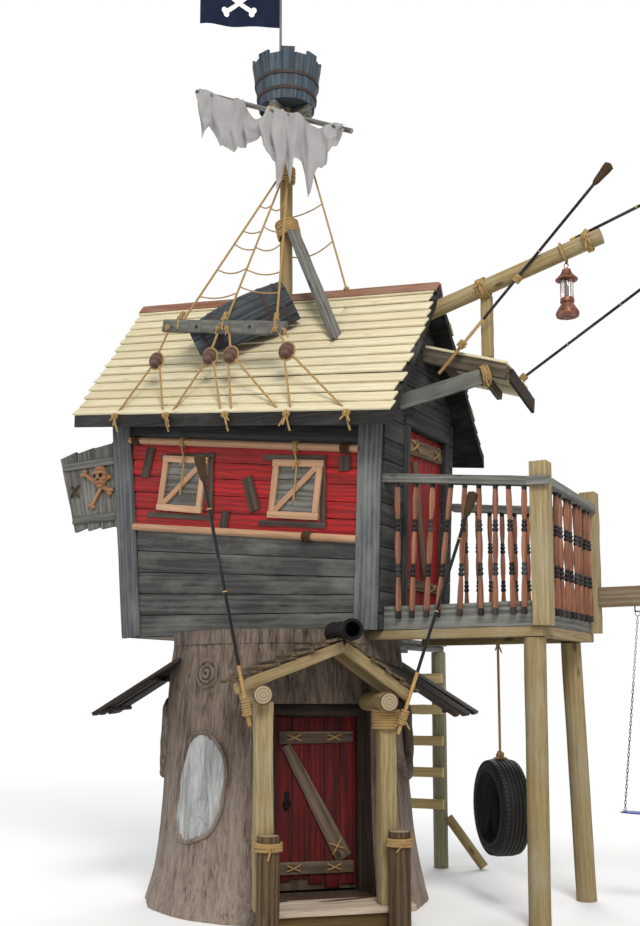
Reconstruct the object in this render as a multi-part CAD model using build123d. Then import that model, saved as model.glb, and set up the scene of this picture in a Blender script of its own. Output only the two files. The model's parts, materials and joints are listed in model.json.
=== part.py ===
"""Crooked play tree house on a hollow trunk, with a plank deck, a porch and a mast.

Units are millimetres. The origin is on the ground at the centre of the trunk.
+X runs to the right along the cabin front, +Y towards the back, +Z up.
"""
from build123d import *
import math
import os

os.makedirs("parts", exist_ok=True)

# Fit between pieces that touch on curved faces
SEAT = 0.3

# Trunk
TRUNK_HEIGHT = 1940.0
TRUNK_BASE_R = 1080.0
TRUNK_FLARE_R = 990.0
TRUNK_FLARE_Z = 400.0
TRUNK_MID_R = 935.0
TRUNK_MID_Z = 1150.0
TRUNK_TOP_R = 880.0
TRUNK_INSIDE_R = 760.0
TRUNK_CAP_T = 100.0
TRUNK_CAP_OVERHANG = 25.0
BACK_SEGMENT_FROM = 60.0
BACK_SEGMENT_TO = 180.0
SECTOR_STEP = 50.0
OVER_DOOR_HALF = 60.0

# Oval openings and their rims, by the compass angle that they face
OVAL_ANGLES = (210.0, 14.0)
OVAL_Z = 1230.0
OVAL_HALF_H = 250.0
OVAL_HALF_W = 170.0
RIM_WIDTH = 60.0
RIM_OUT = 45.0

# Plank hoods over the oval openings
HOOD_WIDTH = 1080.0
HOOD_T = 35.0
HOOD_TOP_R = 880.0
HOOD_TOP_Z = 1800.0
HOOD_LOW_R = 1480.0
HOOD_LOW_Z = 1420.0

# Knot swirl and smooth scar on the bark
KNOT_ANGLE = -98.0
KNOT_Z = 1720.0
KNOT_R = 100.0
KNOT_RINGS = 3
KNOT_FACE_OUT = 45.0
KNOT_WIDTH_SHARE = 1.12
KNOT_GROOVE_W = 6.0
KNOT_GROOVE_D = 8.0
SCAR_ANGLE = -100.0
SCAR_Z = 895.0
SCAR_HALF_H = 410.0
SCAR_HALF_W = 245.0
SCAR_OUT = 12.0

# Porch, in its own axes: first outward from the trunk, second to the right of it
PORCH_TURN = -45.0
PORCH_Z = 150.0
PORCH_BOARD_T = 45.0
PORCH_OUT = 1290.0
PORCH_LEFT = -470.0
PORCH_RIGHT = 610.0
PORCH_BOX_INSET = 30.0
POST_OUT = 1215.0
POST_SIDE = 118.0
POST_LEFT = -455.0
POST_RIGHT = 420.0
BOLLARD_R = 78.0
BOLLARD_TOP = 650.0
BOLLARD_SIDES = (-445.0, 465.0)
BEAM_R = 68.0
BEAM_SIDES = (-490.0, 395.0)
BEAM_LEFT_Z = 1570.0
BEAM_RIGHT_Z = 1520.0
BEAM_FRONT = 1370.0
PORCH_APEX = (85.0, 1960.0)
PORCH_EAVE_LEFT = (-740.0, 1640.0)
PORCH_EAVE_RIGHT = (600.0, 1585.0)
PORCH_ROOF_FRONT = 1350.0
PORCH_ROOF_T = 32.0
PORCH_CORNER_CLEAR = 1.0
CANNON_R = 75.0
CANNON_BORE_R = 52.0
CANNON_BORE_DEPTH = 160.0
CANNON_FRONT = 1540.0
CANNON_LENGTH = 520.0
CANNON_LIFT_SHARE = 0.6

# Trunk door and its frame
DOOR_PLANE = 670.0
DOOR_T = 42.0
DOOR_LEFT = -250.0
DOOR_RIGHT = 360.0
DOOR_BOTTOM = 170.0
DOOR_TOP = 1410.0
DOOR_GAP = 9.0
JAMB_W = 55.0
JAMB_D = 100.0
HEADER_H = 85.0
BRACE_T = 30.0
BRACE_H = 95.0
LEDGE_INSET = 20.0
LEDGE_LOW_UP = 110.0
LEDGE_HIGH_DOWN = 200.0
HINGE_Z = (420.0, 1180.0)
PIN_R = 8.0
PIN_FIT = 0.05
KNUCKLE_R = 14.0
KNUCKLE_H = 40.0
STRAP_T = 6.0
STRAP_L = 180.0

# Cabin
CABIN_BOTTOM = 2040.0
CABIN_LEFT = -1430.0
CABIN_RIGHT = 970.0
CABIN_FRONT = -310.0
CABIN_BACK = 970.0
LEAN_LEFT = 0.085
LEAN_RIGHT = 0.037
WALL_T = 90.0
FLOOR_T = 120.0
CORNER_W = 190.0
CORNER_T = 38.0
POLE_R = 32.0
POLE_UPPER = (3740.0, 3390.0)
POLE_LOWER = (2990.0, 2700.0)

# Front shutters: centre x, centre z and turn in degrees
SHUTTERS = ((-820.0, 3295.0, 8.5), (278.0, 3148.0, 7.0))
SHUTTER_W = 455.0
SHUTTER_H = 465.0
SHUTTER_BOARD_T = 22.0
SHUTTER_FRAME_T = 24.0
SHUTTER_FRAME_W = 55.0
WINDOW_W = 340.0
WINDOW_H = 350.0

# Wing shutter held open beyond the left corner
WING_X = (-2040.0, -1600.0)
WING_TAPER = 0.29
WING_Z = (3000.0, 3690.0)
WING_T = 30.0
WING_BOARDS = 4
WING_STEP = 22.0

# Upper door in the right end wall
SIDE_DOOR_Y = (100.0, 780.0)
SIDE_DOOR_Z = (2162.0, 3640.0)
SIDE_DOOR_T = 40.0

# Main roof
ROOF_DROP = 0.115
EAVE_FRONT = -570.0
EAVE_Z = 3747.0
RIDGE_Y = 330.0
RIDGE_Z = 4990.0
ROOF_LEFT = -1820.0
ROOF_RIGHT = 1225.0
ROOF_T = 62.0
COURSES = 14
COURSE_STEP = 20.0
CAP_LEG = 130.0
CAP_T = 24.0
ROOF_MARGIN = 200.0

# Hood roof over the side door
HOOD_ROOF_BACK_Y = 940.0
HOOD_ROOF_X = (1060.0, 1790.0)
HOOD_ROOF_RIDGE_Z = (4385.0, 4140.0)
HOOD_ROOF_LOW_Z = (4235.0, 4000.0)
HOOD_ROOF_T = 30.0
HOOD_BEAM_W = 90.0
HOOD_BEAM_D = 110.0
HOOD_ARM_W = 45.0
HOOD_ARM_D = 120.0
HOOD_ARM_FOOT = (1058.0, -60.0, 3800.0)
FASCIA_H = 130.0
FASCIA_T = 28.0

# Bow log, its post and the lantern
BOW_R = 65.0
BOW_START = (1040.0, 330.0, 4610.0)
BOW_END = (2540.0, 330.0, 4972.0)
BOW_POST_X = 1600.0
BOW_POST_SIDE = 80.0
LANTERN_X = 2265.0
LANTERN_PIN_Z = 4815.0
LANTERN_BOTTOM = 4395.0
LANTERN_R = 88.0
LANTERN_PROFILE = (
    (0.0, 0.0), (0.95, 0.0), (1.0, 0.06), (0.72, 0.12), (0.66, 0.2), (0.66, 0.62),
    (1.0, 0.68), (0.62, 0.8), (0.4, 0.88), (0.4, 0.94), (0.12, 1.0), (0.0, 1.0),
)
HOOK_R = 5.0
RING_R = 20.0
RING_WIRE = 4.0

# Deck
DECK_X = (972.0, 2200.0)
DECK_Y = (-250.0, 1000.0)
DECK_BOTTOM = 2040.0
RIM_H = 175.0
RIM_T = 38.0
DECK_BOARD_T = 30.0
JOIST_STEP = 300.0
GIRDER_H = 70.0
GIRDER_W = 90.0
GIRDER_BEARING = 270.0
FOOT_SHARE = 0.45
RAIL_TOP = (3210.0, 3075.0)
RAIL_H = 65.0
RAIL_D = 90.0
NEWEL_SIDE = 125.0
NEWEL_ABOVE = 110.0
SPINDLE_R = 24.0
SPINDLE_NECK_R = 13.0
SPINDLE_BELLY_R = 21.6
SPINDLE_BANDS = (0.17, 0.2, 0.3, 0.48, 0.52, 0.7, 0.8, 0.83)
SPINDLE_COUNT_RIGHT = 9
SPINDLE_COUNT_BACK = 9
DECK_POST_R = 78.0
DECK_POST_FEET = ((2060.0, -40.0), (2070.0, 1030.0))
DECK_POST_HEAD_X = (2115.0, 2035.0)
SPINDLE_HEADS = (1080.0, 1240.0, 1380.0, 1530.0, 1640.0, 1750.0, 1880.0, 1980.0, 2100.0)
SPINDLE_FEET = (1080.0, 1190.0, 1310.0, 1400.0, 1580.0, 1750.0, 1860.0, 2000.0, 2080.0)
SPINDLE_BACK_FIRST = 0.1
SPINDLE_BACK_SPAN = 0.87

# Ladder and landing behind the trunk
LADDER_X = (-260.0, 470.0)
LADDER_Y = 1915.0
LADDER_R = 68.0
RUNG_FIRST = 520.0
RUNG_STEP = 285.0
RUNG_COUNT = 5
RUNG_H = 90.0
RUNG_T = 38.0
LANDING_T = 90.0
STRUT_R = 45.0
STRUT_FOOT_OUT = 400.0
STRUT_TOP_Z = 560.0
STRUT_FOOT_BACK = 80.0
STRUT_SUNK = 60.0

# Mast, look-out tub, yard, sail and flag
MAST_X = -234.0
MAST_R = 58.0
MAST_ABOVE_TUB = 130.0
MAST_SEATED = 300.0
TUB_BOTTOM = 6740.0
TUB_HEIGHT = 440.0
TUB_BOTTOM_R = 245.0
TUB_TOP_R = 310.0
TUB_WALL = 26.0
TUB_FLOOR_T = 40.0
TUB_STAVES = 16
TUB_STAVE_DROP = 55.0
STAVE_HALF_SHARE = 1 / 6
TREE_W = 60.0
TREE_D = 120.0
YARD_R = 22.0
YARD_HALF = 900.0
YARD_BELOW_TUB = 120.0
YARD_TILT = 27.0
SAIL_T = 70.0
SAIL_FRONT_SHARE = 0.8
SAIL_OUTLINE = (
    (-870.0, 250.0), (-850.0, -30.0), (-600.0, -110.0), (-430.0, -270.0),
    (-200.0, -160.0), (-20.0, -290.0), (20.0, -640.0), (160.0, -820.0),
    (290.0, -700.0), (400.0, -940.0), (620.0, -740.0), (700.0, -500.0),
    (560.0, -310.0), (250.0, -80.0), (-200.0, 130.0), (-550.0, 330.0),
)
FLAG_POLE_R = 11.0
FLAG_POLE_ABOVE_TUB = 1020.0
FLAG_BELOW_TOP = 30.0
FLAG_LENGTH = 900.0
FLAG_HEIGHT = 600.0
FLAG_T = 12.0
FLAG_DROP = 330.0
SPAR_TOP = (-120.0, 5570.0)
SPAR_FOOT = (494.0, -60.0, 4400.0)
SPAR_W = 110.0
SPAR_T = 36.0

# Half barrel on the roof, rigging board and deadeyes
BARREL_FROM = (-772.0, -161.0, 4430.0)
BARREL_TO = (-56.0, 181.0, 4820.0)
BARREL_END_R = 265.0
BARREL_MID_R = 305.0
BARREL_WALL = 25.0
BOARD_LEFT = (-970.0, 4704.0)
BOARD_RIGHT = (250.0, 4474.0)
BOARD_H = 108.0
BOARD_T = 38.0
BOARD_Y = -440.0
DEADEYE_X = (-1005.0, -455.0, -250.0, 280.0)
DEADEYE_R = 68.0
DEADEYE_T = 60.0
DEADEYE_HUNG_X = (-900.0, -390.0, -300.0, 160.0)
DEADEYE_FEET = ((-1370.0, -860.0), (-790.0, -280.0), (-180.0, 280.0), (370.0, 860.0))
DEADEYE_Y = -480.0
DEADEYE_ABOVE_EAVE = 593.0
DEADEYE_Z = EAVE_Z + DEADEYE_ABOVE_EAVE
SHROUD_X = (-800.0, -350.0, 155.0)
HITCH_BELOW_TUB = 590.0
ROPE_R = 9.0

# Pole torches on the porch roof and the bow
TORCH_R = 13.0
TORCH_HEAD_R = 34.0
TORCH_HEAD_L = 190.0
LEFT_TORCH = ((1363.5, -576.0, 1364.0), (1363.5, -941.0, 3179.0))
RIGHT_TORCH = ((1332.4, 468.0, 1301.0), (1516.4, 986.0, 2992.0))
BOW_TORCH = ((1240.0, 4084.0), (2650.0, 5482.0))
HOOD_TORCH = ((1690.0, 4060.0), (3330.0, 5020.0))
HOOD_TORCH_IN = 190.0
TIP_TORCH = ((2300.0, 4985.0), (3740.0, 5405.0))

# Tyre swing
TYRE_R = 355.0
TYRE_W = 215.0
TYRE_RIM_R = 205.0
TYRE_SHOULDER = 40.0
TYRE_BEAD = 20.0
TYRE_TREAD_T = 25.0
TYRE_FLANK_SHARE = 0.7
TYRE_TREAD_SHARE = 0.75
TYRE_X = 1630.0
TYRE_Y = 400.0
TYRE_Z = 735.0
TYRE_TURN = 42.0
HANG_R = 10.0
HANG_DROP = 40.0

# Swing beam with its end frame and one seat
BEAM_END_X = 4650.0
SWING_BEAM_Z = (2240.0, 2395.0)
SWING_BEAM_T = 90.0
SWING_LEG_SPREAD = 850.0
SWING_LEG_W = 90.0
SEAT_X = (2380.0, 3000.0)
SEAT_Z = 700.0
SEAT_D = 150.0
SEAT_T = 12.0
CHAIN_R = 9.0
CHAIN_INSET = 20.0
CHAIN_TOP_INSET = 170.0


def box(x0, x1, y0, y1, z0, z1):
    """Box between two opposite corners."""
    middle = Pos((x0 + x1) / 2, (y0 + y1) / 2, (z0 + z1) / 2)
    return middle * Box(abs(x1 - x0), abs(y1 - y0), abs(z1 - z0))


def prism(points, direction):
    """Flat polygon in space swept along a vector."""
    way = Vector(*direction)
    corners = [Vector(*point) for point in points]
    face = Face(Wire.make_polygon(corners, close=True))
    if face.normal_at().dot(way) < 0:
        face = Face(Wire.make_polygon(list(reversed(corners)), close=True))
    return Solid.extrude(face, way)


def log(start, end, radius, end_radius=None):
    """Round pole between two points."""
    first = Vector(*start)
    way = Vector(*end) - first
    plane = Plane(origin=first, z_dir=way)
    if end_radius is None or end_radius == radius:
        shape = Cylinder(radius, way.length, align=(Align.CENTER, Align.CENTER, Align.MIN))
    else:
        shape = Cone(radius, end_radius, way.length, align=(Align.CENTER, Align.CENTER, Align.MIN))
    return plane * shape


def timber(start, end, width, depth, side):
    """Squared timber between two points, its width lying along the side vector."""
    first = Vector(*start)
    way = Vector(*end) - first
    along = Vector(*side)
    along = along - way * (along.dot(way) / way.dot(way))
    plane = Plane(origin=first, x_dir=along, z_dir=way)
    return plane * Box(width, depth, way.length, align=(Align.CENTER, Align.CENTER, Align.MIN))


def sector(start_deg, end_deg, reach, z0, z1):
    """Wedge of a disc, to cut a round wall into segments."""
    steps = max(2, math.ceil(abs(end_deg - start_deg) / SECTOR_STEP))
    far = reach / math.cos(math.radians(abs(end_deg - start_deg) / steps / 2))
    points = [(0, 0, z0)]
    for step in range(steps + 1):
        angle = math.radians(start_deg + (end_deg - start_deg) * step / steps)
        points.append((far * math.cos(angle), far * math.sin(angle), z0))
    return prism(points, (0, 0, z1 - z0))


def radial(angle):
    """Location whose x axis points out of the trunk at an angle."""
    return Location((0, 0, 0), (0, 0, angle))


def trunk_body(clearance=0.0):
    """Solid body of revolution of the trunk, flared at the roots."""
    side = Spline(
        (TRUNK_BASE_R + clearance, 0),
        (TRUNK_FLARE_R + clearance, TRUNK_FLARE_Z),
        (TRUNK_MID_R + clearance, TRUNK_MID_Z),
        (TRUNK_TOP_R + clearance, TRUNK_HEIGHT),
    )
    rest = Polyline(
        (TRUNK_TOP_R + clearance, TRUNK_HEIGHT),
        (0, TRUNK_HEIGHT),
        (0, 0),
        (TRUNK_BASE_R + clearance, 0),
    )
    return revolve(Plane.XZ * make_face(side + rest), Axis.Z)


PORCH = Location((0, 0, 0), (0, 0, PORCH_TURN))
PASSAGE_LEFT = DOOR_LEFT - DOOR_GAP - JAMB_W
PASSAGE_RIGHT = DOOR_RIGHT + DOOR_GAP + JAMB_W
PASSAGE_TOP = DOOR_TOP + DOOR_GAP + HEADER_H


def passage(z_top):
    """Block that the doorway takes out of the trunk wall."""
    return PORCH * box(TRUNK_INSIDE_R / 3, 2 * TRUNK_BASE_R, PASSAGE_LEFT, PASSAGE_RIGHT, -1, z_top)


def oval_prism(angle, half_w, half_h, near, far):
    """Oval block pointing out of the trunk at an angle."""
    plane = Plane(origin=(near, 0, OVAL_Z), x_dir=(0, 1, 0), z_dir=(1, 0, 0))
    return radial(angle) * extrude(plane * Ellipse(half_w, half_h), far - near)


def cap_room():
    """Room that the trunk's cap and all above it take."""
    reach = TRUNK_TOP_R + TRUNK_CAP_OVERHANG + SEAT
    disc = Cylinder(reach, 4 * TRUNK_CAP_T, align=(Align.CENTER, Align.CENTER, Align.MIN))
    return Pos(0, 0, TRUNK_HEIGHT - SEAT) * disc


def trunk_walls():
    """Hollow trunk in segments: left, right, back and over the door."""
    shell = trunk_body() - Cylinder(TRUNK_INSIDE_R, 3 * TRUNK_HEIGHT)
    for angle in OVAL_ANGLES:
        shell -= oval_prism(angle, OVAL_HALF_W, OVAL_HALF_H, TRUNK_INSIDE_R / 2, 2 * TRUNK_BASE_R)
    reach = 1.2 * TRUNK_BASE_R
    whole = TRUNK_HEIGHT
    left = shell & sector(BACK_SEGMENT_TO - 360, PORCH_TURN, reach, 0, whole)
    right = shell & sector(PORCH_TURN, BACK_SEGMENT_FROM, reach, 0, whole)
    back = shell & sector(BACK_SEGMENT_FROM, BACK_SEGMENT_TO, reach, 0, whole)
    ahead = sector(PORCH_TURN - OVER_DOOR_HALF, PORCH_TURN + OVER_DOOR_HALF, reach, 0, whole)
    over = shell & passage(whole + 1) & ahead
    over -= passage(PASSAGE_TOP)
    gap = passage(whole + 1)
    save("trunk_wall_left", left - gap)
    save("trunk_wall_right", right - gap)
    save("trunk_wall_back", back)
    save("trunk_wall_over_door", over)
    floor = Cylinder(TRUNK_INSIDE_R - SEAT, PORCH_Z, align=(Align.CENTER, Align.CENTER, Align.MIN))
    sill = shell & passage(whole) & PORCH * box(0, reach, -reach, reach, 0, PORCH_Z)
    save("trunk_floor", [floor, sill])
    cap_r = TRUNK_TOP_R + TRUNK_CAP_OVERHANG
    cap = Cylinder(cap_r, TRUNK_CAP_T, align=(Align.CENTER, Align.CENTER, Align.MIN))
    save("trunk_cap", Pos(0, 0, TRUNK_HEIGHT) * cap)


def trunk_details():
    """Rims of the oval openings, plank hoods, the knot and the smooth scar."""
    skin = trunk_body(SEAT)
    rims = []
    for angle in OVAL_ANGLES:
        far = TRUNK_MID_R + RIM_OUT
        ring = oval_prism(angle, OVAL_HALF_W + RIM_WIDTH, OVAL_HALF_H + RIM_WIDTH, TRUNK_INSIDE_R, far)
        ring -= oval_prism(angle, OVAL_HALF_W, OVAL_HALF_H, TRUNK_INSIDE_R / 2, 2 * far)
        rims.append(ring - skin)
    hoods = []
    for angle in OVAL_ANGLES:
        half = HOOD_WIDTH / 2
        top = (HOOD_TOP_R, HOOD_TOP_Z)
        low = (HOOD_LOW_R, HOOD_LOW_Z)
        inward = (top[0] - (low[0] - top[0]) * 0.5, top[1] + (top[1] - low[1]) * 0.5)
        points = [
            (inward[0], -half, inward[1]),
            (low[0], -half, low[1]),
            (low[0], -half, low[1] - HOOD_T),
            (inward[0], -half, inward[1] - HOOD_T),
        ]
        slab = radial(angle) * prism(points, (0, HOOD_WIDTH, 0))
        slab &= radial(angle) * box(HOOD_TOP_R * 0.6, 2 * HOOD_LOW_R, -half, half, 0, HOOD_TOP_Z)
        hoods.append(slab - skin)
    save("trunk_hoods", hoods)
    knot = []
    plane = Plane(origin=(TRUNK_INSIDE_R, 0, KNOT_Z), x_dir=(0, 1, 0), z_dir=(1, 0, 0))
    knot_face = TRUNK_TOP_R + KNOT_FACE_OUT
    disc = extrude(plane * Ellipse(KNOT_R * KNOT_WIDTH_SHARE, KNOT_R), knot_face - TRUNK_INSIDE_R)
    for ring in range(1, KNOT_RINGS + 1):
        share = 1 - ring / (KNOT_RINGS + 0.6)
        half_w = KNOT_R * KNOT_WIDTH_SHARE * share
        half_h = KNOT_R * share
        groove = extrude(plane * Ellipse(half_w, half_h), 2 * KNOT_R + knot_face)
        core = extrude(plane * Ellipse(half_w - KNOT_GROOVE_W, half_h - KNOT_GROOVE_W), 3 * knot_face)
        shell = groove - core
        disc -= shell & box(knot_face - KNOT_GROOVE_D, 2 * knot_face, -KNOT_R, KNOT_R, 0, 2 * KNOT_Z)
    knot.append(radial(KNOT_ANGLE) * disc - skin)
    scar_plane = Plane(origin=(TRUNK_INSIDE_R, 0, SCAR_Z), x_dir=(0, 1, 0), z_dir=(1, 0, 0))
    scar = radial(SCAR_ANGLE) * extrude(scar_plane * Ellipse(SCAR_HALF_W, SCAR_HALF_H), 2 * TRUNK_INSIDE_R)
    scar = (scar & trunk_body(SCAR_OUT)) - skin
    save("bark_details", rims + knot + [scar])


def door_parts():
    """Frame in the doorway and the plank door that swings into the trunk."""
    back = DOOR_PLANE - DOOR_T
    front = back + JAMB_D
    left = box(back, front, PASSAGE_LEFT, DOOR_LEFT - DOOR_GAP, PORCH_Z, PASSAGE_TOP)
    right = box(back, front, DOOR_RIGHT + DOOR_GAP, PASSAGE_RIGHT, PORCH_Z, PASSAGE_TOP)
    head = box(back, front, DOOR_LEFT - DOOR_GAP, DOOR_RIGHT + DOOR_GAP, DOOR_TOP + DOOR_GAP, PASSAGE_TOP)
    frame = PORCH * (left + right + head)
    hinge_a = back - STRAP_T - PIN_R - 2 * SEAT
    hinge_l = DOOR_RIGHT + DOOR_GAP / 2
    pintles = []
    straps = []
    for z in HINGE_Z:
        low = z - KNUCKLE_H - SEAT
        pin = log((hinge_a, hinge_l, low), (hinge_a, hinge_l, z + KNUCKLE_H / 2), PIN_R)
        lug = log((hinge_a, hinge_l, low), (hinge_a, hinge_l, z - KNUCKLE_H / 2 - SEAT), KNUCKLE_R)
        plate_z = z - KNUCKLE_H / 2 - SEAT
        plate = box(back - STRAP_T, back, DOOR_RIGHT + DOOR_GAP, PASSAGE_RIGHT - PIN_R, low, plate_z)
        web = box(hinge_a, back - STRAP_T / 2, hinge_l, hinge_l + KNUCKLE_R, low, plate_z)
        pintles.append(PORCH * (((pin + lug) + plate) + (web - box(back, 2 * back, 0, 2 * back, 0, z))))
        z0 = z - KNUCKLE_H / 2
        z1 = z + KNUCKLE_H / 2
        knuckle = log((hinge_a, hinge_l, z0), (hinge_a, hinge_l, z1), KNUCKLE_R)
        strap = box(back - STRAP_T, back, DOOR_RIGHT - STRAP_L, hinge_l - KNUCKLE_R / 2, z0, z1)
        bore = log((hinge_a, hinge_l, z0 - 1), (hinge_a, hinge_l, z1 + 1), PIN_R + PIN_FIT)
        straps.append(PORCH * ((knuckle + strap) - bore))
    for pintle in pintles:
        frame += pintle
    save("door_frame", frame)
    leaf = PORCH * box(DOOR_PLANE - DOOR_T, DOOR_PLANE, DOOR_LEFT, DOOR_RIGHT, DOOR_BOTTOM, DOOR_TOP)
    for strap in straps:
        leaf += strap
    save("trunk_door", leaf)


def save(name, shape):
    """Write one node, made of one solid or of several that lie apart."""
    solids = []
    for piece in shape if isinstance(shape, (list, tuple)) else [shape]:
        solids += list(piece.solids()) if not isinstance(piece, Solid) else [piece]
    export_step(Compound(solids), f"parts/{name}.step")
    print(name, len(solids), round(sum(solid.volume for solid in solids) / 1e9, 4))


def cabin_block(inset, y0, y1, z0, z1):
    """Block with the leaning ends of the cabin, drawn in by an inset."""
    low_left = CABIN_LEFT - LEAN_LEFT * (z0 - CABIN_BOTTOM) + inset
    low_right = CABIN_RIGHT + LEAN_RIGHT * (z0 - CABIN_BOTTOM) - inset
    top_left = CABIN_LEFT - LEAN_LEFT * (z1 - CABIN_BOTTOM) + inset
    top_right = CABIN_RIGHT + LEAN_RIGHT * (z1 - CABIN_BOTTOM) - inset
    points = [(low_left, y0, z0), (low_right, y0, z0), (top_right, y0, z1), (top_left, y0, z1)]
    return prism(points, (0, y1 - y0, 0))


TUB_TOP = TUB_BOTTOM + TUB_HEIGHT
MAST_TOP = TUB_TOP + MAST_ABOVE_TUB
YARD_Z = TUB_BOTTOM - YARD_BELOW_TUB
FLAG_POLE_TOP = TUB_TOP + FLAG_POLE_ABOVE_TUB
HITCH_Z = TUB_BOTTOM - HITCH_BELOW_TUB
ROOF_SLOPE = (RIDGE_Z - EAVE_Z) / (RIDGE_Y - EAVE_FRONT)
ROOF_PITCH = math.atan(ROOF_SLOPE)
EAVE_BACK = 2 * RIDGE_Y - EAVE_FRONT
ROOF_DOWN = ROOF_T / math.cos(ROOF_PITCH)


def along_roof(outline, x0, x1):
    """Outline in the end view of the roof swept along the tilted ridge."""
    points = [(x0, y, z - ROOF_DROP * x0) for y, z in outline]
    return prism(points, (x1 - x0, 0, -ROOF_DROP * (x1 - x0)))


def house_block(drop, y_margin=0.0):
    """All that lies under the roof planes, lowered by a vertical drop."""
    low = CABIN_BOTTOM - TRUNK_HEIGHT
    eave_z = EAVE_Z - drop - y_margin * ROOF_SLOPE
    outline = [
        (EAVE_FRONT - y_margin, low),
        (EAVE_BACK + y_margin, low),
        (EAVE_BACK + y_margin, eave_z),
        (RIDGE_Y, RIDGE_Z - drop),
        (EAVE_FRONT - y_margin, eave_z),
    ]
    return along_roof(outline, 2 * ROOF_LEFT, 2 * ROOF_RIGHT)


def mirrored(outline):
    """Outline turned over to the other side of the ridge."""
    return [(2 * RIDGE_Y - y, z) for y, z in outline]


def roof_outline():
    """End view of the front slope, its top stepped by the lapped courses."""
    outline = [(EAVE_FRONT, EAVE_Z - ROOF_DOWN), (RIDGE_Y, RIDGE_Z - ROOF_DOWN)]
    step_y = COURSE_STEP * math.sin(ROOF_PITCH)
    step_z = COURSE_STEP * math.cos(ROOF_PITCH)
    run = RIDGE_Y - EAVE_FRONT
    for course in reversed(range(COURSES)):
        high = (course + 1) / COURSES
        low = course / COURSES
        sunk = (EAVE_FRONT + high * run + step_y, EAVE_Z + high * run * ROOF_SLOPE - step_z)
        if course == COURSES - 1:
            sunk = (RIDGE_Y, RIDGE_Z - step_z - step_y * ROOF_SLOPE)
        outline.append(sunk)
        outline.append((EAVE_FRONT + low * run, EAVE_Z + low * run * ROOF_SLOPE))
    return outline


def roof_slopes():
    """Front and back slopes, notched over the bow log."""
    bow = bow_log(SEAT)
    front = along_roof(roof_outline(), ROOF_LEFT, ROOF_RIGHT) - bow
    back = along_roof(mirrored(roof_outline()), ROOF_LEFT, ROOF_RIGHT) - bow
    return front, back


def roof():
    """Two lapped slopes and the ridge cap."""
    front, back = roof_slopes()
    save("roof_front", front)
    save("roof_back", back)
    run = CAP_LEG * math.cos(ROOF_PITCH)
    drop = CAP_LEG * math.sin(ROOF_PITCH)
    lift = CAP_T / math.cos(ROOF_PITCH)
    outline = [
        (RIDGE_Y, RIDGE_Z + lift),
        (RIDGE_Y - run, RIDGE_Z + lift - drop),
        (RIDGE_Y - run, RIDGE_Z - drop),
        (RIDGE_Y, RIDGE_Z),
        (RIDGE_Y + run, RIDGE_Z - drop),
        (RIDGE_Y + run, RIDGE_Z + lift - drop),
    ]
    save("ridge_cap", along_roof(outline, ROOF_LEFT, ROOF_RIGHT))


def shutter_place(shutter):
    """Location of a front shutter on the wall, turned as it hangs."""
    x, z, turn = shutter
    return Location((x, CABIN_FRONT, z), (0, turn, 0))


def cabin():
    """Floor, four walls, corner boards, half-round trim and the upper door."""
    top = RIDGE_Z + ROOF_T
    under = house_block(ROOF_DOWN)
    inner_front = CABIN_FRONT + WALL_T
    inner_back = CABIN_BACK - WALL_T
    save("cabin_floor", cabin_block(WALL_T, inner_front, inner_back, CABIN_BOTTOM, CABIN_BOTTOM + FLOOR_T))
    front = cabin_block(0, CABIN_FRONT, inner_front, CABIN_BOTTOM, top) & under
    for shutter in SHUTTERS:
        front -= shutter_place(shutter) * Box(WINDOW_W, 4 * WALL_T, WINDOW_H)
    save("front_wall", front)
    save("back_wall", cabin_block(0, inner_back, CABIN_BACK, CABIN_BOTTOM, top) & under)
    outer = cabin_block(0, inner_front, inner_back, CABIN_BOTTOM, top)
    ends = (outer - cabin_block(WALL_T, inner_front, inner_back, CABIN_BOTTOM, top)) & under
    left, right = sorted(ends.solids(), key=lambda solid: solid.center().X)
    doorway = box(0, 2 * ROOF_RIGHT, *SIDE_DOOR_Y, *SIDE_DOOR_Z)
    save("left_end_wall", left)
    save("right_end_wall", right - doorway)
    inset = (WALL_T - SIDE_DOOR_T) / 2
    leaf = cabin_block(inset, inner_front, inner_back, CABIN_BOTTOM, top)
    leaf -= cabin_block(inset + SIDE_DOOR_T, inner_front, inner_back, CABIN_BOTTOM, top)
    save("side_door", leaf & doorway)
    boards = []
    for y0, y1 in ((CABIN_FRONT - CORNER_T, CABIN_FRONT), (CABIN_BACK, CABIN_BACK + CORNER_T)):
        pair = cabin_block(0, y0, y1, CABIN_BOTTOM, top) - cabin_block(CORNER_W, y0, y1, CABIN_BOTTOM, top)
        boards += list((pair & under).solids())
    save("corner_boards", boards)
    poles = []
    for left_z, right_z in (POLE_UPPER, POLE_LOWER):
        pole = log((CABIN_LEFT, CABIN_FRONT, left_z), (CABIN_RIGHT, CABIN_FRONT, right_z), POLE_R)
        pole &= box(2 * CABIN_LEFT, 2 * CABIN_RIGHT, 2 * CABIN_FRONT, CABIN_FRONT, CABIN_BOTTOM, top)
        pole &= cabin_block(CORNER_W, 2 * CABIN_FRONT, 0, CABIN_BOTTOM, top)
        poles.append(pole)
    save("trim_poles", poles)


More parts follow.
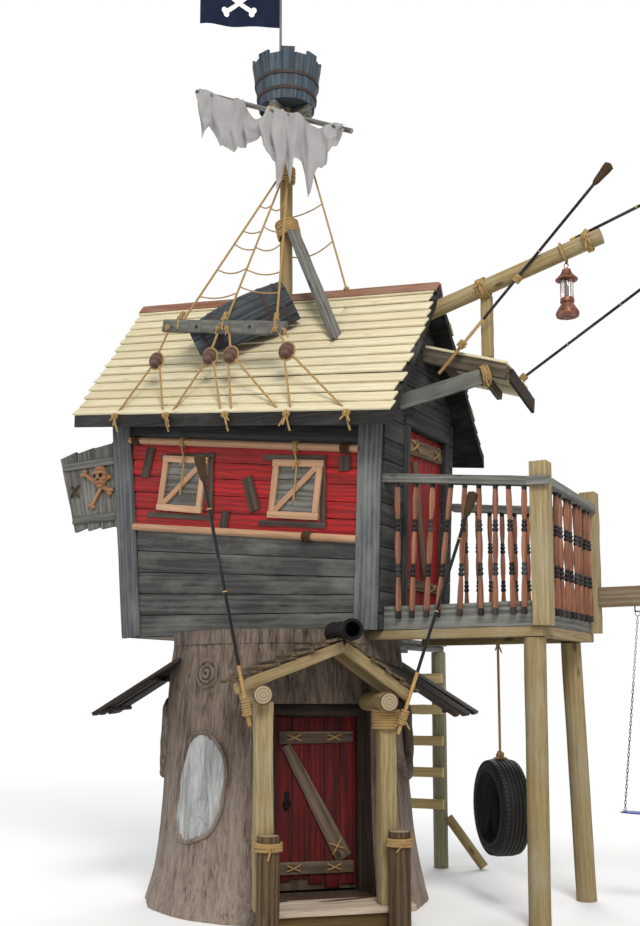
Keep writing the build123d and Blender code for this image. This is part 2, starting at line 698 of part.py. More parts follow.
def shutters():
    """Crooked board shutters over the front windows, and the wing shutter."""
    leaves = []
    for shutter in SHUTTERS:
        board = box(-SHUTTER_W / 2, SHUTTER_W / 2, -SHUTTER_BOARD_T, 0, -SHUTTER_H / 2, SHUTTER_H / 2)
        face = -SHUTTER_BOARD_T - SHUTTER_FRAME_T
        frame = box(-SHUTTER_W / 2, SHUTTER_W / 2, face, -SHUTTER_BOARD_T, -SHUTTER_H / 2, SHUTTER_H / 2)
        open_w = SHUTTER_W / 2 - SHUTTER_FRAME_W
        open_h = SHUTTER_H / 2 - SHUTTER_FRAME_W
        frame -= box(-open_w, open_w, face - 1, -SHUTTER_BOARD_T, -open_h, open_h)
        middle = -SHUTTER_BOARD_T - SHUTTER_FRAME_T / 2
        brace = timber(
            (-SHUTTER_W / 2, middle, -SHUTTER_H / 2),
            (SHUTTER_W / 2, middle, SHUTTER_H / 2),
            SHUTTER_FRAME_T,
            SHUTTER_FRAME_W,
            (0, 1, 0),
        )
        brace &= box(-open_w, open_w, face, -SHUTTER_BOARD_T, -open_h, open_h)
        leaves.append(shutter_place(shutter) * (board + frame + brace))
    x0, x1 = WING_X
    z0, z1 = WING_Z
    y0 = CABIN_FRONT + WING_T / 2
    wing = None
    for board in range(WING_BOARDS):
        left = x0 + (x1 - x0) * board / WING_BOARDS
        right = x0 + (x1 - x0) * (board + 1) / WING_BOARDS
        lean = (1 - board / WING_BOARDS) * WING_TAPER
        lean_next = (1 - (board + 1) / WING_BOARDS) * WING_TAPER
        if board == WING_BOARDS - 1:
            right = CABIN_LEFT
            lean_next = 0.0
        height = z1 + WING_STEP * board
        rise = height - z0
        points = [(left - lean * rise, y0, height), (left, y0, z0), (right, y0, z0)]
        points.append((right - lean_next * rise, y0, height))
        plank = prism(points, (0, WING_T, 0))
        wing = plank if wing is None else wing + plank
    leaves.append(wing - cabin_block(0, 2 * CABIN_FRONT, CABIN_BACK, CABIN_BOTTOM, RIDGE_Z))
    save("shutters", leaves)


def bow_log(clearance=0.0):
    """Log that runs out under the right gable."""
    return log(BOW_START, BOW_END, BOW_R + clearance)


def hood_roof_slab(lift, depth):
    """Slab along the plane of the small roof over the side door."""
    (x0, x1), (r0, r1), (b0, b1) = HOOD_ROOF_X, HOOD_ROOF_RIDGE_Z, HOOD_ROOF_LOW_Z
    drop = (b0 - r0 + b1 - r1) / 2
    back = HOOD_ROOF_BACK_Y
    points = [(x0, RIDGE_Y, r0), (x1, RIDGE_Y, r1), (x1, back, r1 + drop), (x0, back, r0 + drop)]
    points = [(x, y, z + lift) for x, y, z in points]
    return prism(points, (0, 0, -depth))


def side_hood():
    """Small roof over the side door, with its beam, arm and fascia."""
    outside = cabin_block(0, 2 * CABIN_FRONT, 2 * CABIN_BACK, CABIN_BOTTOM, RIDGE_Z)
    far = 3 * HOOD_BEAM_D
    above = box(0, ROOF_RIGHT + SEAT, CABIN_FRONT, EAVE_BACK, CABIN_BOTTOM, RIDGE_Z)
    above -= house_block(ROOF_DOWN + SEAT)
    slab = hood_roof_slab(0, HOOD_ROOF_T) - outside - above
    save("side_hood_roof", slab)
    under = hood_roof_slab(-HOOD_ROOF_T, far)
    (x0, x1), (r0, r1) = HOOD_ROOF_X, HOOD_ROOF_RIDGE_Z
    slope = (r1 - r0) / (x1 - x0)
    start = (CABIN_RIGHT, RIDGE_Y + HOOD_BEAM_W / 2, r0 + (CABIN_RIGHT - x0) * slope - HOOD_BEAM_D / 2)
    end = (x1, RIDGE_Y + HOOD_BEAM_W / 2, r1 - HOOD_BEAM_D / 2)
    beam = timber(start, end, HOOD_BEAM_W, HOOD_BEAM_D, (0, 1, 0))
    beam = (beam & under) - outside
    arm_top = (x1 - HOOD_BEAM_D * 1.6, RIDGE_Y - HOOD_ARM_W / 2, r1 - HOOD_BEAM_D)
    arm = timber(HOOD_ARM_FOOT, arm_top, HOOD_ARM_W, HOOD_ARM_D, (0, 1, 0))
    arm -= outside
    arm -= box(0, 2 * x1, RIDGE_Y, CABIN_BACK, CABIN_BOTTOM, RIDGE_Z)
    board = box(x1 - FASCIA_T, x1, RIDGE_Y + HOOD_BEAM_W, HOOD_ROOF_BACK_Y, r1 - far, r1 + far)
    board = (board & under) & hood_roof_slab(-HOOD_ROOF_T, FASCIA_H)
    save("side_hood_frame", (beam + arm) + board)
    bow = bow_log() - outside
    half = BOW_POST_SIDE / 2
    y0 = RIDGE_Y + BOW_POST_SIDE / 4
    post = box(BOW_POST_X - half, BOW_POST_X + half, y0, y0 + BOW_POST_SIDE, HOOD_ROOF_LOW_Z[1], BOW_END[2])
    post -= hood_roof_slab(0, 4 * far)
    pieces = (post - bow_log(SEAT)).solids()
    save("bow_log", [bow, min(pieces, key=lambda solid: solid.center().Z)])


HOOKS = []


def hanger(x, y, pin_z, top_z, turn):
    """Hook with a level pin, and the ring that hangs on it, its pin turned about the vertical."""
    rod = log((0, 4 * HOOK_R, pin_z - HOOK_R), (0, 4 * HOOK_R, top_z), HOOK_R)
    pin = log((0, 4 * HOOK_R, pin_z), (0, -3 * HOOK_R, pin_z), HOOK_R)
    ring = Pos(0, 0, pin_z - RING_R + HOOK_R + SEAT + RING_WIRE) * Rot(90, 0, 0) * Torus(RING_R, RING_WIRE)
    place = Location((x, y, 0), (0, 0, turn))
    return place * (rod + pin), place * ring, pin_z - 2 * RING_R + HOOK_R + SEAT + RING_WIRE


def lantern():
    """Hook on the bow log and the lantern that hangs from it."""
    tilt = (BOW_END[2] - BOW_START[2]) / (BOW_END[0] - BOW_START[0])
    log_z = BOW_START[2] + (LANTERN_X - BOW_START[0]) * tilt
    hook, ring, low = hanger(LANTERN_X, RIDGE_Y, LANTERN_PIN_Z, log_z, 0)
    HOOKS.append(hook - bow_log(SEAT))
    height = low - LANTERN_BOTTOM
    points = [(LANTERN_R * r, height * z) for r, z in LANTERN_PROFILE]
    body = revolve(Plane.XZ * make_face(Polyline(*points, close=True)), Axis.Z)
    save("lantern", (Pos(LANTERN_X, RIDGE_Y, LANTERN_BOTTOM) * body) + ring)


def spindle(foot, head):
    """Turned baluster between two points."""
    first = Vector(*foot)
    way = Vector(*head) - first
    neck = SPINDLE_NECK_R
    belly = SPINDLE_BELLY_R
    sizes = (SPINDLE_R, neck, belly, neck, neck, belly, neck, SPINDLE_R)
    outline = [(SPINDLE_R, 0)] + list(zip(sizes, SPINDLE_BANDS)) + [(SPINDLE_R, 1)]
    points = [(0, 0)] + [(r, share * way.length) for r, share in outline] + [(0, way.length)]
    body = revolve(Plane.XZ * make_face(Polyline(*points, close=True)), Axis.Z)
    return Plane(origin=first, z_dir=way) * body


def railing(start, end, feet, heads, outward, foot_z):
    """Top rail with the spindles under it."""
    rail = timber(start, end, RAIL_D, RAIL_H, outward)
    way = Vector(*end) - Vector(*start)
    for foot, head in zip(feet, heads):
        top = Vector(*start) + way * head
        low = Vector(*start) + way * foot
        rail += spindle((low.X, low.Y, foot_z), (top.X, top.Y, top.Z - RAIL_H / 4))
    return rail


def deck():
    """Plank deck with rim, beams, posts, newels and railings."""
    x0, x1 = DECK_X
    y0, y1 = DECK_Y
    top = DECK_BOTTOM + RIM_H
    cabin_side = cabin_block(0, 2 * CABIN_FRONT, 2 * CABIN_BACK, CABIN_BOTTOM, RIDGE_Z)
    half = NEWEL_SIDE / 2
    spots = ((x1, y0 + half / 2), (x1, y1 - half / 2))
    newels = []
    for (x, y), rail_z in zip(spots, (RAIL_TOP[1], RAIL_TOP[1] - RAIL_H / 2)):
        newels.append(box(x - half, x + half, y - half, y + half, DECK_BOTTOM, rail_z + NEWEL_ABOVE))
    inner = box(0, x1 - RIM_T, y0 + RIM_T, y1 - RIM_T, 0, 2 * top)
    rim = box(CABIN_RIGHT, x1, y0, y1, DECK_BOTTOM, top) - inner - cabin_side - newels[0] - newels[1]
    floor = box(CABIN_RIGHT, x1 - RIM_T, y0 + RIM_T, y1 - RIM_T, top - DECK_BOARD_T, top)
    joists = []
    joist_z = top - DECK_BOARD_T
    for x in (TYRE_X - JOIST_STEP, TYRE_X, TYRE_X + JOIST_STEP):
        joists.append(box(x - RIM_T / 2, x + RIM_T / 2, y0 + RIM_T, y1 - RIM_T, DECK_BOTTOM, joist_z))
    save("deck_floor", floor - cabin_side - newels[0] - newels[1])
    cap_cut = cap_room()
    girder_z = DECK_BOTTOM - GIRDER_H
    girders = [box(x1 - GIRDER_W, x1, y0, y1, girder_z, DECK_BOTTOM)]
    for near in (y0, y1 - GIRDER_W):
        beam = box(CABIN_RIGHT - GIRDER_BEARING, x1, near, near + GIRDER_W, girder_z, DECK_BOTTOM)
        beam -= cap_cut
        girders.append(max(beam.solids(), key=lambda solid: solid.center().X))
    frame = rim
    for piece in joists + girders:
        frame += piece
    save("deck_frame", frame)
    post_top = girder_z
    posts = []
    head_y = (y0 + RIM_T + GIRDER_W / 2, y1 - RIM_T - GIRDER_W / 2)
    for foot, head in zip(DECK_POST_FEET, zip(DECK_POST_HEAD_X, head_y)):
        way = Vector(head[0] - foot[0], head[1] - foot[1], post_top)
        start = Vector(foot[0], foot[1], 0) - way * 0.1
        end = Vector(head[0], head[1], post_top) + way * 0.1
        pole = log(start, end, DECK_POST_R) & box(0, 2 * x1, 2 * y0, 2 * y1, 0, post_top)
        posts.append(pole)
    save("deck_posts", posts + newels)
    rail_y = y0 - SPINDLE_R - SEAT
    inner_x = x1 - half
    start = (CABIN_RIGHT, rail_y, RAIL_TOP[0] - RAIL_H / 2)
    end = (inner_x, rail_y, RAIL_TOP[1] - RAIL_H / 2)
    span = inner_x - CABIN_RIGHT
    heads = [(x - CABIN_RIGHT) / span for x in SPINDLE_HEADS]
    feet = [(x - CABIN_RIGHT) / span for x in SPINDLE_FEET]
    foot_z = DECK_BOTTOM + RIM_H * FOOT_SHARE
    corner = cabin_block(0, 2 * CABIN_FRONT, 2 * CABIN_BACK, CABIN_BOTTOM, RIDGE_Z)
    front = railing(start, end, feet, heads, (0, 1, 0), foot_z) - corner
    save("front_railing", front - newels[0])
    rail_x = x1 + SPINDLE_R + SEAT
    side_start = (rail_x, spots[0][1] + half, RAIL_TOP[1] - RAIL_H / 2)
    side_end = (rail_x, spots[1][1] - half, RAIL_TOP[1] - RAIL_H)
    shares = [(index + 0.5) / SPINDLE_COUNT_RIGHT for index in range(SPINDLE_COUNT_RIGHT)]
    right = railing(side_start, side_end, shares, shares, (1, 0, 0), foot_z)
    save("right_railing", right - newels[0] - newels[1])
    back_y = y1 + SPINDLE_R + SEAT
    back_start = (CABIN_RIGHT, back_y, RAIL_TOP[0] - RAIL_H)
    back_end = (inner_x, back_y, RAIL_TOP[1] - RAIL_H)
    step = SPINDLE_BACK_SPAN / SPINDLE_COUNT_BACK
    shares = [SPINDLE_BACK_FIRST + step * index for index in range(SPINDLE_COUNT_BACK)]
    back = railing(back_start, back_end, shares, shares, (0, 1, 0), foot_z) - corner
    cover = cabin_block(0, CABIN_BACK, CABIN_BACK + CORNER_T, CABIN_BOTTOM, RIDGE_Z)
    save("back_railing", back - newels[1] - cover)


def ladder():
    """Ladder, landing and slanting strut behind the trunk."""
    landing_z = DECK_BOTTOM - LANDING_T
    posts = []
    for x in LADDER_X:
        posts.append(log((x, LADDER_Y, 0), (x, LADDER_Y, landing_z), LADDER_R))
    rungs = []
    face = LADDER_Y - LADDER_R + RUNG_T / 4
    for step in range(RUNG_COUNT):
        z = RUNG_FIRST + RUNG_STEP * step
        board = box(LADDER_X[0] - LADDER_R, LADDER_X[1] + LADDER_R, face - RUNG_T, face, z, z + RUNG_H)
        rungs.append(board)
    frame = posts[0]
    for piece in rungs + posts[1:]:
        frame += piece
    y0 = CABIN_BACK - WALL_T / 2
    x0 = LADDER_X[0] - LADDER_R
    x1 = LADDER_X[1] + LADDER_R
    slab = box(x0, x1, y0, LADDER_Y + LADDER_R, landing_z, DECK_BOTTOM) - cap_room()
    save("ladder_landing", max(slab.solids(), key=lambda solid: solid.volume))
    x = LADDER_X[1]
    strut_foot = (x + STRUT_FOOT_OUT, LADDER_Y + STRUT_FOOT_BACK, -STRUT_SUNK)
    strut = log((x, LADDER_Y, STRUT_TOP_Z), strut_foot, STRUT_R)
    strut &= box(x, 3 * x, 0, 2 * LADDER_Y, 0, landing_z)
    save("ladder", [frame, strut - log((x, LADDER_Y, 0), (x, LADDER_Y, landing_z), LADDER_R + SEAT)])


def porch():
    """Step, posts, bollards, log beams, plank roof and the cannon."""
    reach = 2 * PORCH_OUT
    skin = trunk_body(SEAT)
    inset = PORCH_BOX_INSET
    step = box(0, PORCH_OUT - inset, PORCH_LEFT + inset, PORCH_RIGHT - inset, 0, PORCH_Z - PORCH_BOARD_T)
    top = box(0, PORCH_OUT, PORCH_LEFT, PORCH_RIGHT, PORCH_Z - PORCH_BOARD_T, PORCH_Z)
    save("porch_step", PORCH * (step + top) - skin)
    posts = []
    beams = []
    half = POST_SIDE / 2
    places = zip((POST_LEFT, POST_RIGHT), BOLLARD_SIDES, BEAM_SIDES, (BEAM_LEFT_Z, BEAM_RIGHT_Z))
    for l, stump_l, beam_l, z in places:
        beam = log((TRUNK_INSIDE_R, beam_l, z), (BEAM_FRONT, beam_l, z), BEAM_R)
        beams.append(PORCH * beam - skin)
        post = box(POST_OUT - half, POST_OUT + half, l - half, l + half, PORCH_Z, z)
        post -= log((0, beam_l, z), (reach, beam_l, z), BEAM_R + SEAT)
        post = max(post.solids(), key=lambda solid: solid.volume)
        stump_a = POST_OUT + half + BOLLARD_R
        stump = log((stump_a, stump_l, 0), (stump_a, stump_l, BOLLARD_TOP), BOLLARD_R)
        stump -= box(0, PORCH_OUT, PORCH_LEFT, PORCH_RIGHT, 0, PORCH_Z)
        stump -= box(0, POST_OUT + half, l - 2 * half, l + 2 * half, 0, z)
        stump = max(stump.solids(), key=lambda solid: solid.volume)
        posts.append(PORCH * (post + stump))
    save("porch_posts", posts)
    save("porch_beams", beams)
    apex_l, apex_z = PORCH_APEX
    cannon_z = apex_z + CANNON_R * CANNON_LIFT_SHARE
    slabs = []
    back_l = POST_LEFT - POST_SIDE / 2
    back_a = TRUNK_INSIDE_R
    far_l = PORCH_EAVE_LEFT[0] * 2
    front_a = PORCH_ROOF_FRONT
    near_l = PORCH_EAVE_LEFT[0] - PORCH_CORNER_CLEAR
    spare = [(0, far_l), (0, back_l), (back_a, back_l), (front_a, near_l), (front_a, far_l)]
    corner = PORCH * prism([(a, l, PORCH_Z) for a, l in spare], (0, 0, 2 * PORCH_APEX[1]))
    for eave_l, eave_z in (PORCH_EAVE_LEFT, PORCH_EAVE_RIGHT):
        points = [(0, apex_l, apex_z), (0, eave_l, eave_z)]
        points += [(0, eave_l, eave_z - PORCH_ROOF_T), (0, apex_l, apex_z - PORCH_ROOF_T)]
        slab = PORCH * prism(points, (PORCH_ROOF_FRONT, 0, 0)) - skin - corner
        slab -= PORCH * log((0, apex_l, cannon_z), (reach, apex_l, cannon_z), CANNON_R + SEAT)
        slab -= cap_room()
        slabs.append(max(slab.solids(), key=lambda solid: solid.volume))
    save("porch_roof", slabs[0] + slabs[1])
    breech = (CANNON_FRONT - CANNON_LENGTH, apex_l, cannon_z)
    barrel = log(breech, (CANNON_FRONT, apex_l, cannon_z), CANNON_R)
    bore_start = (CANNON_FRONT - CANNON_BORE_DEPTH, apex_l, cannon_z)
    bore = log(bore_start, (CANNON_FRONT + CANNON_R, apex_l, cannon_z), CANNON_BORE_R)
    save("cannon", PORCH * (barrel - bore))


def door_ledges():
    """Lower and upper ledge on the front of the door, and the slanting brace between."""
    face = DOOR_PLANE
    low_z = DOOR_BOTTOM + LEDGE_LOW_UP
    high_z = DOOR_TOP - LEDGE_HIGH_DOWN
    l0 = DOOR_LEFT + LEDGE_INSET
    l1 = DOOR_RIGHT - LEDGE_INSET
    low = box(face, face + BRACE_T, l0, l1, low_z, low_z + BRACE_H)
    high = box(face, face + BRACE_T, l0, l1, high_z, high_z + BRACE_H)
    slant = timber(
        (face + BRACE_T / 2, DOOR_LEFT + 3 * LEDGE_INSET, high_z),
        (face + BRACE_T / 2, DOOR_RIGHT - 3 * LEDGE_INSET, low_z + BRACE_H),
        BRACE_T,
        BRACE_H,
        (1, 0, 0),
    )
    slant -= low
    slant -= high
    save("door_braces", PORCH * (low + high + slant))


def mast_parts():
    """Mast, look-out tub, yard, sail, flag and leaning spar."""
    front = roof_slopes()[0]
    lift = CAP_T / math.cos(ROOF_PITCH)
    mast = log((MAST_X, RIDGE_Y, RIDGE_Z - MAST_SEATED), (MAST_X, RIDGE_Y, MAST_TOP), MAST_R)
    save("mast", mast - house_block(-lift, ROOF_MARGIN))
    stand = (Align.CENTER, Align.CENTER, Align.MIN)
    notch_z = TUB_HEIGHT - TUB_STAVE_DROP
    tub = Cone(TUB_BOTTOM_R, TUB_TOP_R, TUB_HEIGHT, align=stand)
    hollow = Cone(TUB_BOTTOM_R - TUB_WALL, TUB_TOP_R - TUB_WALL, TUB_HEIGHT, align=stand)
    tub -= Pos(0, 0, TUB_FLOOR_T) * hollow
    for stave in range(0, TUB_STAVES, 2):
        turn = 360 * stave / TUB_STAVES
        half = TUB_TOP_R * STAVE_HALF_SHARE
        notch = box(TUB_BOTTOM_R - TUB_WALL, 2 * TUB_TOP_R, -half, half, notch_z, 2 * TUB_HEIGHT)
        tub -= Rot(0, 0, turn) * notch
    arm = TREE_W / 2
    tub += box(-TUB_BOTTOM_R, TUB_BOTTOM_R, -arm, arm, -TREE_D, 0)
    tub += box(-arm, arm, -TUB_BOTTOM_R, TUB_BOTTOM_R, -TREE_D, 0)
    tub -= Cylinder(MAST_R + SEAT, 4 * TUB_HEIGHT)
    save("look_out_tub", Pos(MAST_X, RIDGE_Y, TUB_BOTTOM) * tub)
    tilt = math.radians(YARD_TILT)
    yard_y = RIDGE_Y - TUB_BOTTOM_R - YARD_R - SEAT
    reach_x = YARD_HALF * math.cos(tilt)
    reach_z = YARD_HALF * math.sin(tilt)
    yard_ends = ((MAST_X - reach_x, yard_y, YARD_Z + reach_z), (MAST_X + reach_x, yard_y, YARD_Z - reach_z))
    yard = log(*yard_ends, YARD_R)
    sail_y = yard_y - SAIL_T * SAIL_FRONT_SHARE
    points = [(MAST_X + x, sail_y, YARD_Z + z) for x, z in SAIL_OUTLINE]
    sail = prism(points, (0, SAIL_T, 0))
    sail -= log(*yard_ends, YARD_R + SEAT)
    sail -= log((MAST_X, RIDGE_Y, RIDGE_Z), (MAST_X, RIDGE_Y, MAST_TOP), MAST_R + SEAT)
    save("sail", max(sail.solids(), key=lambda solid: solid.volume))
    pole_x = MAST_X - MAST_R - FLAG_POLE_R - SEAT
    base = TUB_BOTTOM + TUB_FLOOR_T
    flag_pole = log((pole_x, RIDGE_Y, base), (pole_x, RIDGE_Y, FLAG_POLE_TOP), FLAG_POLE_R)
    edge = pole_x - FLAG_POLE_R - SEAT
    high = FLAG_POLE_TOP - FLAG_BELOW_TOP
    points = [
        (edge, RIDGE_Y - FLAG_T / 2, high),
        (edge, RIDGE_Y - FLAG_T / 2, high - FLAG_HEIGHT),
        (edge - FLAG_LENGTH, RIDGE_Y - FLAG_T / 2, high - FLAG_HEIGHT + FLAG_DROP),
        (edge - FLAG_LENGTH, RIDGE_Y - FLAG_T / 2, high + FLAG_DROP),
    ]
    save("flag", prism(points, (0, FLAG_T, 0)))
    spar_y = RIDGE_Y - MAST_R - SPAR_T / 2 - SEAT
    head = (SPAR_TOP[0], spar_y, SPAR_TOP[1])
    spar = timber(SPAR_FOOT, head, SPAR_W, SPAR_T, (1, 0, 0.6))
    spar -= house_block(ROOF_DOWN, ROOF_MARGIN / 2) + front
    spar -= log((MAST_X, RIDGE_Y, RIDGE_Z), (MAST_X, RIDGE_Y, MAST_TOP), MAST_R + SEAT)
    spar = max(spar.solids(), key=lambda solid: solid.volume)
    save("spars", [yard, flag_pole, spar])


CAP_Y = (RIDGE_Y - CAP_LEG * math.cos(ROOF_PITCH) - SEAT, RIDGE_Y)


def rigging():
    """Half barrel on the roof, the holed board, deadeyes and ropes."""
    first = Vector(*BARREL_FROM)
    way = Vector(*BARREL_TO) - first
    length = way.length
    side = ThreePointArc((BARREL_END_R, 0), (BARREL_MID_R, length / 2), (BARREL_END_R, length))
    rest = Polyline((BARREL_END_R, length), (0, length), (0, 0), (BARREL_END_R, 0))
    solid = revolve(Plane.XZ * make_face(side + rest), Axis.Z)
    thin = BARREL_WALL
    side_in = ThreePointArc(
        (BARREL_END_R - thin, thin), (BARREL_MID_R - thin, length / 2), (BARREL_END_R - thin, length + 1)
    )
    inner_r = BARREL_END_R - thin
    rest_in = Polyline((inner_r, length + 1), (0, length + 1), (0, thin), (inner_r, thin))
    hollow = revolve(Plane.XZ * make_face(side_in + rest_in), Axis.Z)
    place = Plane(origin=first, z_dir=way)
    barrel = place * (solid - hollow)
    front = roof_slopes()[0]
    under_cap = house_block(-CAP_T / math.cos(ROOF_PITCH), ROOF_MARGIN)
    barrel -= under_cap & box(2 * ROOF_LEFT, 2 * ROOF_RIGHT, *CAP_Y, 0, 2 * RIDGE_Z)
    barrel -= house_block(0, ROOF_MARGIN)
    barrel -= box(2 * ROOF_LEFT, 2 * ROOF_RIGHT, RIDGE_Y - MAST_R - SEAT, EAVE_BACK, 0, 2 * RIDGE_Z)
    save("half_barrel", max(barrel.solids(), key=lambda piece: piece.volume))
    board = timber(
        (BOARD_LEFT[0], BOARD_Y, BOARD_LEFT[1] - BOARD_H / 2),
        (BOARD_RIGHT[0], BOARD_Y, BOARD_RIGHT[1] - BOARD_H / 2),
        BOARD_H,
        BOARD_T,
        (0, 0, 1),
    )
    board -= place * solid
    board = max(board.solids(), key=lambda piece: piece.volume)
    save("rigging_board", board)
    slope = (BOARD_RIGHT[1] - BOARD_LEFT[1]) / (BOARD_RIGHT[0] - BOARD_LEFT[0])
    mast = log((MAST_X, RIDGE_Y, RIDGE_Z), (MAST_X, RIDGE_Y, MAST_TOP), MAST_R + SEAT)
    shrouds = []
    for index, x in enumerate(SHROUD_X):
        hitch = (MAST_X + (index - 1) * 4 * ROPE_R, RIDGE_Y - MAST_R / 2, HITCH_Z)
        end = (x, BOARD_Y, BOARD_LEFT[1] + (x - BOARD_LEFT[0]) * slope - BOARD_H / 2)
        rope = log(hitch, end, ROPE_R) - mast - board
        shrouds.append(max(rope.solids(), key=lambda piece: piece.volume))
    eyes = []
    lanyards = []
    for x, hung_x, feet in zip(DEADEYE_X, DEADEYE_HUNG_X, DEADEYE_FEET):
        centre = (x, DEADEYE_Y, DEADEYE_Z + (x - DEADEYE_X[0]) * slope / 2)
        eye = Location(centre, (90, 0, 0)) * Cylinder(DEADEYE_R, DEADEYE_T)
        eyes.append(eye)
        top = (hung_x, BOARD_Y, BOARD_LEFT[1] + (hung_x - BOARD_LEFT[0]) * slope - BOARD_H / 2)
        rope = log(top, centre, ROPE_R) - board - eye
        lanyards.append(max(rope.solids(), key=lambda piece: piece.volume))
        for side, foot in zip((-1, 1), feet):
            start = (x + side * DEADEYE_R / 2, DEADEYE_Y, centre[2])
            end = (foot, EAVE_FRONT + ROPE_R, EAVE_Z - ROOF_DROP * foot - ROPE_R)
            rope = log(start, end, ROPE_R) - eye - front
            lanyards.append(max(rope.solids(), key=lambda piece: piece.volume))
    save("deadeyes", eyes)
    save("rigging_ropes", shrouds + lanyards)


def tyre_swing():
    """Tyre on a rope under the deck."""
    place = Pos(TYRE_X, TYRE_Y, TYRE_Z) * Rot(0, 0, TYRE_TURN) * Rot(0, 90, 0)
    half = TYRE_W / 2
    flank = half * TYRE_FLANK_SHARE
    tread = half * TYRE_TREAD_SHARE
    rim = TYRE_RIM_R
    outline = [
        (rim, -flank), (rim + TYRE_SHOULDER, -half), (TYRE_R - TYRE_SHOULDER, -half), (TYRE_R, -tread),
        (TYRE_R, tread), (TYRE_R - TYRE_SHOULDER, half), (rim + TYRE_SHOULDER, half), (rim, flank),
        (rim + TYRE_BEAD, flank), (TYRE_R - TYRE_TREAD_T, flank), (TYRE_R - TYRE_TREAD_T, -flank),
        (rim + TYRE_BEAD, -flank),
    ]
    shape = revolve(Plane.XZ * make_face(Polyline(*outline, close=True)), Axis.Z)
    save("tyre", place * shape)
    hook, ring, low = hanger(TYRE_X, TYRE_Y, DECK_BOTTOM - HANG_DROP, DECK_BOTTOM, TYRE_TURN)
    HOOKS.append(hook)
    rope = log((TYRE_X, TYRE_Y, TYRE_Z + TYRE_R), (TYRE_X, TYRE_Y, low + RING_WIRE), HANG_R)
    save("tyre_rope", rope + ring)


def swing():
    """Long beam with its end frame, and one seat on chains."""
    z0, z1 = SWING_BEAM_Z
    half = SWING_BEAM_T / 2
    y = DECK_Y[1] - NEWEL_SIDE / 4
    start = DECK_X[1] + NEWEL_SIDE / 2
    frame = box(start, BEAM_END_X, y - half, y + half, z0, z1)
    for way in (-1, 1):
        x = BEAM_END_X - 3 * half
        foot = (x, y + way * SWING_LEG_SPREAD, 0)
        leg = timber(foot, (x, y + way * half / 2, z1), SWING_LEG_W, SWING_LEG_W, (1, 0, 0))
        leg -= box(0, 2 * BEAM_END_X, y - half, y + half, z0, 2 * z1)
        leg &= box(0, 2 * BEAM_END_X, y - 2 * SWING_LEG_SPREAD, y + 2 * SWING_LEG_SPREAD, 0, 2 * z1)
        near, far = sorted((y, y + way * 2 * SWING_LEG_SPREAD))
        leg &= box(0, 2 * BEAM_END_X, near, far, 0, z1)
        frame += leg
    save("swing_frame", frame)
    x0, x1 = SEAT_X
    seat = box(x0, x1, y - SEAT_D / 2, y + SEAT_D / 2, SEAT_Z - SEAT_T, SEAT_Z)
    chains = []
    for x, top_x in ((x0 + CHAIN_INSET, x0 + CHAIN_TOP_INSET), (x1 - CHAIN_INSET, x1 - CHAIN_TOP_INSET)):
        hook, ring, low = hanger(top_x, y, z0 - HANG_DROP, z0, 90)
        HOOKS.append(hook)
        chains.append(log((x, y, SEAT_Z - SEAT_T / 2), (top_x, y, low + RING_WIRE), CHAIN_R) + ring)
    save("swing_seat", seat + chains[0] + chains[1])


def torch(start, end):
    """Pole torch: thin pole with a thicker head at its far end."""
    first = Vector(*start)
    way = Vector(*end) - first
    neck = first + way * (1 - TORCH_HEAD_L / way.length)
    head = log(tuple(neck), end, TORCH_R, TORCH_HEAD_R)
    return log(start, tuple(neck + way * 0.01), TORCH_R) + head


def torches():
    """Pole torches lashed to the front of the porch roof and to the bow log."""
    poles = [PORCH * torch(*ends) for ends in (LEFT_TORCH, RIGHT_TORCH)]
    y = RIDGE_Y - BOW_R - TORCH_R - SEAT
    tall = torch((BOW_TORCH[0][0], y, BOW_TORCH[0][1]), (BOW_TORCH[1][0], y, BOW_TORCH[1][1]))
    slab = hood_roof_slab(0, 4 * HOOD_ROOF_T)
    y = HOOD_ROOF_BACK_Y - HOOD_TORCH_IN
    low = torch((HOOD_TORCH[0][0], y, HOOD_TORCH[0][1]), (HOOD_TORCH[1][0], y, HOOD_TORCH[1][1])) - slab
    low = max(low.solids(), key=lambda piece: piece.volume)
    low_end, high_end = TIP_TORCH
    tip = torch((low_end[0], RIDGE_Y, low_end[1]), (high_end[0], RIDGE_Y, high_end[1])) - bow_log(SEAT)
    tip = max(tip.solids(), key=lambda piece: piece.volume)
    save("pole_torches", poles + [tall, low, tip])


trunk_walls()
trunk_details()
door_parts()
door_ledges()
porch()
cabin()
shutters()
roof()
side_hood()
lantern()
deck()
ladder()
mast_parts()
rigging()
tyre_swing()
swing()
torches()
save("hooks", HOOKS)
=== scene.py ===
"""Dress the play tree house: boards, bark, ropes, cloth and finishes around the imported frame."""
import sys

import json
import logging
import math
import random
from dataclasses import dataclass, field
from enum import Enum
from typing import Callable, Iterable, Sequence

import bpy
import numpy as np
from mathutils import Matrix, Vector, noise

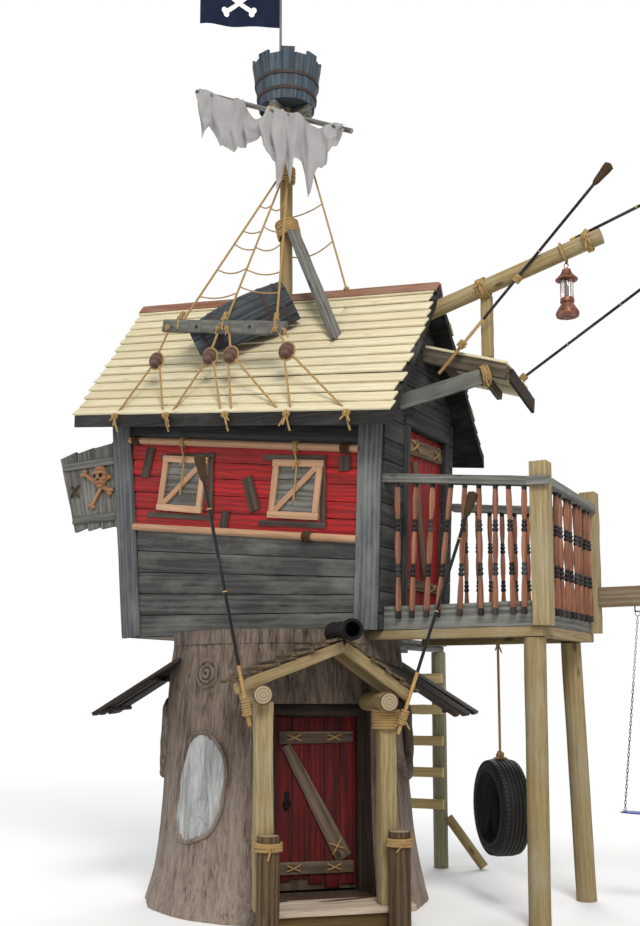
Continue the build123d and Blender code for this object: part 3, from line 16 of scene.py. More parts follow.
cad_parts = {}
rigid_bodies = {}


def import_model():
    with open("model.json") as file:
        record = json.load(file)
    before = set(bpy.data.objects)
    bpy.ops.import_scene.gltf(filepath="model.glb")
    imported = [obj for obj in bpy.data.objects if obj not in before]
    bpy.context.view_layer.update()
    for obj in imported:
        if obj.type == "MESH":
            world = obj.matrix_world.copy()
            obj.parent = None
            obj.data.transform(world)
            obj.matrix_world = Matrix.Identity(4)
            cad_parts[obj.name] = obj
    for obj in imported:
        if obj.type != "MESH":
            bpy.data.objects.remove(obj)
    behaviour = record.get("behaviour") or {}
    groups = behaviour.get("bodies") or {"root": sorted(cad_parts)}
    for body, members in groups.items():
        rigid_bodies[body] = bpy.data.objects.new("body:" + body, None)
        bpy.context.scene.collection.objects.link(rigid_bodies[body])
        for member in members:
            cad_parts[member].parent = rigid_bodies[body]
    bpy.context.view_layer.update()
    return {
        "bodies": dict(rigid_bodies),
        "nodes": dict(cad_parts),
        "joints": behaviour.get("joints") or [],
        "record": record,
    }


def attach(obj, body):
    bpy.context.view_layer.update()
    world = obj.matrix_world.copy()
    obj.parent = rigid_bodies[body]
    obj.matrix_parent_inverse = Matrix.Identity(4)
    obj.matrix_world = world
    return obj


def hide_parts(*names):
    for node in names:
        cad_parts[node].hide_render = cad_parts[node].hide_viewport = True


log = logging.getLogger("tree_house")
Obj = bpy.types.Object
Mesh = bpy.types.Mesh
Face = bpy.types.MeshPolygon
Material = bpy.types.Material
Socket = bpy.types.NodeSocket
Point = Sequence[float]
Colour = tuple[float, float, float]

HOUSE = "house"
PORCH_ANGLE = -45.0
RIGHT, BACK, UP = (1, 0, 0), (0, 1, 0), (0, 0, 1)
EAVE_Z = 3.747
RIDGE_Y = 0.33
HALF_SPAN = 0.9
ROOF_RISE = 1.381
ROOF_DROP = 0.115
ROOF_THICK = 0.106
BARREL_CUT_Z = 4.978


def linear(colour: Colour) -> tuple[float, float, float, float]:
    """Turn a display colour into the linear one that a shader takes.

    Args:
        colour: red, green and blue from 0 to 1, as a screen shows them.

    Returns:
        Linear red, green, blue and a full alpha.
    """
    return tuple(c / 12.92 if c <= 0.04045 else ((c + 0.055) / 1.055) ** 2.4 for c in colour) + (1.0,)


class Coords(Enum):
    """Which coordinates a pattern is laid on."""

    GRAIN = "grain"
    OBJECT = "object"
    SURFACE = "uv"


class Along(Enum):
    """Turn that brings an axis of the object onto the grain."""

    X = (0.0, 0.0, 0.0)
    Y = (0.0, 0.0, -math.pi / 2)
    Z = (0.0, math.pi / 2, 0.0)


class Graph:
    """Short way to write the nodes of a material or a world."""

    def __init__(self, owner: str | bpy.types.ID) -> None:
        """Start a new material, or clear the nodes of one that is there.

        Args:
            owner: the new material's name, or a material or world to start afresh.
        """
        fresh = isinstance(owner, str)
        self.owner = bpy.data.materials.new(owner) if fresh else owner
        self.owner.use_nodes = True
        self.tree = self.owner.node_tree
        if not fresh:
            self.tree.nodes.clear()
        self.shader = self.tree.nodes.get("Principled BSDF")

    def node(self, kind: str, settings: dict | None = None, feeds: dict | None = None) -> bpy.types.Node:
        """Add a node, set its options and feed its sockets.

        Args:
            kind: the node's type without its ShaderNode prefix.
            settings: options by attribute name.
            feeds: values or output sockets by input name or number.

        Returns:
            The new node.
        """
        made = self.tree.nodes.new("ShaderNode" + kind)
        for key, value in (settings or {}).items():
            setattr(made, key, value)
        for key, value in (feeds or {}).items():
            self.feed(made, key, value)
        return made

    def feed(self, node: bpy.types.Node, key: str | int, value: object) -> None:
        """Link an output to an input, or set the input's own value.

        Args:
            node: the node that is fed.
            key: the input's name or number.
            value: an output of another node, or a plain value.
        """
        if isinstance(value, Socket):
            self.tree.links.new(value, node.inputs[key])
        else:
            node.inputs[key].default_value = value

    def coords(self, kind: Coords, along: Along = Along.X) -> Socket:
        """Coordinates with the grain on their first axis.

        Args:
            kind: the board's own grain, the object's place or the surface.
            along: the object's axis that the grain follows.

        Returns:
            A vector socket.
        """
        if kind is Coords.GRAIN:
            return self.node("Attribute", {"attribute_name": "grain"}).outputs["Vector"]
        if kind is Coords.SURFACE:
            return self.node("UVMap").outputs["UV"]
        place = self.node("TexCoord").outputs["Object"]
        return self.node("Mapping", None, {"Vector": place, "Rotation": along.value}).outputs[0]

    def stretch(self, vector: Socket, scale: Point) -> Socket:
        """Scale coordinates, so that a pattern is drawn out along one axis."""
        return self.node("Mapping", None, {"Vector": vector, "Scale": tuple(scale)}).outputs[0]

    def noise(self, vector: Socket, scale: float, detail: float = 6.0, rough: float = 0.6,
              bend: float = 0.0) -> Socket:
        """Fractal noise from 0 to 1."""
        feeds = {"Vector": vector, "Scale": scale, "Detail": detail, "Roughness": rough, "Distortion": bend}
        return self.node("TexNoise", None, feeds).outputs["Fac"]

    def rings(self, vector: Socket, scale: float, bend: float) -> Socket:
        """Growth rings around the grain's axis, bent out of round.

        Args:
            vector: where the rings are read.
            scale: rings per metre.
            bend: how far noise bends them.

        Returns:
            A value socket.
        """
        settings = {"wave_type": "RINGS", "rings_direction": "X"}
        feeds = {"Vector": vector, "Scale": scale, "Distortion": bend, "Detail": 3.0, "Detail Scale": 1.4}
        return self.node("TexWave", settings, feeds).outputs["Fac"]

    def maths(self, operation: str, first: object, second: object = 0.0, clamp: bool = False) -> Socket:
        """One sum on two values."""
        return self.node("Math", {"operation": operation, "use_clamp": clamp}, {0: first, 1: second}).outputs[0]

    def spread(self, value: object, low: float, high: float, to_low: float = 0.0,
               to_high: float = 1.0) -> Socket:
        """Spread one range of a value over another, cut off at its ends."""
        feeds = {0: value, 1: low, 2: high, 3: to_low, 4: to_high}
        return self.node("MapRange", {"clamp": True}, feeds).outputs[0]

    def mix(self, share: object, first: object, second: object) -> Socket:
        """Mix two colours.

        Args:
            share: how much of the second colour shows.
            first: a colour socket or a display colour.
            second: the same for the other colour.

        Returns:
            A colour socket.
        """
        first, second = (linear(colour) if isinstance(colour, tuple) else colour for colour in (first, second))
        return self.node("Mix", {"data_type": "RGBA"}, {0: share, 6: first, 7: second}).outputs[2]

    def stored(self, name: str) -> Socket:
        """Value that the mesh keeps under a name."""
        return self.node("Attribute", {"attribute_name": name}).outputs["Fac"]

    def total(self, first: Socket, first_share: float, second: Socket, second_share: float) -> Socket:
        """Add two values, each by its share."""
        products = self.maths("MULTIPLY", first, first_share), self.maths("MULTIPLY", second, second_share)
        return self.maths("ADD", *products)

    def bump(self, height: Socket, strength: float, distance: float) -> None:
        """Feed the shader's normal from a height."""
        feeds = {"Height": height, "Strength": strength, "Distance": distance}
        self.feed(self.shader, "Normal", self.node("Bump", None, feeds).outputs[0])

    def finish(self, colour: object, rough: object, metal: float = 0.0, specular: float = 0.4) -> Material:
        """Feed the shader's main sockets and hand over the material.

        Args:
            colour: its base colour, or the output that gives it.
            rough: its roughness, or the output that gives it.
            metal: how metallic it is.
            specular: how strong its plain shine is.

        Returns:
            The material, or whatever owns the nodes.
        """
        for key, value in (("Base Color", colour), ("Roughness", rough), ("Metallic", metal),
                           ("Specular IOR Level", specular)):
            self.feed(self.shader, key, value)
        return self.owner


@dataclass(frozen=True)
class WoodFinish:
    """Sawn, peeled or stained wood, with grain, knots, streaks and weather."""

    name: str
    light: Colour
    dark: Colour
    weather: Colour = (0.45, 0.45, 0.43)
    weathered: float = 0.25
    streak: Colour = (0.10, 0.08, 0.07)
    streaked: float = 0.3
    knots: float = 0.6
    rough: float = 0.75
    relief: float = 0.5
    coords: Coords = Coords.GRAIN
    along: Along = Along.X
    ring_scale: float = 9.0
    ring_share: float = 0.3
    end_light: Colour = (0.62, 0.56, 0.46)
    end_dark: Colour = (0.50, 0.43, 0.33)
    end_rim: Colour = (0.20, 0.15, 0.11)

    def end_grain(self, g: Graph, colour: Socket) -> Socket:
        """Lay growth circles over the sawn ends of a log.

        Args:
            g: the material's graph.
            colour: the colour of the log's side.

        Returns:
            A colour socket for side and ends.
        """
        share = g.stored("radial")
        bent = g.maths("MULTIPLY", g.noise(g.coords(self.coords), 14.0, 3.0), 0.09)
        circles = g.maths("SINE", g.maths("MULTIPLY", g.maths("ADD", share, bent), 21.0))
        sawn = g.mix(g.spread(circles, -0.8, 0.8), self.end_light, self.end_dark)
        sawn = g.mix(g.spread(share, 0.84, 0.92, 0.0, 0.9), sawn, self.end_rim)
        return g.mix(g.stored("end_grain"), colour, sawn)

    def material(self) -> Material:
        """Build the wood's nodes.

        Returns:
            The finished material.
        """
        g = Graph(self.name)
        place = g.coords(self.coords, self.along)
        fibre = g.noise(g.stretch(place, (1.2, 26.0, 26.0)), 4.0, 8.0, 0.65)
        rings = g.rings(g.stretch(place, (0.10, 1.0, 1.0)), self.ring_scale, 5.0)
        grain = g.total(fibre, 1.0 - self.ring_share, rings, self.ring_share)
        patches = g.noise(g.stretch(place, (0.8, 2.0, 2.0)), 2.2, 4.0)
        colour = g.mix(g.spread(grain, 0.28, 0.72), self.light, self.dark)
        colour = g.mix(g.spread(g.stored("tone"), 0.0, 1.0, 0.0, 0.5), colour, self.dark)
        colour = g.mix(g.spread(patches, 0.48, 0.75, 0.0, self.weathered), colour, self.weather)
        knot_place = g.stretch(place, (2.2, 5.5, 5.5))
        knot = g.node("TexVoronoi", None, {"Vector": knot_place, "Scale": 1.0}).outputs["Distance"]
        knot = g.spread(knot, 0.05, 0.13, self.knots, 0.0)
        colour = g.mix(knot, colour, self.streak)
        streaks = g.noise(g.stretch(place, (0.5, 12.0, 12.0)), 3.0, 6.0, 0.7)
        streaks = g.spread(streaks, 0.56, 0.74, 0.0, self.streaked)
        colour = self.end_grain(g, g.mix(streaks, colour, self.streak))
        g.bump(g.maths("SUBTRACT", grain, g.maths("MULTIPLY", knot, 0.4)), self.relief, 0.004)
        rough = g.spread(fibre, 0.3, 0.7, self.rough - 0.12, self.rough + 0.1)
        return g.finish(colour, rough, 0.0, 0.25)


@dataclass(frozen=True)
class BarkFinish:
    """Fibrous carved bark, pale and dusty towards the roots."""

    name: str = "bark"
    ridge: Colour = (0.50, 0.44, 0.39)
    hollow: Colour = (0.17, 0.135, 0.115)
    dust: Colour = (0.64, 0.58, 0.53)
    grey: Colour = (0.36, 0.36, 0.35)
    dust_height: float = 1.3

    def material(self) -> Material:
        """Build the bark's nodes.

        Returns:
            The material.
        """
        g = Graph(self.name)
        place = g.coords(Coords.OBJECT)
        fibre = g.noise(g.stretch(place, (24.0, 24.0, 2.2)), 2.6, 10.0, 0.75, 0.8)
        coarse = g.noise(g.stretch(place, (6.0, 6.0, 1.0)), 1.6, 6.0, 0.6, 1.0)
        patches = g.noise(place, 2.1, 5.0)
        both = g.total(fibre, 0.62, coarse, 0.38)
        colour = g.mix(g.spread(both, 0.38, 0.58), self.hollow, self.ridge)
        height = g.node("SeparateXYZ", None, {"Vector": place}).outputs["Z"]
        low = g.maths("ADD", height, g.maths("MULTIPLY", patches, -1.1))
        low = g.spread(low, -0.5, self.dust_height - 0.5, 0.75, 0.0)
        dusty = g.maths("MULTIPLY", low, g.spread(both, 0.38, 0.56, 0.25, 1.0))
        colour = g.mix(dusty, colour, self.dust)
        colour = g.mix(g.spread(patches, 0.55, 0.8, 0.0, 0.35), colour, self.grey)
        g.bump(both, 0.9, 0.02)
        return g.finish(colour, g.spread(both, 0.3, 0.7, 0.95, 0.8), 0.0, 0.2)


@dataclass(frozen=True)
class StoneGreyFinish:
    """Smooth bare grey wood of the scar, streaked downwards."""

    name: str = "bare_scar_wood"
    light: Colour = (0.70, 0.70, 0.69)
    dark: Colour = (0.47, 0.475, 0.47)
    crease: Colour = (0.27, 0.26, 0.25)

    def material(self) -> Material:
        """Build the nodes of the bare patch.

        Returns:
            The material.
        """
        g = Graph(self.name)
        place = g.coords(Coords.OBJECT)
        run = g.noise(g.stretch(place, (7.0, 7.0, 1.0)), 2.4, 8.0, 0.6, 0.8)
        crack = g.noise(g.stretch(place, (7.0, 7.0, 2.2)), 1.0, 2.0, 0.5, 1.0)
        crease = g.maths("ABSOLUTE", g.maths("SUBTRACT", crack, 0.5))
        colour = g.mix(g.spread(run, 0.35, 0.65), self.dark, self.light)
        colour = g.mix(g.spread(crease, 0.0, 0.012, 0.4, 0.0), colour, self.crease)
        g.bump(g.maths("ADD", run, g.spread(crease, 0.0, 0.03)), 0.4, 0.006)
        return g.finish(colour, 0.8, 0.0, 0.2)


@dataclass(frozen=True)
class RopeFinish:
    """Laid natural rope."""

    name: str
    light: Colour = (0.74, 0.62, 0.42)
    dark: Colour = (0.42, 0.31, 0.18)
    scale: float = 90.0

    def material(self) -> Material:
        """Build the rope's nodes.

        Returns:
            The material.
        """
        g = Graph(self.name)
        place = g.coords(Coords.OBJECT)
        settings = {"wave_type": "BANDS", "bands_direction": "DIAGONAL"}
        lay = g.node("TexWave", settings, {"Vector": place, "Scale": self.scale / 2, "Distortion": 1.5}).outputs["Fac"]
        fluff = g.noise(place, 140.0, 4.0)
        both = g.total(lay, 0.7, fluff, 0.3)
        colour = g.mix(both, self.dark, self.light)
        g.bump(both, 0.6, 0.003)
        return g.finish(colour, 0.9, 0.0, 0.15)


@dataclass(frozen=True)
class MetalFinish:
    """Metal with tarnish, dents and worn places."""

    name: str
    base: Colour
    tarnish: Colour
    metal: float = 1.0
    rough: float = 0.4
    scale: float = 14.0
    share: float = 0.6

    def material(self) -> Material:
        """Build the metal's nodes.

        Returns:
            The material.
        """
        g = Graph(self.name)
        place = g.coords(Coords.OBJECT)
        cloud = g.noise(place, self.scale, 8.0, 0.65)
        fine = g.noise(place, self.scale * 9, 4.0)
        colour = g.mix(g.spread(cloud, 0.42, 0.66, 0.0, self.share), self.base, self.tarnish)
        g.bump(g.maths("ADD", cloud, g.maths("MULTIPLY", fine, 0.3)), 0.25, 0.003)
        return g.finish(colour, g.spread(cloud, 0.35, 0.7, self.rough, self.rough + 0.3), self.metal, 0.5)


@dataclass(frozen=True)
class RubberFinish:
    """Moulded rubber or plastic with dust in its grain."""

    name: str
    base: Colour
    dust: Colour
    rough: float = 0.6

    def material(self) -> Material:
        """Build the rubber's nodes.

        Returns:
            The material.
        """
        g = Graph(self.name)
        place = g.coords(Coords.OBJECT)
        cloud = g.noise(place, 6.0, 6.0)
        grain = g.noise(place, 220.0, 2.0)
        colour = g.mix(g.spread(cloud, 0.45, 0.75, 0.0, 0.45), self.base, self.dust)
        g.bump(grain, 0.15, 0.001)
        return g.finish(colour, g.spread(cloud, 0.3, 0.7, self.rough, self.rough + 0.15), 0.0, 0.4)


@dataclass(frozen=True)
class GlassFinish:
    """Clear lamp glass, slightly smoky."""

    name: str = "lamp_glass"

    def material(self) -> Material:
        """Build the glass.

        Returns:
            The material.
        """
        g = Graph(self.name)
        g.feed(g.shader, "Transmission Weight", 0.9)
        g.feed(g.shader, "IOR", 1.45)
        cloud = g.noise(g.coords(Coords.OBJECT), 20.0, 3.0)
        return g.finish((0.62, 0.66, 0.64, 1.0), g.spread(cloud, 0.3, 0.7, 0.04, 0.16), 0.0, 0.5)


@dataclass(frozen=True)
class CanvasFinish:
    """Woven cloth, stained and faded."""

    name: str
    base: Colour
    stain: Colour
    weave: float = 420.0
    stained: float = 0.4

    def cloth(self, g: Graph) -> tuple[Socket, Socket]:
        """Colour and height of the cloth.

        Args:
            g: the material's graph.

        Returns:
            A colour socket and a height socket.
        """
        surface = g.coords(Coords.SURFACE)
        warp = g.node("TexWave", {"bands_direction": "X"}, {"Vector": surface, "Scale": self.weave}).outputs["Fac"]
        weft = g.node("TexWave", {"bands_direction": "Y"}, {"Vector": surface, "Scale": self.weave}).outputs["Fac"]
        cloud = g.noise(g.coords(Coords.OBJECT), 3.2, 8.0, 0.65)
        colour = g.mix(g.spread(cloud, 0.45, 0.72, 0.0, self.stained), self.base, self.stain)
        return colour, g.maths("ADD", warp, weft)

    def material(self) -> Material:
        """Build the cloth's nodes.

        Returns:
            The material.
        """
        g = Graph(self.name)
        colour, height = self.cloth(g)
        g.bump(height, 0.15, 0.001)
        g.feed(g.shader, "Sheen Weight", 0.2)
        return g.finish(colour, 0.95, 0.0, 0.1)


@dataclass(frozen=True)
class FlagFinish(CanvasFinish):
    """Cloth with a plain white skull over crossed bones."""

    size: tuple[float, float] = (0.9, 0.6)
    mark: Colour = (0.90, 0.90, 0.87)
    eyes: tuple = ((-0.065, 0.10, 0.045), (0.065, 0.10, 0.045), (0.0, 0.03, 0.022))

    def material(self) -> Material:
        """Build the flag's nodes, the emblem worked out from the cloth's own coordinates.

        Returns:
            The material.
        """
        g = Graph(self.name)
        colour, height = self.cloth(g)
        wide, unit = self.size
        feeds = {"Vector": g.coords(Coords.SURFACE), "Location": (-wide / 2, -unit / 2, 0.0),
                 "Scale": (wide, unit, 1.0)}
        centred = g.node("Mapping", None, feeds).outputs[0]
        parts = [self.disc(g, centred, 0.0, 0.10 * unit, 0.17 * unit),
                 self.disc(g, centred, 0.0, -0.03 * unit, 0.10 * unit)]
        for turn in (-1, 1):
            angle = turn * math.radians(32)
            c, s = math.cos(angle), math.sin(angle)
            parts.append(self.bar(g, centred, angle, 0.30 * unit, 0.035 * unit, -0.10 * unit))
            for end in (-1, 1):
                for side in (-1, 1):
                    x = end * 0.31 * unit * c - side * 0.035 * unit * s
                    y = end * 0.31 * unit * s + side * 0.035 * unit * c - 0.10 * unit
                    parts.append(self.disc(g, centred, x, y, 0.05 * unit))
        mark = parts[0]
        for part in parts[1:]:
            mark = g.maths("MAXIMUM", mark, part)
        for x, y, r in self.eyes:
            mark = g.maths("SUBTRACT", mark, self.disc(g, centred, x * unit, y * unit, r * unit), True)
        g.bump(height, 0.12, 0.001)
        return g.finish(g.mix(mark, colour, self.mark), 0.9, 0.0, 0.15)

    @staticmethod
    def disc(g: Graph, vector: Socket, x: float, y: float, radius: float) -> Socket:
        """One inside a circle, nought outside it.

        Args:
            g: the material's graph.
            vector: where it is read.
            x: the disc's middle across.
            y: the disc's middle up.
            radius: its radius.

        Returns:
            A socket that is 1 inside the disc.
        """
        feeds = {0: vector, 1: (x, y, 0.0)}
        away = g.node("VectorMath", {"operation": "DISTANCE"}, feeds).outputs["Value"]
        return g.spread(away, radius, radius * 1.04, 1.0, 0.0)

    @staticmethod
    def bar(g: Graph, vector: Socket, angle: float, half: float, thick: float,
            drop: float) -> Socket:
        """One inside a slanting bar, nought outside it.

        Args:
            g: the material's graph.
            vector: where it is read.
            angle: the bar's turn.
            half: half its length.
            thick: half its thickness.
            drop: how far it lies under the middle.

        Returns:
            A socket that is 1 inside the bar.
        """
        moved = g.node("Mapping", {"vector_type": "TEXTURE"},
                       {"Vector": vector, "Location": (0.0, drop, 0.0), "Rotation": (0.0, 0.0, angle)}).outputs[0]
        split = g.node("SeparateXYZ", None, {"Vector": moved})
        long = g.spread(g.maths("ABSOLUTE", split.outputs["X"]), half, half * 1.01, 1.0, 0.0)
        wide = g.spread(g.maths("ABSOLUTE", split.outputs["Y"]), thick, thick * 1.08, 1.0, 0.0)
        return g.maths("MULTIPLY", long, wide)


@dataclass
class Finishes:
    """Every finish of the tree house, made once."""

    made: dict[str, Material] = field(default_factory=dict)

    def build(self) -> "Finishes":
        """Make all the materials.

        Returns:
            This set of finishes.
        """
        grey = dict(weather=(0.52, 0.53, 0.50), weathered=0.45, streak=(0.07, 0.07, 0.07), streaked=0.45)
        tan = dict(streak=(0.28, 0.19, 0.10), weather=(0.60, 0.57, 0.48))
        woods = [
            WoodFinish("grey_wall_boards", (0.345, 0.34, 0.32), (0.18, 0.177, 0.17), **grey),
            # painted shade: darker boards for the rows under the eave and for the right end wall, which lie in shade
            WoodFinish("dark_wall_boards", (0.24, 0.24, 0.235), (0.11, 0.11, 0.11), weathered=0.25, streaked=0.5),
            WoodFinish("corner_board_wood", (0.41, 0.42, 0.42), (0.23, 0.24, 0.245), **grey),
            WoodFinish("red_band_boards", (0.66, 0.10, 0.10), (0.41, 0.05, 0.055), (0.40, 0.16, 0.15), 0.45,
                       (0.13, 0.04, 0.04), 0.6, 0.4, 0.65, 0.35),
            WoodFinish("red_door_planks", (0.47, 0.07, 0.065), (0.22, 0.03, 0.03), (0.09, 0.05, 0.05), 0.75,
                       (0.04, 0.03, 0.03), 1.0, 0.5, 0.7, 0.5),
            WoodFinish("pale_roof_boards", (0.88, 0.86, 0.76), (0.74, 0.68, 0.53), (0.70, 0.67, 0.57), 0.3,
                       (0.58, 0.49, 0.33), 0.2, 0.35, 0.8, 0.25, ring_share=0.15),
            WoodFinish("rusty_ridge_boards", (0.58, 0.40, 0.31), (0.42, 0.27, 0.20), (0.60, 0.52, 0.46), 0.6,
                       (0.22, 0.12, 0.08), 0.3),
            WoodFinish("peach_frame_wood", (0.76, 0.61, 0.49), (0.57, 0.42, 0.31), (0.60, 0.53, 0.46), 0.3,
                       (0.34, 0.22, 0.15), 0.3, 0.5, 0.75, 0.3, ring_share=0.15),
            WoodFinish("golden_timber", (0.65, 0.585, 0.43), (0.45, 0.375, 0.25), weathered=0.6, streaked=0.7,
                       knots=0.8, ring_share=0.12, relief=0.35, **tan),
            WoodFinish("peeled_log_wood", (0.66, 0.59, 0.43), (0.46, 0.39, 0.25), weathered=0.6, streaked=0.6,
                       knots=0.8, ring_share=0.12, relief=0.35, **tan),
            WoodFinish("grey_green_post_wood", (0.60, 0.58, 0.47), (0.41, 0.39, 0.30), (0.48, 0.49, 0.43), 0.5,
                       (0.15, 0.14, 0.09), 0.5, ring_share=0.12),
            WoodFinish("pale_rung_wood", (0.84, 0.77, 0.56), (0.66, 0.57, 0.37), knots=0.3, ring_share=0.15, **tan),
            WoodFinish("pale_step_boards", (0.82, 0.76, 0.69), (0.62, 0.55, 0.48), (0.50, 0.45, 0.40), 0.5,
                       (0.28, 0.23, 0.19), 0.35, 0.4, 0.85, 0.4, ring_share=0.15),
            WoodFinish("brown_step_box", (0.46, 0.37, 0.22), (0.29, 0.22, 0.12), (0.22, 0.17, 0.12), 0.6,
                       (0.10, 0.07, 0.05), 0.5, 0.5, 0.85, 0.4, ring_share=0.15),
            WoodFinish("olive_ledge_wood", (0.50, 0.43, 0.35), (0.28, 0.235, 0.19), (0.15, 0.13, 0.11), 0.6,
                       (0.07, 0.055, 0.045), 0.6, 0.8, 0.85, 0.6),
            WoodFinish("dark_patch_wood", (0.31, 0.255, 0.205), (0.16, 0.13, 0.10), weathered=0.3, streaked=0.6),
            WoodFinish("grey_rail_wood", (0.50, 0.50, 0.47), (0.28, 0.275, 0.26), **grey),
            WoodFinish("turned_spindle_wood", (0.63, 0.44, 0.34), (0.44, 0.27, 0.195), (0.20, 0.13, 0.11), 0.5,
                       (0.08, 0.05, 0.04), 0.6, 0.2, 0.5, 0.2),
            WoodFinish("burnt_spindle_wood", (0.16, 0.11, 0.09), (0.06, 0.045, 0.04), rough=0.5, relief=0.2),
            WoodFinish("dark_rough_wood", (0.24, 0.19, 0.155), (0.10, 0.08, 0.065), (0.33, 0.30, 0.27), 0.35,
                       (0.03, 0.03, 0.03), 0.5, 0.6, 0.85, 0.7),
            WoodFinish("porch_roof_wood", (0.44, 0.38, 0.29), (0.23, 0.185, 0.135), (0.18, 0.16, 0.14), 0.55,
                       (0.09, 0.07, 0.055), 0.65, 0.6, 0.85, 0.6),
            WoodFinish("slate_blue_staves", (0.30, 0.35, 0.39), (0.15, 0.18, 0.21), (0.40, 0.44, 0.46), 0.35,
                       (0.06, 0.07, 0.08), 0.55),
            WoodFinish("barrel_staves", (0.26, 0.285, 0.30), (0.12, 0.13, 0.14), (0.38, 0.40, 0.40), 0.35,
                       (0.04, 0.04, 0.04), 0.6),
            WoodFinish("dark_ball_wood", (0.44, 0.34, 0.285), (0.24, 0.175, 0.145), (0.24, 0.20, 0.18), 0.5,
                       (0.06, 0.05, 0.045), 0.6, 0.3, 0.8, 0.4),
            WoodFinish("grey_spar_wood", (0.46, 0.45, 0.42), (0.25, 0.245, 0.23), **grey),
            WoodFinish("dark_bark_logs", (0.44, 0.35, 0.23), (0.19, 0.15, 0.11), (0.30, 0.25, 0.20), 0.4,
                       (0.04, 0.03, 0.03), 0.85, 0.7, 0.8, 0.8),
            WoodFinish("bone_wood", (0.72, 0.54, 0.38), (0.46, 0.30, 0.19), (0.30, 0.20, 0.14), 0.6, knots=0.2,
                       relief=0.2),
            WoodFinish("bamboo_pole", (0.74, 0.61, 0.38), (0.55, 0.41, 0.22), knots=0.2, rough=0.5, relief=0.2),
            WoodFinish("black_pole", (0.10, 0.09, 0.085), (0.035, 0.03, 0.03), knots=0.0, rough=0.45, relief=0.2),
            WoodFinish("inner_trunk_wood", (0.33, 0.26, 0.20), (0.17, 0.13, 0.10), coords=Coords.OBJECT, along=Along.Z),
            WoodFinish("swing_beam_wood", (0.62, 0.56, 0.46), (0.42, 0.36, 0.28), weathered=0.4, streaked=0.5),
            WoodFinish("plain_boards_x", (0.62, 0.56, 0.46), (0.42, 0.36, 0.28), coords=Coords.OBJECT, along=Along.X),
            WoodFinish("weathered_brown_timber", (0.45, 0.39, 0.32), (0.25, 0.21, 0.17), weathered=0.4, streaked=0.5),
            # painted shade: near-black finish for the roof slabs, whose edge and underside lie in shade under the eave
            WoodFinish("dark_roof_underside", (0.13, 0.12, 0.11), (0.06, 0.055, 0.05), coords=Coords.OBJECT),
            WoodFinish("dark_boards_x", (0.22, 0.20, 0.18), (0.10, 0.09, 0.085), coords=Coords.OBJECT, along=Along.X),
            WoodFinish("upright_mast_wood", (0.62, 0.54, 0.38), (0.42, 0.34, 0.20), coords=Coords.OBJECT,
                       along=Along.Z, ring_share=0.15, **tan),
        ]
        others = [
            BarkFinish(),
            StoneGreyFinish(),
            RopeFinish("straw_rope"),
            RopeFinish("dark_fibre_wrap", (0.36, 0.28, 0.20), (0.09, 0.07, 0.06), 60.0),
            MetalFinish("black_iron", (0.06, 0.06, 0.065), (0.14, 0.11, 0.10), 0.8, 0.45),
            MetalFinish("aged_copper", (0.52, 0.34, 0.27), (0.22, 0.14, 0.115), 0.75, 0.45, 24.0, 0.8),
            MetalFinish("blue_coated_chain", (0.045, 0.06, 0.15), (0.07, 0.08, 0.14), 0.1, 0.5, 30.0, 0.2),
            MetalFinish("bright_chain", (0.62, 0.63, 0.64), (0.36, 0.30, 0.26), 1.0, 0.35, 30.0, 0.3),
            MetalFinish("rusty_hoop", (0.20, 0.19, 0.19), (0.34, 0.19, 0.13), 0.5, 0.6, 18.0, 0.5),
            RubberFinish("tyre_rubber_finish", (0.035, 0.035, 0.037), (0.16, 0.15, 0.14)),
            RubberFinish("blue_belt", (0.05, 0.18, 0.55), (0.14, 0.26, 0.55), 0.45),
            GlassFinish(),
            CanvasFinish("torn_sailcloth", (0.58, 0.57, 0.565), (0.36, 0.345, 0.34)),
            FlagFinish("navy_flag_cloth", (0.07, 0.09, 0.17), (0.14, 0.16, 0.24), stained=0.5),
        ]
        for finish in woods + others:
            self.made[finish.name] = finish.material()
        return self

    def __getitem__(self, name: str) -> Material:
        """The material of that name."""
        return self.made[name]


def pick(*objects: Obj) -> None:
    """Select only these objects, the first of them active.

    Args:
        *objects: the objects.
    """
    bpy.ops.object.select_all(action="DESELECT")
    for piece in objects:
        piece.select_set(True)
    bpy.context.view_layer.objects.active = objects[0]


def add(operator: Callable, **settings: object) -> Obj:
    """Run an operator that adds a shape, with nothing else selected.

    Args:
        operator: the operator.
        settings: its own settings.

    Returns:
        The new object.
    """
    bpy.ops.object.select_all(action="DESELECT")
    operator(**settings)
    return bpy.context.object


def finish_modifier(obj: Obj, name: str, kind: str, settings: dict) -> None:
    """Add a modifier and apply it at once.

    Args:
        obj: the object.
        name: the modifier's name.
        kind: its type.
        settings: its options by attribute name.
    """
    modifier = obj.modifiers.new(name, kind)
    for key, value in settings.items():
        setattr(modifier, key, value)
    pick(obj)
    bpy.ops.object.modifier_apply(modifier=modifier.name)


def select_faces(obj: Obj, rule: Callable[[Face], bool]) -> None:
    """Select the faces that a rule picks, while in edit mode.

    Args:
        obj: the object.
        rule: says whether a face is picked.
    """
    bpy.ops.mesh.select_all(action="DESELECT")
    bpy.ops.object.mode_set(mode="OBJECT")
    for face in obj.data.polygons:
        face.select = rule(face)
    bpy.ops.object.mode_set(mode="EDIT")


def shape(obj: Obj, work: Callable[[], None]) -> None:
    """Do some work on an object in edit mode, with all of it selected.

    Args:
        obj: the object.
        work: calls of mesh operators.
    """
    pick(obj)
    bpy.ops.object.mode_set(mode="EDIT")
    bpy.ops.mesh.select_all(action="SELECT")
    work()
    bpy.ops.object.mode_set(mode="OBJECT")


def settle(obj: Obj) -> Obj:
    """Put an object's place, turn and scale into its mesh.

    Args:
        obj: the object.

    Returns:
        The same object.
    """
    pick(obj)
    bpy.ops.object.transform_apply(location=True, rotation=True, scale=True)
    return obj


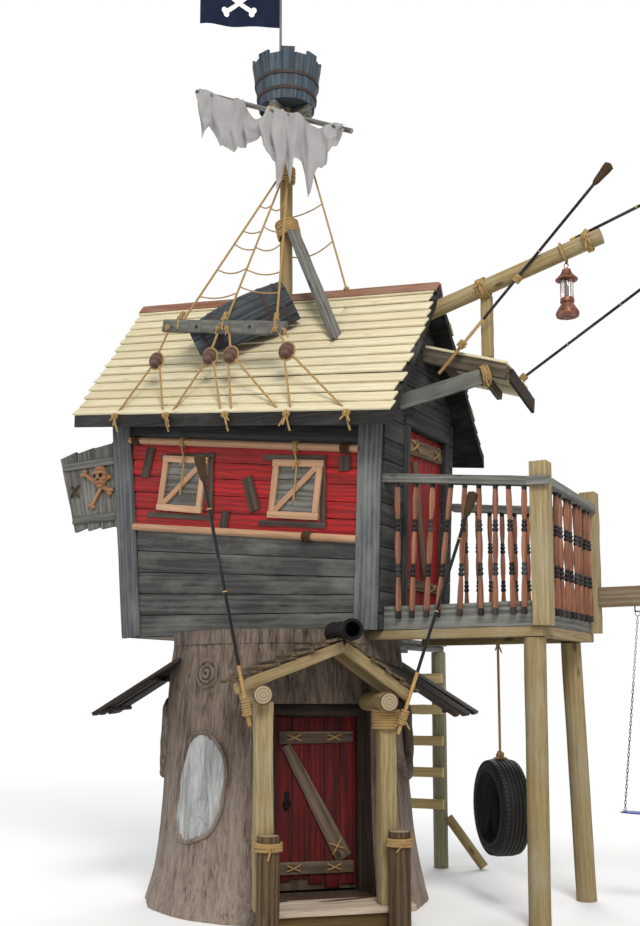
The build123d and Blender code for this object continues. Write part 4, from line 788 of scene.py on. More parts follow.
def outward(obj: Obj) -> Obj:
    """Merge doubles and turn every face outwards.

    Args:
        obj: the object.

    Returns:
        The same object.
    """

    def work() -> None:
        """Join doubles, then turn the faces."""
        bpy.ops.mesh.remove_doubles(threshold=0.00005)
        bpy.ops.mesh.normals_make_consistent(inside=False)

    shape(obj, work)
    return obj


def smooth(obj: Obj, degrees: float = 35.0) -> Obj:
    """Shade smooth up to an angle.

    Args:
        obj: the object.
        degrees: the sharpest angle that is shaded smooth.

    Returns:
        The same object.
    """
    pick(obj)
    bpy.ops.object.shade_smooth_by_angle(angle=math.radians(degrees))
    return obj


def join(name: str, objects: Iterable[Obj]) -> Obj:
    """Join objects into one named piece at the origin.

    Args:
        name: the piece's name.
        objects: what it is made of.

    Returns:
        The joined object.
    """
    parts = list(objects)
    pick(*parts)
    if len(parts) > 1:
        bpy.ops.object.join()
    whole = bpy.context.view_layer.objects.active
    whole.name = name
    whole.data.name = name
    return settle(whole)


def place_on(start: Point, end: Point, side: Point) -> Matrix:
    """Matrix that lays an object's x axis from start towards end.

    Args:
        start: where the object's origin goes.
        end: a point that its x axis runs to.
        side: the way its y axis should lean.

    Returns:
        A matrix without scale.
    """
    along = (Vector(end) - Vector(start)).normalized()
    across = Vector(side) - along * Vector(side).dot(along)
    if across.length < 1e-6:
        across = along.orthogonal()
    across.normalize()
    up = along.cross(across)
    turn = Matrix((along, across, up)).transposed().to_4x4()
    return Matrix.Translation(Vector(start)) @ turn


def turned(profile: Sequence[tuple[float, float]], sides: int = 16) -> Obj:
    """Model a turned piece, by extruding and sizing a circle ring by ring.

    Args:
        profile: radius and height of each ring, from the foot to the top.
        sides: faces around.

    Returns:
        The piece, standing on its foot at the origin.
    """
    first, foot = profile[0]
    made = add(bpy.ops.mesh.primitive_circle_add, vertices=sides, radius=first, fill_type="NGON", location=(0, 0, foot))
    settle(made)

    def work() -> None:
        """Raise the outline ring by ring."""
        radius, height = first, foot
        for next_radius, next_height in profile[1:]:
            bpy.ops.mesh.extrude_region_move(TRANSFORM_OT_translate={"value": (0.0, 0.0, next_height - height)})
            size = next_radius / radius
            bpy.ops.transform.resize(value=(size, size, 1.0), center_override=(0.0, 0.0, next_height))
            radius, height = next_radius, next_height

    shape(made, work)
    return outward(made)


def write_grain(mesh: Mesh, places: np.ndarray, tone: float) -> None:
    """Keep each point's place along the grain, and one tone for the whole board.

    Args:
        mesh: the mesh.
        places: an array of a place for each point.
        tone: 0 for a light board, 1 for a dark one.
    """
    grain = mesh.attributes.get("grain") or mesh.attributes.new("grain", "FLOAT_VECTOR", "POINT")
    grain.data.foreach_set("vector", np.ascontiguousarray(places, np.float32).ravel())
    shade = mesh.attributes.get("tone") or mesh.attributes.new("tone", "FLOAT", "POINT")
    shade.data.foreach_set("value", np.full(len(mesh.vertices), tone, np.float32))


def points_of(mesh: Mesh) -> np.ndarray:
    """All the mesh's points as an array.

    Args:
        mesh: the mesh.

    Returns:
        Its points, one row each.
    """
    found = np.empty(len(mesh.vertices) * 3, np.float32)
    mesh.vertices.foreach_get("co", found)
    return found.reshape(-1, 3).astype(float)


def set_points(mesh: Mesh, places: np.ndarray) -> None:
    """Move all the mesh's points."""
    mesh.vertices.foreach_set("co", np.ascontiguousarray(places, np.float32).ravel())
    mesh.update()


def mirrored(outline: Sequence[tuple[float, float]]) -> list[tuple[float, float]]:
    """The outline on the other side of zero, from its end to its start."""
    return [(radius, -at) for radius, at in reversed(outline)]


def round_way(angle: float) -> Vector:
    """Level way out from a round thing's middle, at an angle in radians."""
    return Vector((math.cos(angle), math.sin(angle), 0))


def reshape(obj: Obj, rule: Callable[[float, float, float], Point]) -> Obj:
    """Move every point of an object by a rule.

    Args:
        obj: the object.
        rule: takes a point's x, y and z and gives its new place.

    Returns:
        The same object.
    """
    set_points(obj.data, np.array([tuple(rule(*place)) for place in points_of(obj.data)]))
    return obj


def twin(pattern: Obj) -> Obj:
    """Copy an object with its own mesh.

    Args:
        pattern: what to copy.

    Returns:
        The copy, which is seen by the camera.
    """
    made = pattern.copy()
    made.data = pattern.data.copy()
    made.hide_render = False
    bpy.context.collection.objects.link(made)
    return made


class TimberYard:
    """Makes boards, logs, turned pieces and rope from a few modelled patterns."""

    BOARD_CUTS = 9
    LOG_CUTS = 14
    EDGE = 0.006

    def __init__(self, finishes: Finishes, frame: dict) -> None:
        """Open the yard.

        Args:
            finishes: the materials to dress pieces with.
            frame: the loaded frame.
        """
        self.finishes = finishes
        self.nodes = frame["nodes"]
        self.patterns: dict[tuple, Obj] = {}
        self.dice = random.Random(11)
        self.pieces = 0

    def bisect(self, obj: Obj, cuts: int, length: float = 1.0) -> None:
        """Cut a bar across into short lengths.

        Args:
            obj: the bar.
            cuts: how many lengths it is cut into.
            length: the bar's length.
        """

        def work() -> None:
            """Cut at even steps."""
            for cut in range(1, cuts):
                bpy.ops.mesh.select_all(action="SELECT")
                bpy.ops.mesh.bisect(plane_co=(length * cut / cuts, 0, 0), plane_no=RIGHT)

        shape(obj, work)

    def pattern(self, key: tuple, model: Callable[[], Obj]) -> Obj:
        """Model a pattern the first time it is asked for, and hide it from the camera.

        Args:
            key: what sets the pattern apart.
            model: makes it.

        Returns:
            The pattern.
        """
        if key not in self.patterns:
            self.patterns[key] = model()
            self.patterns[key].hide_render = True
        return self.patterns[key]

    def board_pattern(self, width: float, thick: float, kind: int) -> Obj:
        """Model a board one metre long, with softened edges and a slightly uneven face.

        Args:
            width: its width.
            thick: its thickness.
            kind: which of the uneven versions.

        Returns:
            The pattern, lying along x from the origin.
        """

        def uneven(x: float, y: float, z: float) -> Point:
            """Shift a point a little across and out.

            Args:
                x: its place along the board.
                y: its place across it.
                z: its place through it.

            Returns:
                Its new place.
            """
            wave = noise.noise(Vector((x * 7.0, kind * 3.7, 1.0 if y > 0 else 5.0)))
            swell = noise.noise(Vector((x * 5.0, y * 9.0, kind * 5.1)))
            return x, y + wave * sway, z + swell * thick * 0.05

        def model() -> Obj:
            """Model the board from a cube.

            Returns:
                The board.
            """
            size = {"size": 1.0, "location": (0.5, 0, 0), "scale": (1.0, width, thick)}
            made = settle(add(bpy.ops.mesh.primitive_cube_add, **size))
            edge = min(min(width, thick) * 0.16, self.EDGE)
            shape(made, lambda: bpy.ops.mesh.bevel(offset=edge, segments=2, affect="EDGES"))
            self.bisect(made, self.BOARD_CUTS)
            return reshape(made, uneven)

        sway = min(width * 0.035, 0.004)
        return self.pattern(("board", round(width, 4), round(thick, 4), kind), model)

    def log_pattern(self, radius: float, taper: float, kind: int) -> Obj:
        """Model a log one metre long, lumpy, with fanned ends.

        Args:
            radius: the log's radius.
            taper: its end radius as a share.
            kind: which of the patterns.

        Returns:
            The pattern, one metre long.
        """

        def lumpy(x: float, y: float, z: float) -> Point:
            """Taper, bend and lump a point of the log.

            Args:
                x: its place along the log.
                y: its place across it.
                z: its place up it.

            Returns:
                Its new place.
            """
            lump = noise.noise(Vector((x * 6.0, y / radius * 0.8, z / radius * 0.8 + kind * 9.0)))
            sway = noise.noise(Vector((x * 1.7, kind * 4.0, 2.0)))
            size = (1.0 + (taper - 1.0) * x) * (1.0 + 0.035 * lump)
            return x, y * size + sway * radius * 0.05, z * size

        def model() -> Obj:
            """Model the log from a cylinder, its sawn ends inset and fanned from their middle.

            Returns:
                The log.
            """
            made = settle(add(bpy.ops.mesh.primitive_cylinder_add, vertices=20, radius=radius, depth=1.0,
                              location=(0.5, 0, 0), rotation=(0, math.pi / 2, 0), end_fill_type="NGON"))
            self.bisect(made, self.LOG_CUTS)
            reshape(made, lumpy)

            def fan() -> None:
                """Inset the ends and fan them."""
                select_faces(made, lambda face: abs(face.normal.x) > 0.9 and len(face.vertices) > 8)
                bpy.ops.mesh.inset(thickness=radius * 0.12, depth=0.0)
                bpy.ops.mesh.poke()

            shape(made, fan)
            self.mark_ends(made, radius, taper)
            return made

        return self.pattern(("log", round(radius, 4), round(taper, 3), kind), model)

    def mark_ends(self, made: Obj, radius: float, taper: float) -> None:
        """Keep which faces are a log's sawn ends, and how far each point is from its middle.

        Args:
            made: a log one metre long.
            radius: its radius at the start.
            taper: its radius at the far end, as a share of the first.
        """
        mesh = made.data
        places = points_of(mesh)
        share = np.hypot(places[:, 1], places[:, 2]) / (radius * (1.0 + (taper - 1.0) * places[:, 0]))
        mesh.attributes.new("radial", "FLOAT", "POINT").data.foreach_set("value", share.astype(np.float32))
        ends = np.array([abs(face.normal.x) > 0.9 for face in mesh.polygons], np.float32)
        mesh.attributes.new("end_grain", "FLOAT", "FACE").data.foreach_set("value", ends)


    def copy(self, pattern: Obj, length: float, matrix: Matrix, widen: float = 1.0,
             tone: float | None = None) -> Obj:
        """Copy a pattern with its own mesh, at a length and place.

        Args:
            pattern: what to copy.
            length: how long the copy is.
            matrix: where it goes.
            widen: its width at the far end, as a share of the near end's.
            tone: how dark it is, or a chance value.

        Returns:
            The copy, at the origin with its place in its mesh.
        """
        made = twin(pattern)
        places = points_of(made.data)
        share = places[:, 0].copy()
        places[:, 0] *= length
        places[:, 1] *= 1.0 + (widen - 1.0) * share
        set_points(made.data, places)
        dice = self.dice
        offset = np.array([dice.uniform(-50, 50), dice.uniform(-0.12, 0.12), dice.uniform(0.03, 0.12)])
        write_grain(made.data, places + offset, dice.random() if tone is None else tone)
        made.data.transform(matrix)
        made.data.update()
        return made

    def board(self, start: Point, end: Point, side: Point, width: float, thick: float, end_width: float | None = None,
              tone: float | None = None) -> Obj:
        """Lay a board between two points.

        Args:
            start: the middle of one end.
            end: the middle of the other end.
            side: the way its width runs.
            width: its width.
            thick: its thickness.
            end_width: its width at the far end.
            tone: how dark it is.

        Returns:
            The board.
        """
        pattern = self.board_pattern(width, thick, self.dice.randrange(3))
        length = (Vector(end) - Vector(start)).length
        widen = 1.0 if end_width is None else end_width / width
        return self.copy(pattern, length, place_on(start, end, side), widen, tone)

    def log(self, start: Point, end: Point, radius: float, end_radius: float | None = None,
            tone: float | None = None) -> Obj:
        """Lay a log between two points.

        Args:
            start: its middle at one end.
            end: its middle at the other end.
            radius: its radius at the start.
            end_radius: its radius at the end.
            tone: its shade, at random if left out.

        Returns:
            The log.
        """
        taper = 1.0 if end_radius is None else end_radius / radius
        pattern = self.log_pattern(radius, taper, self.dice.randrange(2))
        length = (Vector(end) - Vector(start)).length
        return self.copy(pattern, length, place_on(start, end, (0.3, 0.7, 0.2)), 1.0, tone)

    def ring(self, centre: Point, axis: Point, radius: float, rope: float = 0.009, squeeze: float = 1.0,
             side: Point = UP) -> Obj:
        """One turn of rope around something.

        Args:
            centre: the ring's centre.
            axis: what it goes round.
            radius: from the centre to the rope's middle.
            rope: the rope's radius.
            squeeze: the ring's height across the side, as a share of its width.
            side: the way its first axis leans.

        Returns:
            The ring.
        """

        def model() -> Obj:
            """Model the turn from a torus.

            Returns:
                The turn.
            """
            made = settle(add(bpy.ops.mesh.primitive_torus_add, major_radius=radius, minor_radius=rope,
                              major_segments=26, minor_segments=7, rotation=(0, math.pi / 2, 0)))
            shape(made, lambda: bpy.ops.transform.vertex_random(offset=rope * 0.12, seed=4))
            return made

        made = twin(self.pattern(("ring", round(radius, 4), round(rope, 4)), model))
        end = Vector(centre) + Vector(axis)
        made.data.transform(place_on(centre, end, side) @ Matrix.Diagonal((1.0, 1.0, squeeze, 1.0)))
        return made

    def lashing(self, centre: Point, axis: Point, radius: float, turns: int = 4, rope: float = 0.009) -> list:
        """Several turns of rope side by side.

        Args:
            centre: the middle of the lashing.
            axis: what it goes round.
            radius: from the centre to the rope's middle.
            turns: how many turns.
            rope: the rope's radius.

        Returns:
            The rings.
        """
        way = Vector(axis).normalized()
        rings = []
        for turn in range(turns):
            at = Vector(centre) + way * ((turn - (turns - 1) / 2) * rope * 1.9)
            tilt = Vector([self.dice.uniform(-0.05, 0.05) for _ in range(3)])
            rings.append(self.ring(at, way + tilt, radius * self.dice.uniform(1.0, 1.03), rope))
        return rings

    def rope(self, points: Sequence[Point], radius: float, sides: int = 3) -> Obj:
        """A rope on a smooth line through space.

        Args:
            points: control points.
            radius: its radius.
            sides: how round it is.

        Returns:
            A mesh object.
        """
        curve = bpy.data.curves.new("rope", "CURVE")
        curve.dimensions = "3D"
        curve.bevel_depth = radius
        curve.bevel_resolution = sides
        curve.resolution_u = 5
        curve.use_fill_caps = True
        spline = curve.splines.new("NURBS")
        spline.points.add(len(points) - 1)
        for at, point in zip(spline.points, points):
            at.co = (*point, 1.0)
        spline.order_u = min(3, len(points))
        spline.use_endpoint_u = True
        made = bpy.data.objects.new("rope", curve)
        bpy.context.collection.objects.link(made)
        pick(made)
        bpy.ops.object.convert(target="MESH")
        return bpy.context.object

    def sagging(self, start: Point, end: Point, radius: float, sag: float) -> Obj:
        """A rope between two points that sags a little.

        Args:
            start: one end.
            end: the other end.
            radius: the rope's radius.
            sag: how far its middle hangs down.

        Returns:
            The rope.
        """
        first, last = Vector(start), Vector(end)
        line = []
        for step in range(6):
            share = step / 5
            line.append(first.lerp(last, share) - Vector((0, 0, sag * 4 * share * (1 - share))))
        return self.rope(line, radius)

    def knot(self, centre: Point, radius: float) -> list:
        """A lump of crossed rope turns with two short tails.

        Args:
            centre: the knot's middle.
            radius: its radius.

        Returns:
            Its turns.
        """
        rings = []
        for step in range(3):
            angle = step * 1.1
            axis = (math.cos(angle), math.sin(angle), 0.4 * step)
            rings.append(self.ring(centre, axis, radius, radius * 0.45))
        for step in range(2):
            dice = self.dice
            way = Vector((dice.uniform(-1, 1), dice.uniform(-0.6, 0.0), dice.uniform(-1.6, -0.4))) * radius * 3.0
            rings.append(self.rope([centre, Vector(centre) + way * 0.5, Vector(centre) + way], radius * 0.35, 2))
        return rings

    def cross_stitch(self, centre: Point, wide: Point, tall: Point, rope: float = 0.006) -> list:
        """An X of rope on a board's face.

        Args:
            centre: the middle of the X.
            wide: half the X's width, as a vector.
            tall: half its height, as a vector.
            rope: the rope's radius.

        Returns:
            The ropes.
        """
        out = Vector(wide).cross(Vector(tall)).normalized() * rope * 0.6
        made = []
        for turn in (-1, 1):
            first = Vector(centre) - Vector(wide) - Vector(tall) * turn
            last = Vector(centre) + Vector(wide) + Vector(tall) * turn
            line = [first - out * 2, first + out * 2, Vector(centre) + out * 3, last + out * 2, last - out * 2]
            made.append(self.rope(line, rope, 2))
        return made

    def deliver(self, name: str, parts: Iterable[Obj], finish: str, body: str = HOUSE,
                stands_for: Sequence[str] = (), slot: str | None = None, angle: float = 35.0) -> Obj:
        """Join parts into a finished piece that rides on a body.

        Args:
            name: the piece's name.
            parts: its parts.
            finish: the name of its material.
            body: the body that carries it.
            stands_for: frame nodes that it replaces.
            slot: the record's material slot; not used.
            angle: edges sharper than this stay sharp.

        Returns:
            The finished piece.
        """
        piece = join(name, parts)
        places = points_of(piece.data)
        if places[:, 2].min() < 0.0:
            # The feet of leaning pieces are cut off level with the ground.
            places[:, 2] = places[:, 2].clip(min=0.0)
            set_points(piece.data, places)
        piece.data.materials.clear()
        piece.data.materials.append(self.finishes[finish])
        smooth(piece, angle)
        piece.hide_render = False
        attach(piece, body)
        if stands_for:
            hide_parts(*stands_for)
        self.pieces += 1
        log.info("%s: %d faces", name, len(piece.data.polygons))
        return piece

    def paint(self, finish: str, *nodes: str) -> None:
        """Give frame nodes that stay a better finish.

        Args:
            finish: the finish's name.
            nodes: the frame's nodes that wear it.
        """
        for piece in map(self.nodes.get, nodes):
            if not piece.material_slots:
                piece.data.materials.append(self.finishes[finish])
            for held in piece.material_slots:
                held.material = self.finishes[finish]

    def close(self) -> None:
        """Clear the patterns away."""
        for pattern in self.patterns.values():
            bpy.data.objects.remove(pattern, do_unlink=True)
        self.patterns.clear()


def out_from(angle: float, radius: float, z: float, across: float = 0.0) -> Vector:
    """Point beside the trunk.

    Args:
        angle: compass angle that it faces, in degrees.
        radius: its distance from the trunk's centre.
        z: its height.
        across: its distance to the left of that line, seen from outside.

    Returns:
        The point.
    """
    turn = math.radians(angle)
    way = Vector((math.cos(turn), math.sin(turn), 0.0))
    side = Vector((-math.sin(turn), math.cos(turn), 0.0))
    return way * radius + side * across + Vector((0, 0, z))


def porch_point(a: float, l: float, z: float) -> Vector:
    """Point in the porch's own axes: out from the trunk, right and up."""
    return out_from(PORCH_ANGLE, a, z, l)


def stand(obj: Obj, start: Point, end: Point, side: Point = (0.3, 0.7, 0.2)) -> Obj:
    """Move an upright turned piece so that it points from start towards end.

    Args:
        obj: the object.
        start: where its foot goes.
        end: where its head points.
        side: the way that its X side faces.

    Returns:
        The same object.
    """
    obj.data.transform(place_on(start, end, side) @ Matrix.Rotation(math.pi / 2, 4, "Y"))
    obj.data.update()
    return obj


def grain_along_z(obj: Obj, tone: float = 0.3) -> Obj:
    """Lay an upright piece's grain along its height, before it is moved.

    Args:
        obj: the object.
        tone: its shade.

    Returns:
        The same object.
    """
    places = points_of(obj.data)
    write_grain(obj.data, places[:, [2, 1, 0]] + np.array([tone * 40.0, 0.05, 0.06]), tone)
    return obj


def roof_top(x: float, y: float) -> float:
    """Height of the roof's top over a place."""
    return EAVE_Z - ROOF_DROP * x + (HALF_SPAN - abs(y - RIDGE_Y)) * ROOF_RISE


PORCH_OUT = out_from(PORCH_ANGLE, 1.0, 0.0)
PORCH_SIDE = out_from(PORCH_ANGLE, 0.0, 0.0, 1.0)


@dataclass
class Assembly:
    """A sub-assembly, which takes its pieces from the yard."""

    yard: TimberYard


@dataclass
class Trunk(Assembly):
    """Hollow carved trunk: bark, oval windows, plank hoods, knot and scar."""

    height: float = 1.94
    profile: tuple = ((0.0, 1.08), (0.4, 0.99), (1.15, 0.935), (1.94, 0.88))
    columns: int = 430
    rows: int = 130
    door_left: float = -0.314
    door_right: float = 0.424
    door_top: float = 1.504
    door_depth: float = 0.6
    root_height: float = 0.55
    relief: tuple = (0.003, 0.06)
    oval_angles: tuple = (210.0, 14.0)
    oval_z: float = 1.23
    oval_half: tuple = (0.17, 0.25)
    knot_angle: float = -98.0
    knot_z: float = 1.72
    scar_angle: float = -100.0
    scar_z: float = 0.895
    scar_outline: tuple = ((0.023, 0.41), (0.17, 0.33), (0.234, 0.20), (0.22, 0.0), (0.19, -0.178), (0.133, -0.31),
                           (0.0, -0.345), (-0.146, -0.40), (-0.243, -0.295), (-0.22, -0.05), (-0.164, 0.192),
                           (-0.083, 0.37))
    knot_rings: tuple = ((0.098, 0.017), (0.060, 0.015), (0.025, 0.016))

    def radius(self, z: np.ndarray | float) -> np.ndarray | float:
        """The trunk's radius at a height."""
        heights, radii = zip(*self.profile)
        return np.polyval(np.polyfit(heights, radii, 3), z)

    def bark(self) -> None:
        """Wrap a fine grid round the trunk, raise its bark and open its door and ovals."""
        skin = add(bpy.ops.mesh.primitive_grid_add, x_subdivisions=self.columns, y_subdivisions=self.rows, size=1.0)
        flat = points_of(skin.data)
        turn = math.radians(PORCH_ANGLE) + (flat[:, 0] + 0.5) * 2 * math.pi
        z = (flat[:, 1] + 0.5) * self.height
        raised = np.empty(len(flat))
        for row, (angle, up) in enumerate(zip(turn, z)):
            c, s = math.cos(angle), math.sin(angle)
            furrow = noise.noise(Vector((c * 11.0, s * 11.0, up * 1.3)))
            fine = noise.noise(Vector((c * 34.0, s * 34.0, up * 3.2)))
            lump = noise.noise(Vector((c * 2.4, s * 2.4, up * 1.1)))
            sharp = 1.0 - abs(furrow) * 2.2
            raised[row] = 0.012 + 0.010 * lump + 0.008 * sharp + 0.005 * fine
            roots = max(0.0, 1.0 - up / self.root_height) ** 2
            raised[row] += roots * 0.045 * noise.noise(Vector((c * 3.6, s * 3.6, 4.0)))
        reach = self.radius(z) + np.clip(raised, *self.relief)
        set_points(skin.data, np.stack([reach * np.cos(turn), reach * np.sin(turn), z], 1))

        def openings() -> None:
            """Cut the doorway and the oval openings out of the bark."""
            for plane, normal in ((PORCH_SIDE * self.door_left, PORCH_SIDE), (PORCH_SIDE * self.door_right, PORCH_SIDE),
                                  (Vector((0, 0, self.door_top)), Vector(UP))):
                select_faces(skin, lambda face: face.center.dot(PORCH_OUT) > self.door_depth)
                bpy.ops.mesh.bisect(plane_co=plane, plane_no=normal)
            select_faces(skin, self.is_open)
            bpy.ops.mesh.delete(type="FACE")

        shape(outward(skin), openings)
        self.yard.deliver("bark_skin", [skin], "bark", slot="bark", angle=60.0)
        self.yard.paint("inner_trunk_wood", "trunk_wall_left", "trunk_wall_right", "trunk_wall_back",
                        "trunk_wall_over_door")

    def is_open(self, face: Face) -> bool:
        """Whether a face of the bark lies in the doorway or in an oval window.

        Args:
            face: the face.

        Returns:
            Whether it has to go.
        """
        at = face.center
        across = at.dot(PORCH_SIDE)
        if at.dot(PORCH_OUT) > self.door_depth and self.door_left < across < self.door_right and at.z < self.door_top:
            return True
        for angle in self.oval_angles:
            wide = at.dot(out_from(angle, 0.0, 0.0, 1.0)) / self.oval_half[0]
            tall = (at.z - self.oval_z) / self.oval_half[1]
            if at.dot(out_from(angle, 1.0, 0.0)) > 0 and wide ** 2 + tall ** 2 < 1.3:
                return True
        return False

    def surface(self, angle: float, across: float, z: float, lift: float) -> Vector:
        """Point on the bark, beside a compass angle.

        Args:
            angle: the compass angle that it faces.
            across: how far to the side it lies.
            z: its height.
            lift: how far it stands off the bark.

        Returns:
            The place.
        """
        reach = float(self.radius(z)) + lift
        turn = angle + math.degrees(across / reach)
        return out_from(turn, reach, z)

    def rims(self) -> list[Obj]:
        """Lumpy bark rims round the oval windows.

        Returns:
            The rims.
        """
        made = []
        for angle in self.oval_angles:
            rim = add(bpy.ops.mesh.primitive_torus_add, major_radius=1.0, minor_radius=0.2, major_segments=64,
                      minor_segments=12)

            def wrap(x: float, y: float, z: float) -> Point:
                """Lay a point of the torus round its window.

                Args:
                    x: its place across the ring.
                    y: its place up the ring.
                    z: its place through the ring.

                Returns:
                    Its place on the trunk.
                """
                lump = 1.0 + 0.22 * noise.noise(Vector((x * 2.2, y * 2.2, z + angle)))
                ring = math.hypot(x, y)
                wide, tall = ((half + 0.032) * part / ring + (ring - 1.0) * 0.19 * part / ring * lump
                              for half, part in zip(self.oval_half, (x, y)))
                height = self.oval_z + tall
                reach = float(self.radius(height)) + 0.012 + z * 0.22 * lump
                return out_from(angle, reach * math.cos(wide / 1.3), height, wide)

            made.append(outward(reshape(rim, wrap)))
        return made

    def knot(self) -> list[Obj]:
        """Thick rings carved one in another in the bark.

        Returns:
            A piece for each ring.
        """
        made = []
        for number, (reach, thick) in enumerate(self.knot_rings):
            line = []
            for step in range(37):
                angle = step / 36 * 2 * math.pi
                c, s = math.cos(angle), math.sin(angle)
                wave = 1.0 + 0.05 * noise.noise(Vector((c * 1.5, s * 1.5, number * 3.0)))
                line.append(self.surface(self.knot_angle, reach * wave * c * 1.06, self.knot_z + reach * wave * s,
                                         0.012 + 0.006 * number))
            made.append(self.yard.rope(line, thick, 3))
        return made

    def on_scar(self, angle: float, reach: float, lift: float) -> Vector:
        """Point of the scar, at an angle and a reach from its middle."""
        return self.surface(self.scar_angle, reach * math.cos(angle), self.scar_z + reach * math.sin(angle), lift)

    def scar(self) -> None:
        """Smooth bare patch with a rolled bark edge."""
        patch = add(bpy.ops.mesh.primitive_circle_add, vertices=72, radius=1.0, fill_type="TRIFAN")
        shape(patch, lambda: bpy.ops.mesh.subdivide(number_cuts=7))
        corners = sorted((math.atan2(z, x) % (2 * math.pi), math.hypot(x, z)) for x, z in self.scar_outline)
        turns, reaches = (np.array(values) for values in zip(*corners))

        def reach_at(angle: float) -> float:
            """The scar's reach at an angle.

            Args:
                angle: the angle round the scar's middle, in radians.

            Returns:
                The reach, smoothed over its neighbours.
            """
            spread = [np.interp((angle + offset) % (2 * math.pi), turns, reaches, period=2 * math.pi)
                      for offset in np.linspace(-0.22, 0.22, 7)]
            return float(np.mean(spread))

        def crown(x: float, y: float, _: float) -> Point:
            """Lay a point of the disc on the trunk.

            Args:
                x: its place across the disc.
                y: its place up the disc.

            Returns:
                Its place on the trunk.
            """
            share, angle = math.hypot(x, y), math.atan2(y, x)
            lift = 0.030 - 0.012 * share ** 4 + 0.004 * noise.noise(Vector((x * 3, y * 1.5, 2.0)))
            return self.on_scar(angle, reach_at(angle) * share, lift)

        self.yard.deliver("bare_scar", [outward(reshape(patch, crown))], "bare_scar_wood", slot="scar_wood", angle=60.0)
        line = []
        for step in range(49):
            angle = step / 48 * 2 * math.pi
            c, s = math.cos(angle), math.sin(angle)
            reach = reach_at(angle) + 0.004 + 0.006 * noise.noise(Vector((c * 3, s * 3, 1.0)))
            line.append(self.on_scar(angle, reach, 0.018))
        lip = self.yard.rope(line, 0.017, 2)
        self.yard.deliver("bark_rims", [*self.rims(), *self.knot(), lip], "bark", stands_for=["bark_details"],
                          slot="bark", angle=60.0)

    def hoods(self) -> None:
        """Sloping plank hoods over the oval windows."""
        boards = []
        for angle in self.oval_angles:
            for index in range(6):
                across = (index - 2.5) * 0.178
                start = out_from(angle, 0.80, 1.835, across)
                end = out_from(angle, 1.455 + self.yard.dice.uniform(-0.03, 0.015), 1.42, across)
                side = out_from(angle, 0.0, 0.0, 1.0)
                boards.append(self.yard.board(start, end, side, 0.172, 0.028))
            for reach, z in ((1.0, 1.685), (1.36, 1.455)):
                start = out_from(angle, reach, z, -0.50)
                end = out_from(angle, reach, z, 0.50)
                boards.append(self.yard.board(start, end, out_from(angle, 1.0, 0.0), 0.07, 0.03))
        self.yard.deliver("hood_boards", boards, "dark_rough_wood", stands_for=["trunk_hoods"], slot="dark_wood")

    def build(self) -> None:
        """Build the trunk."""
        self.bark()
        self.scar()
        self.hoods()
        self.yard.paint("bark", "trunk_cap")
        self.yard.paint("inner_trunk_wood", "trunk_floor")


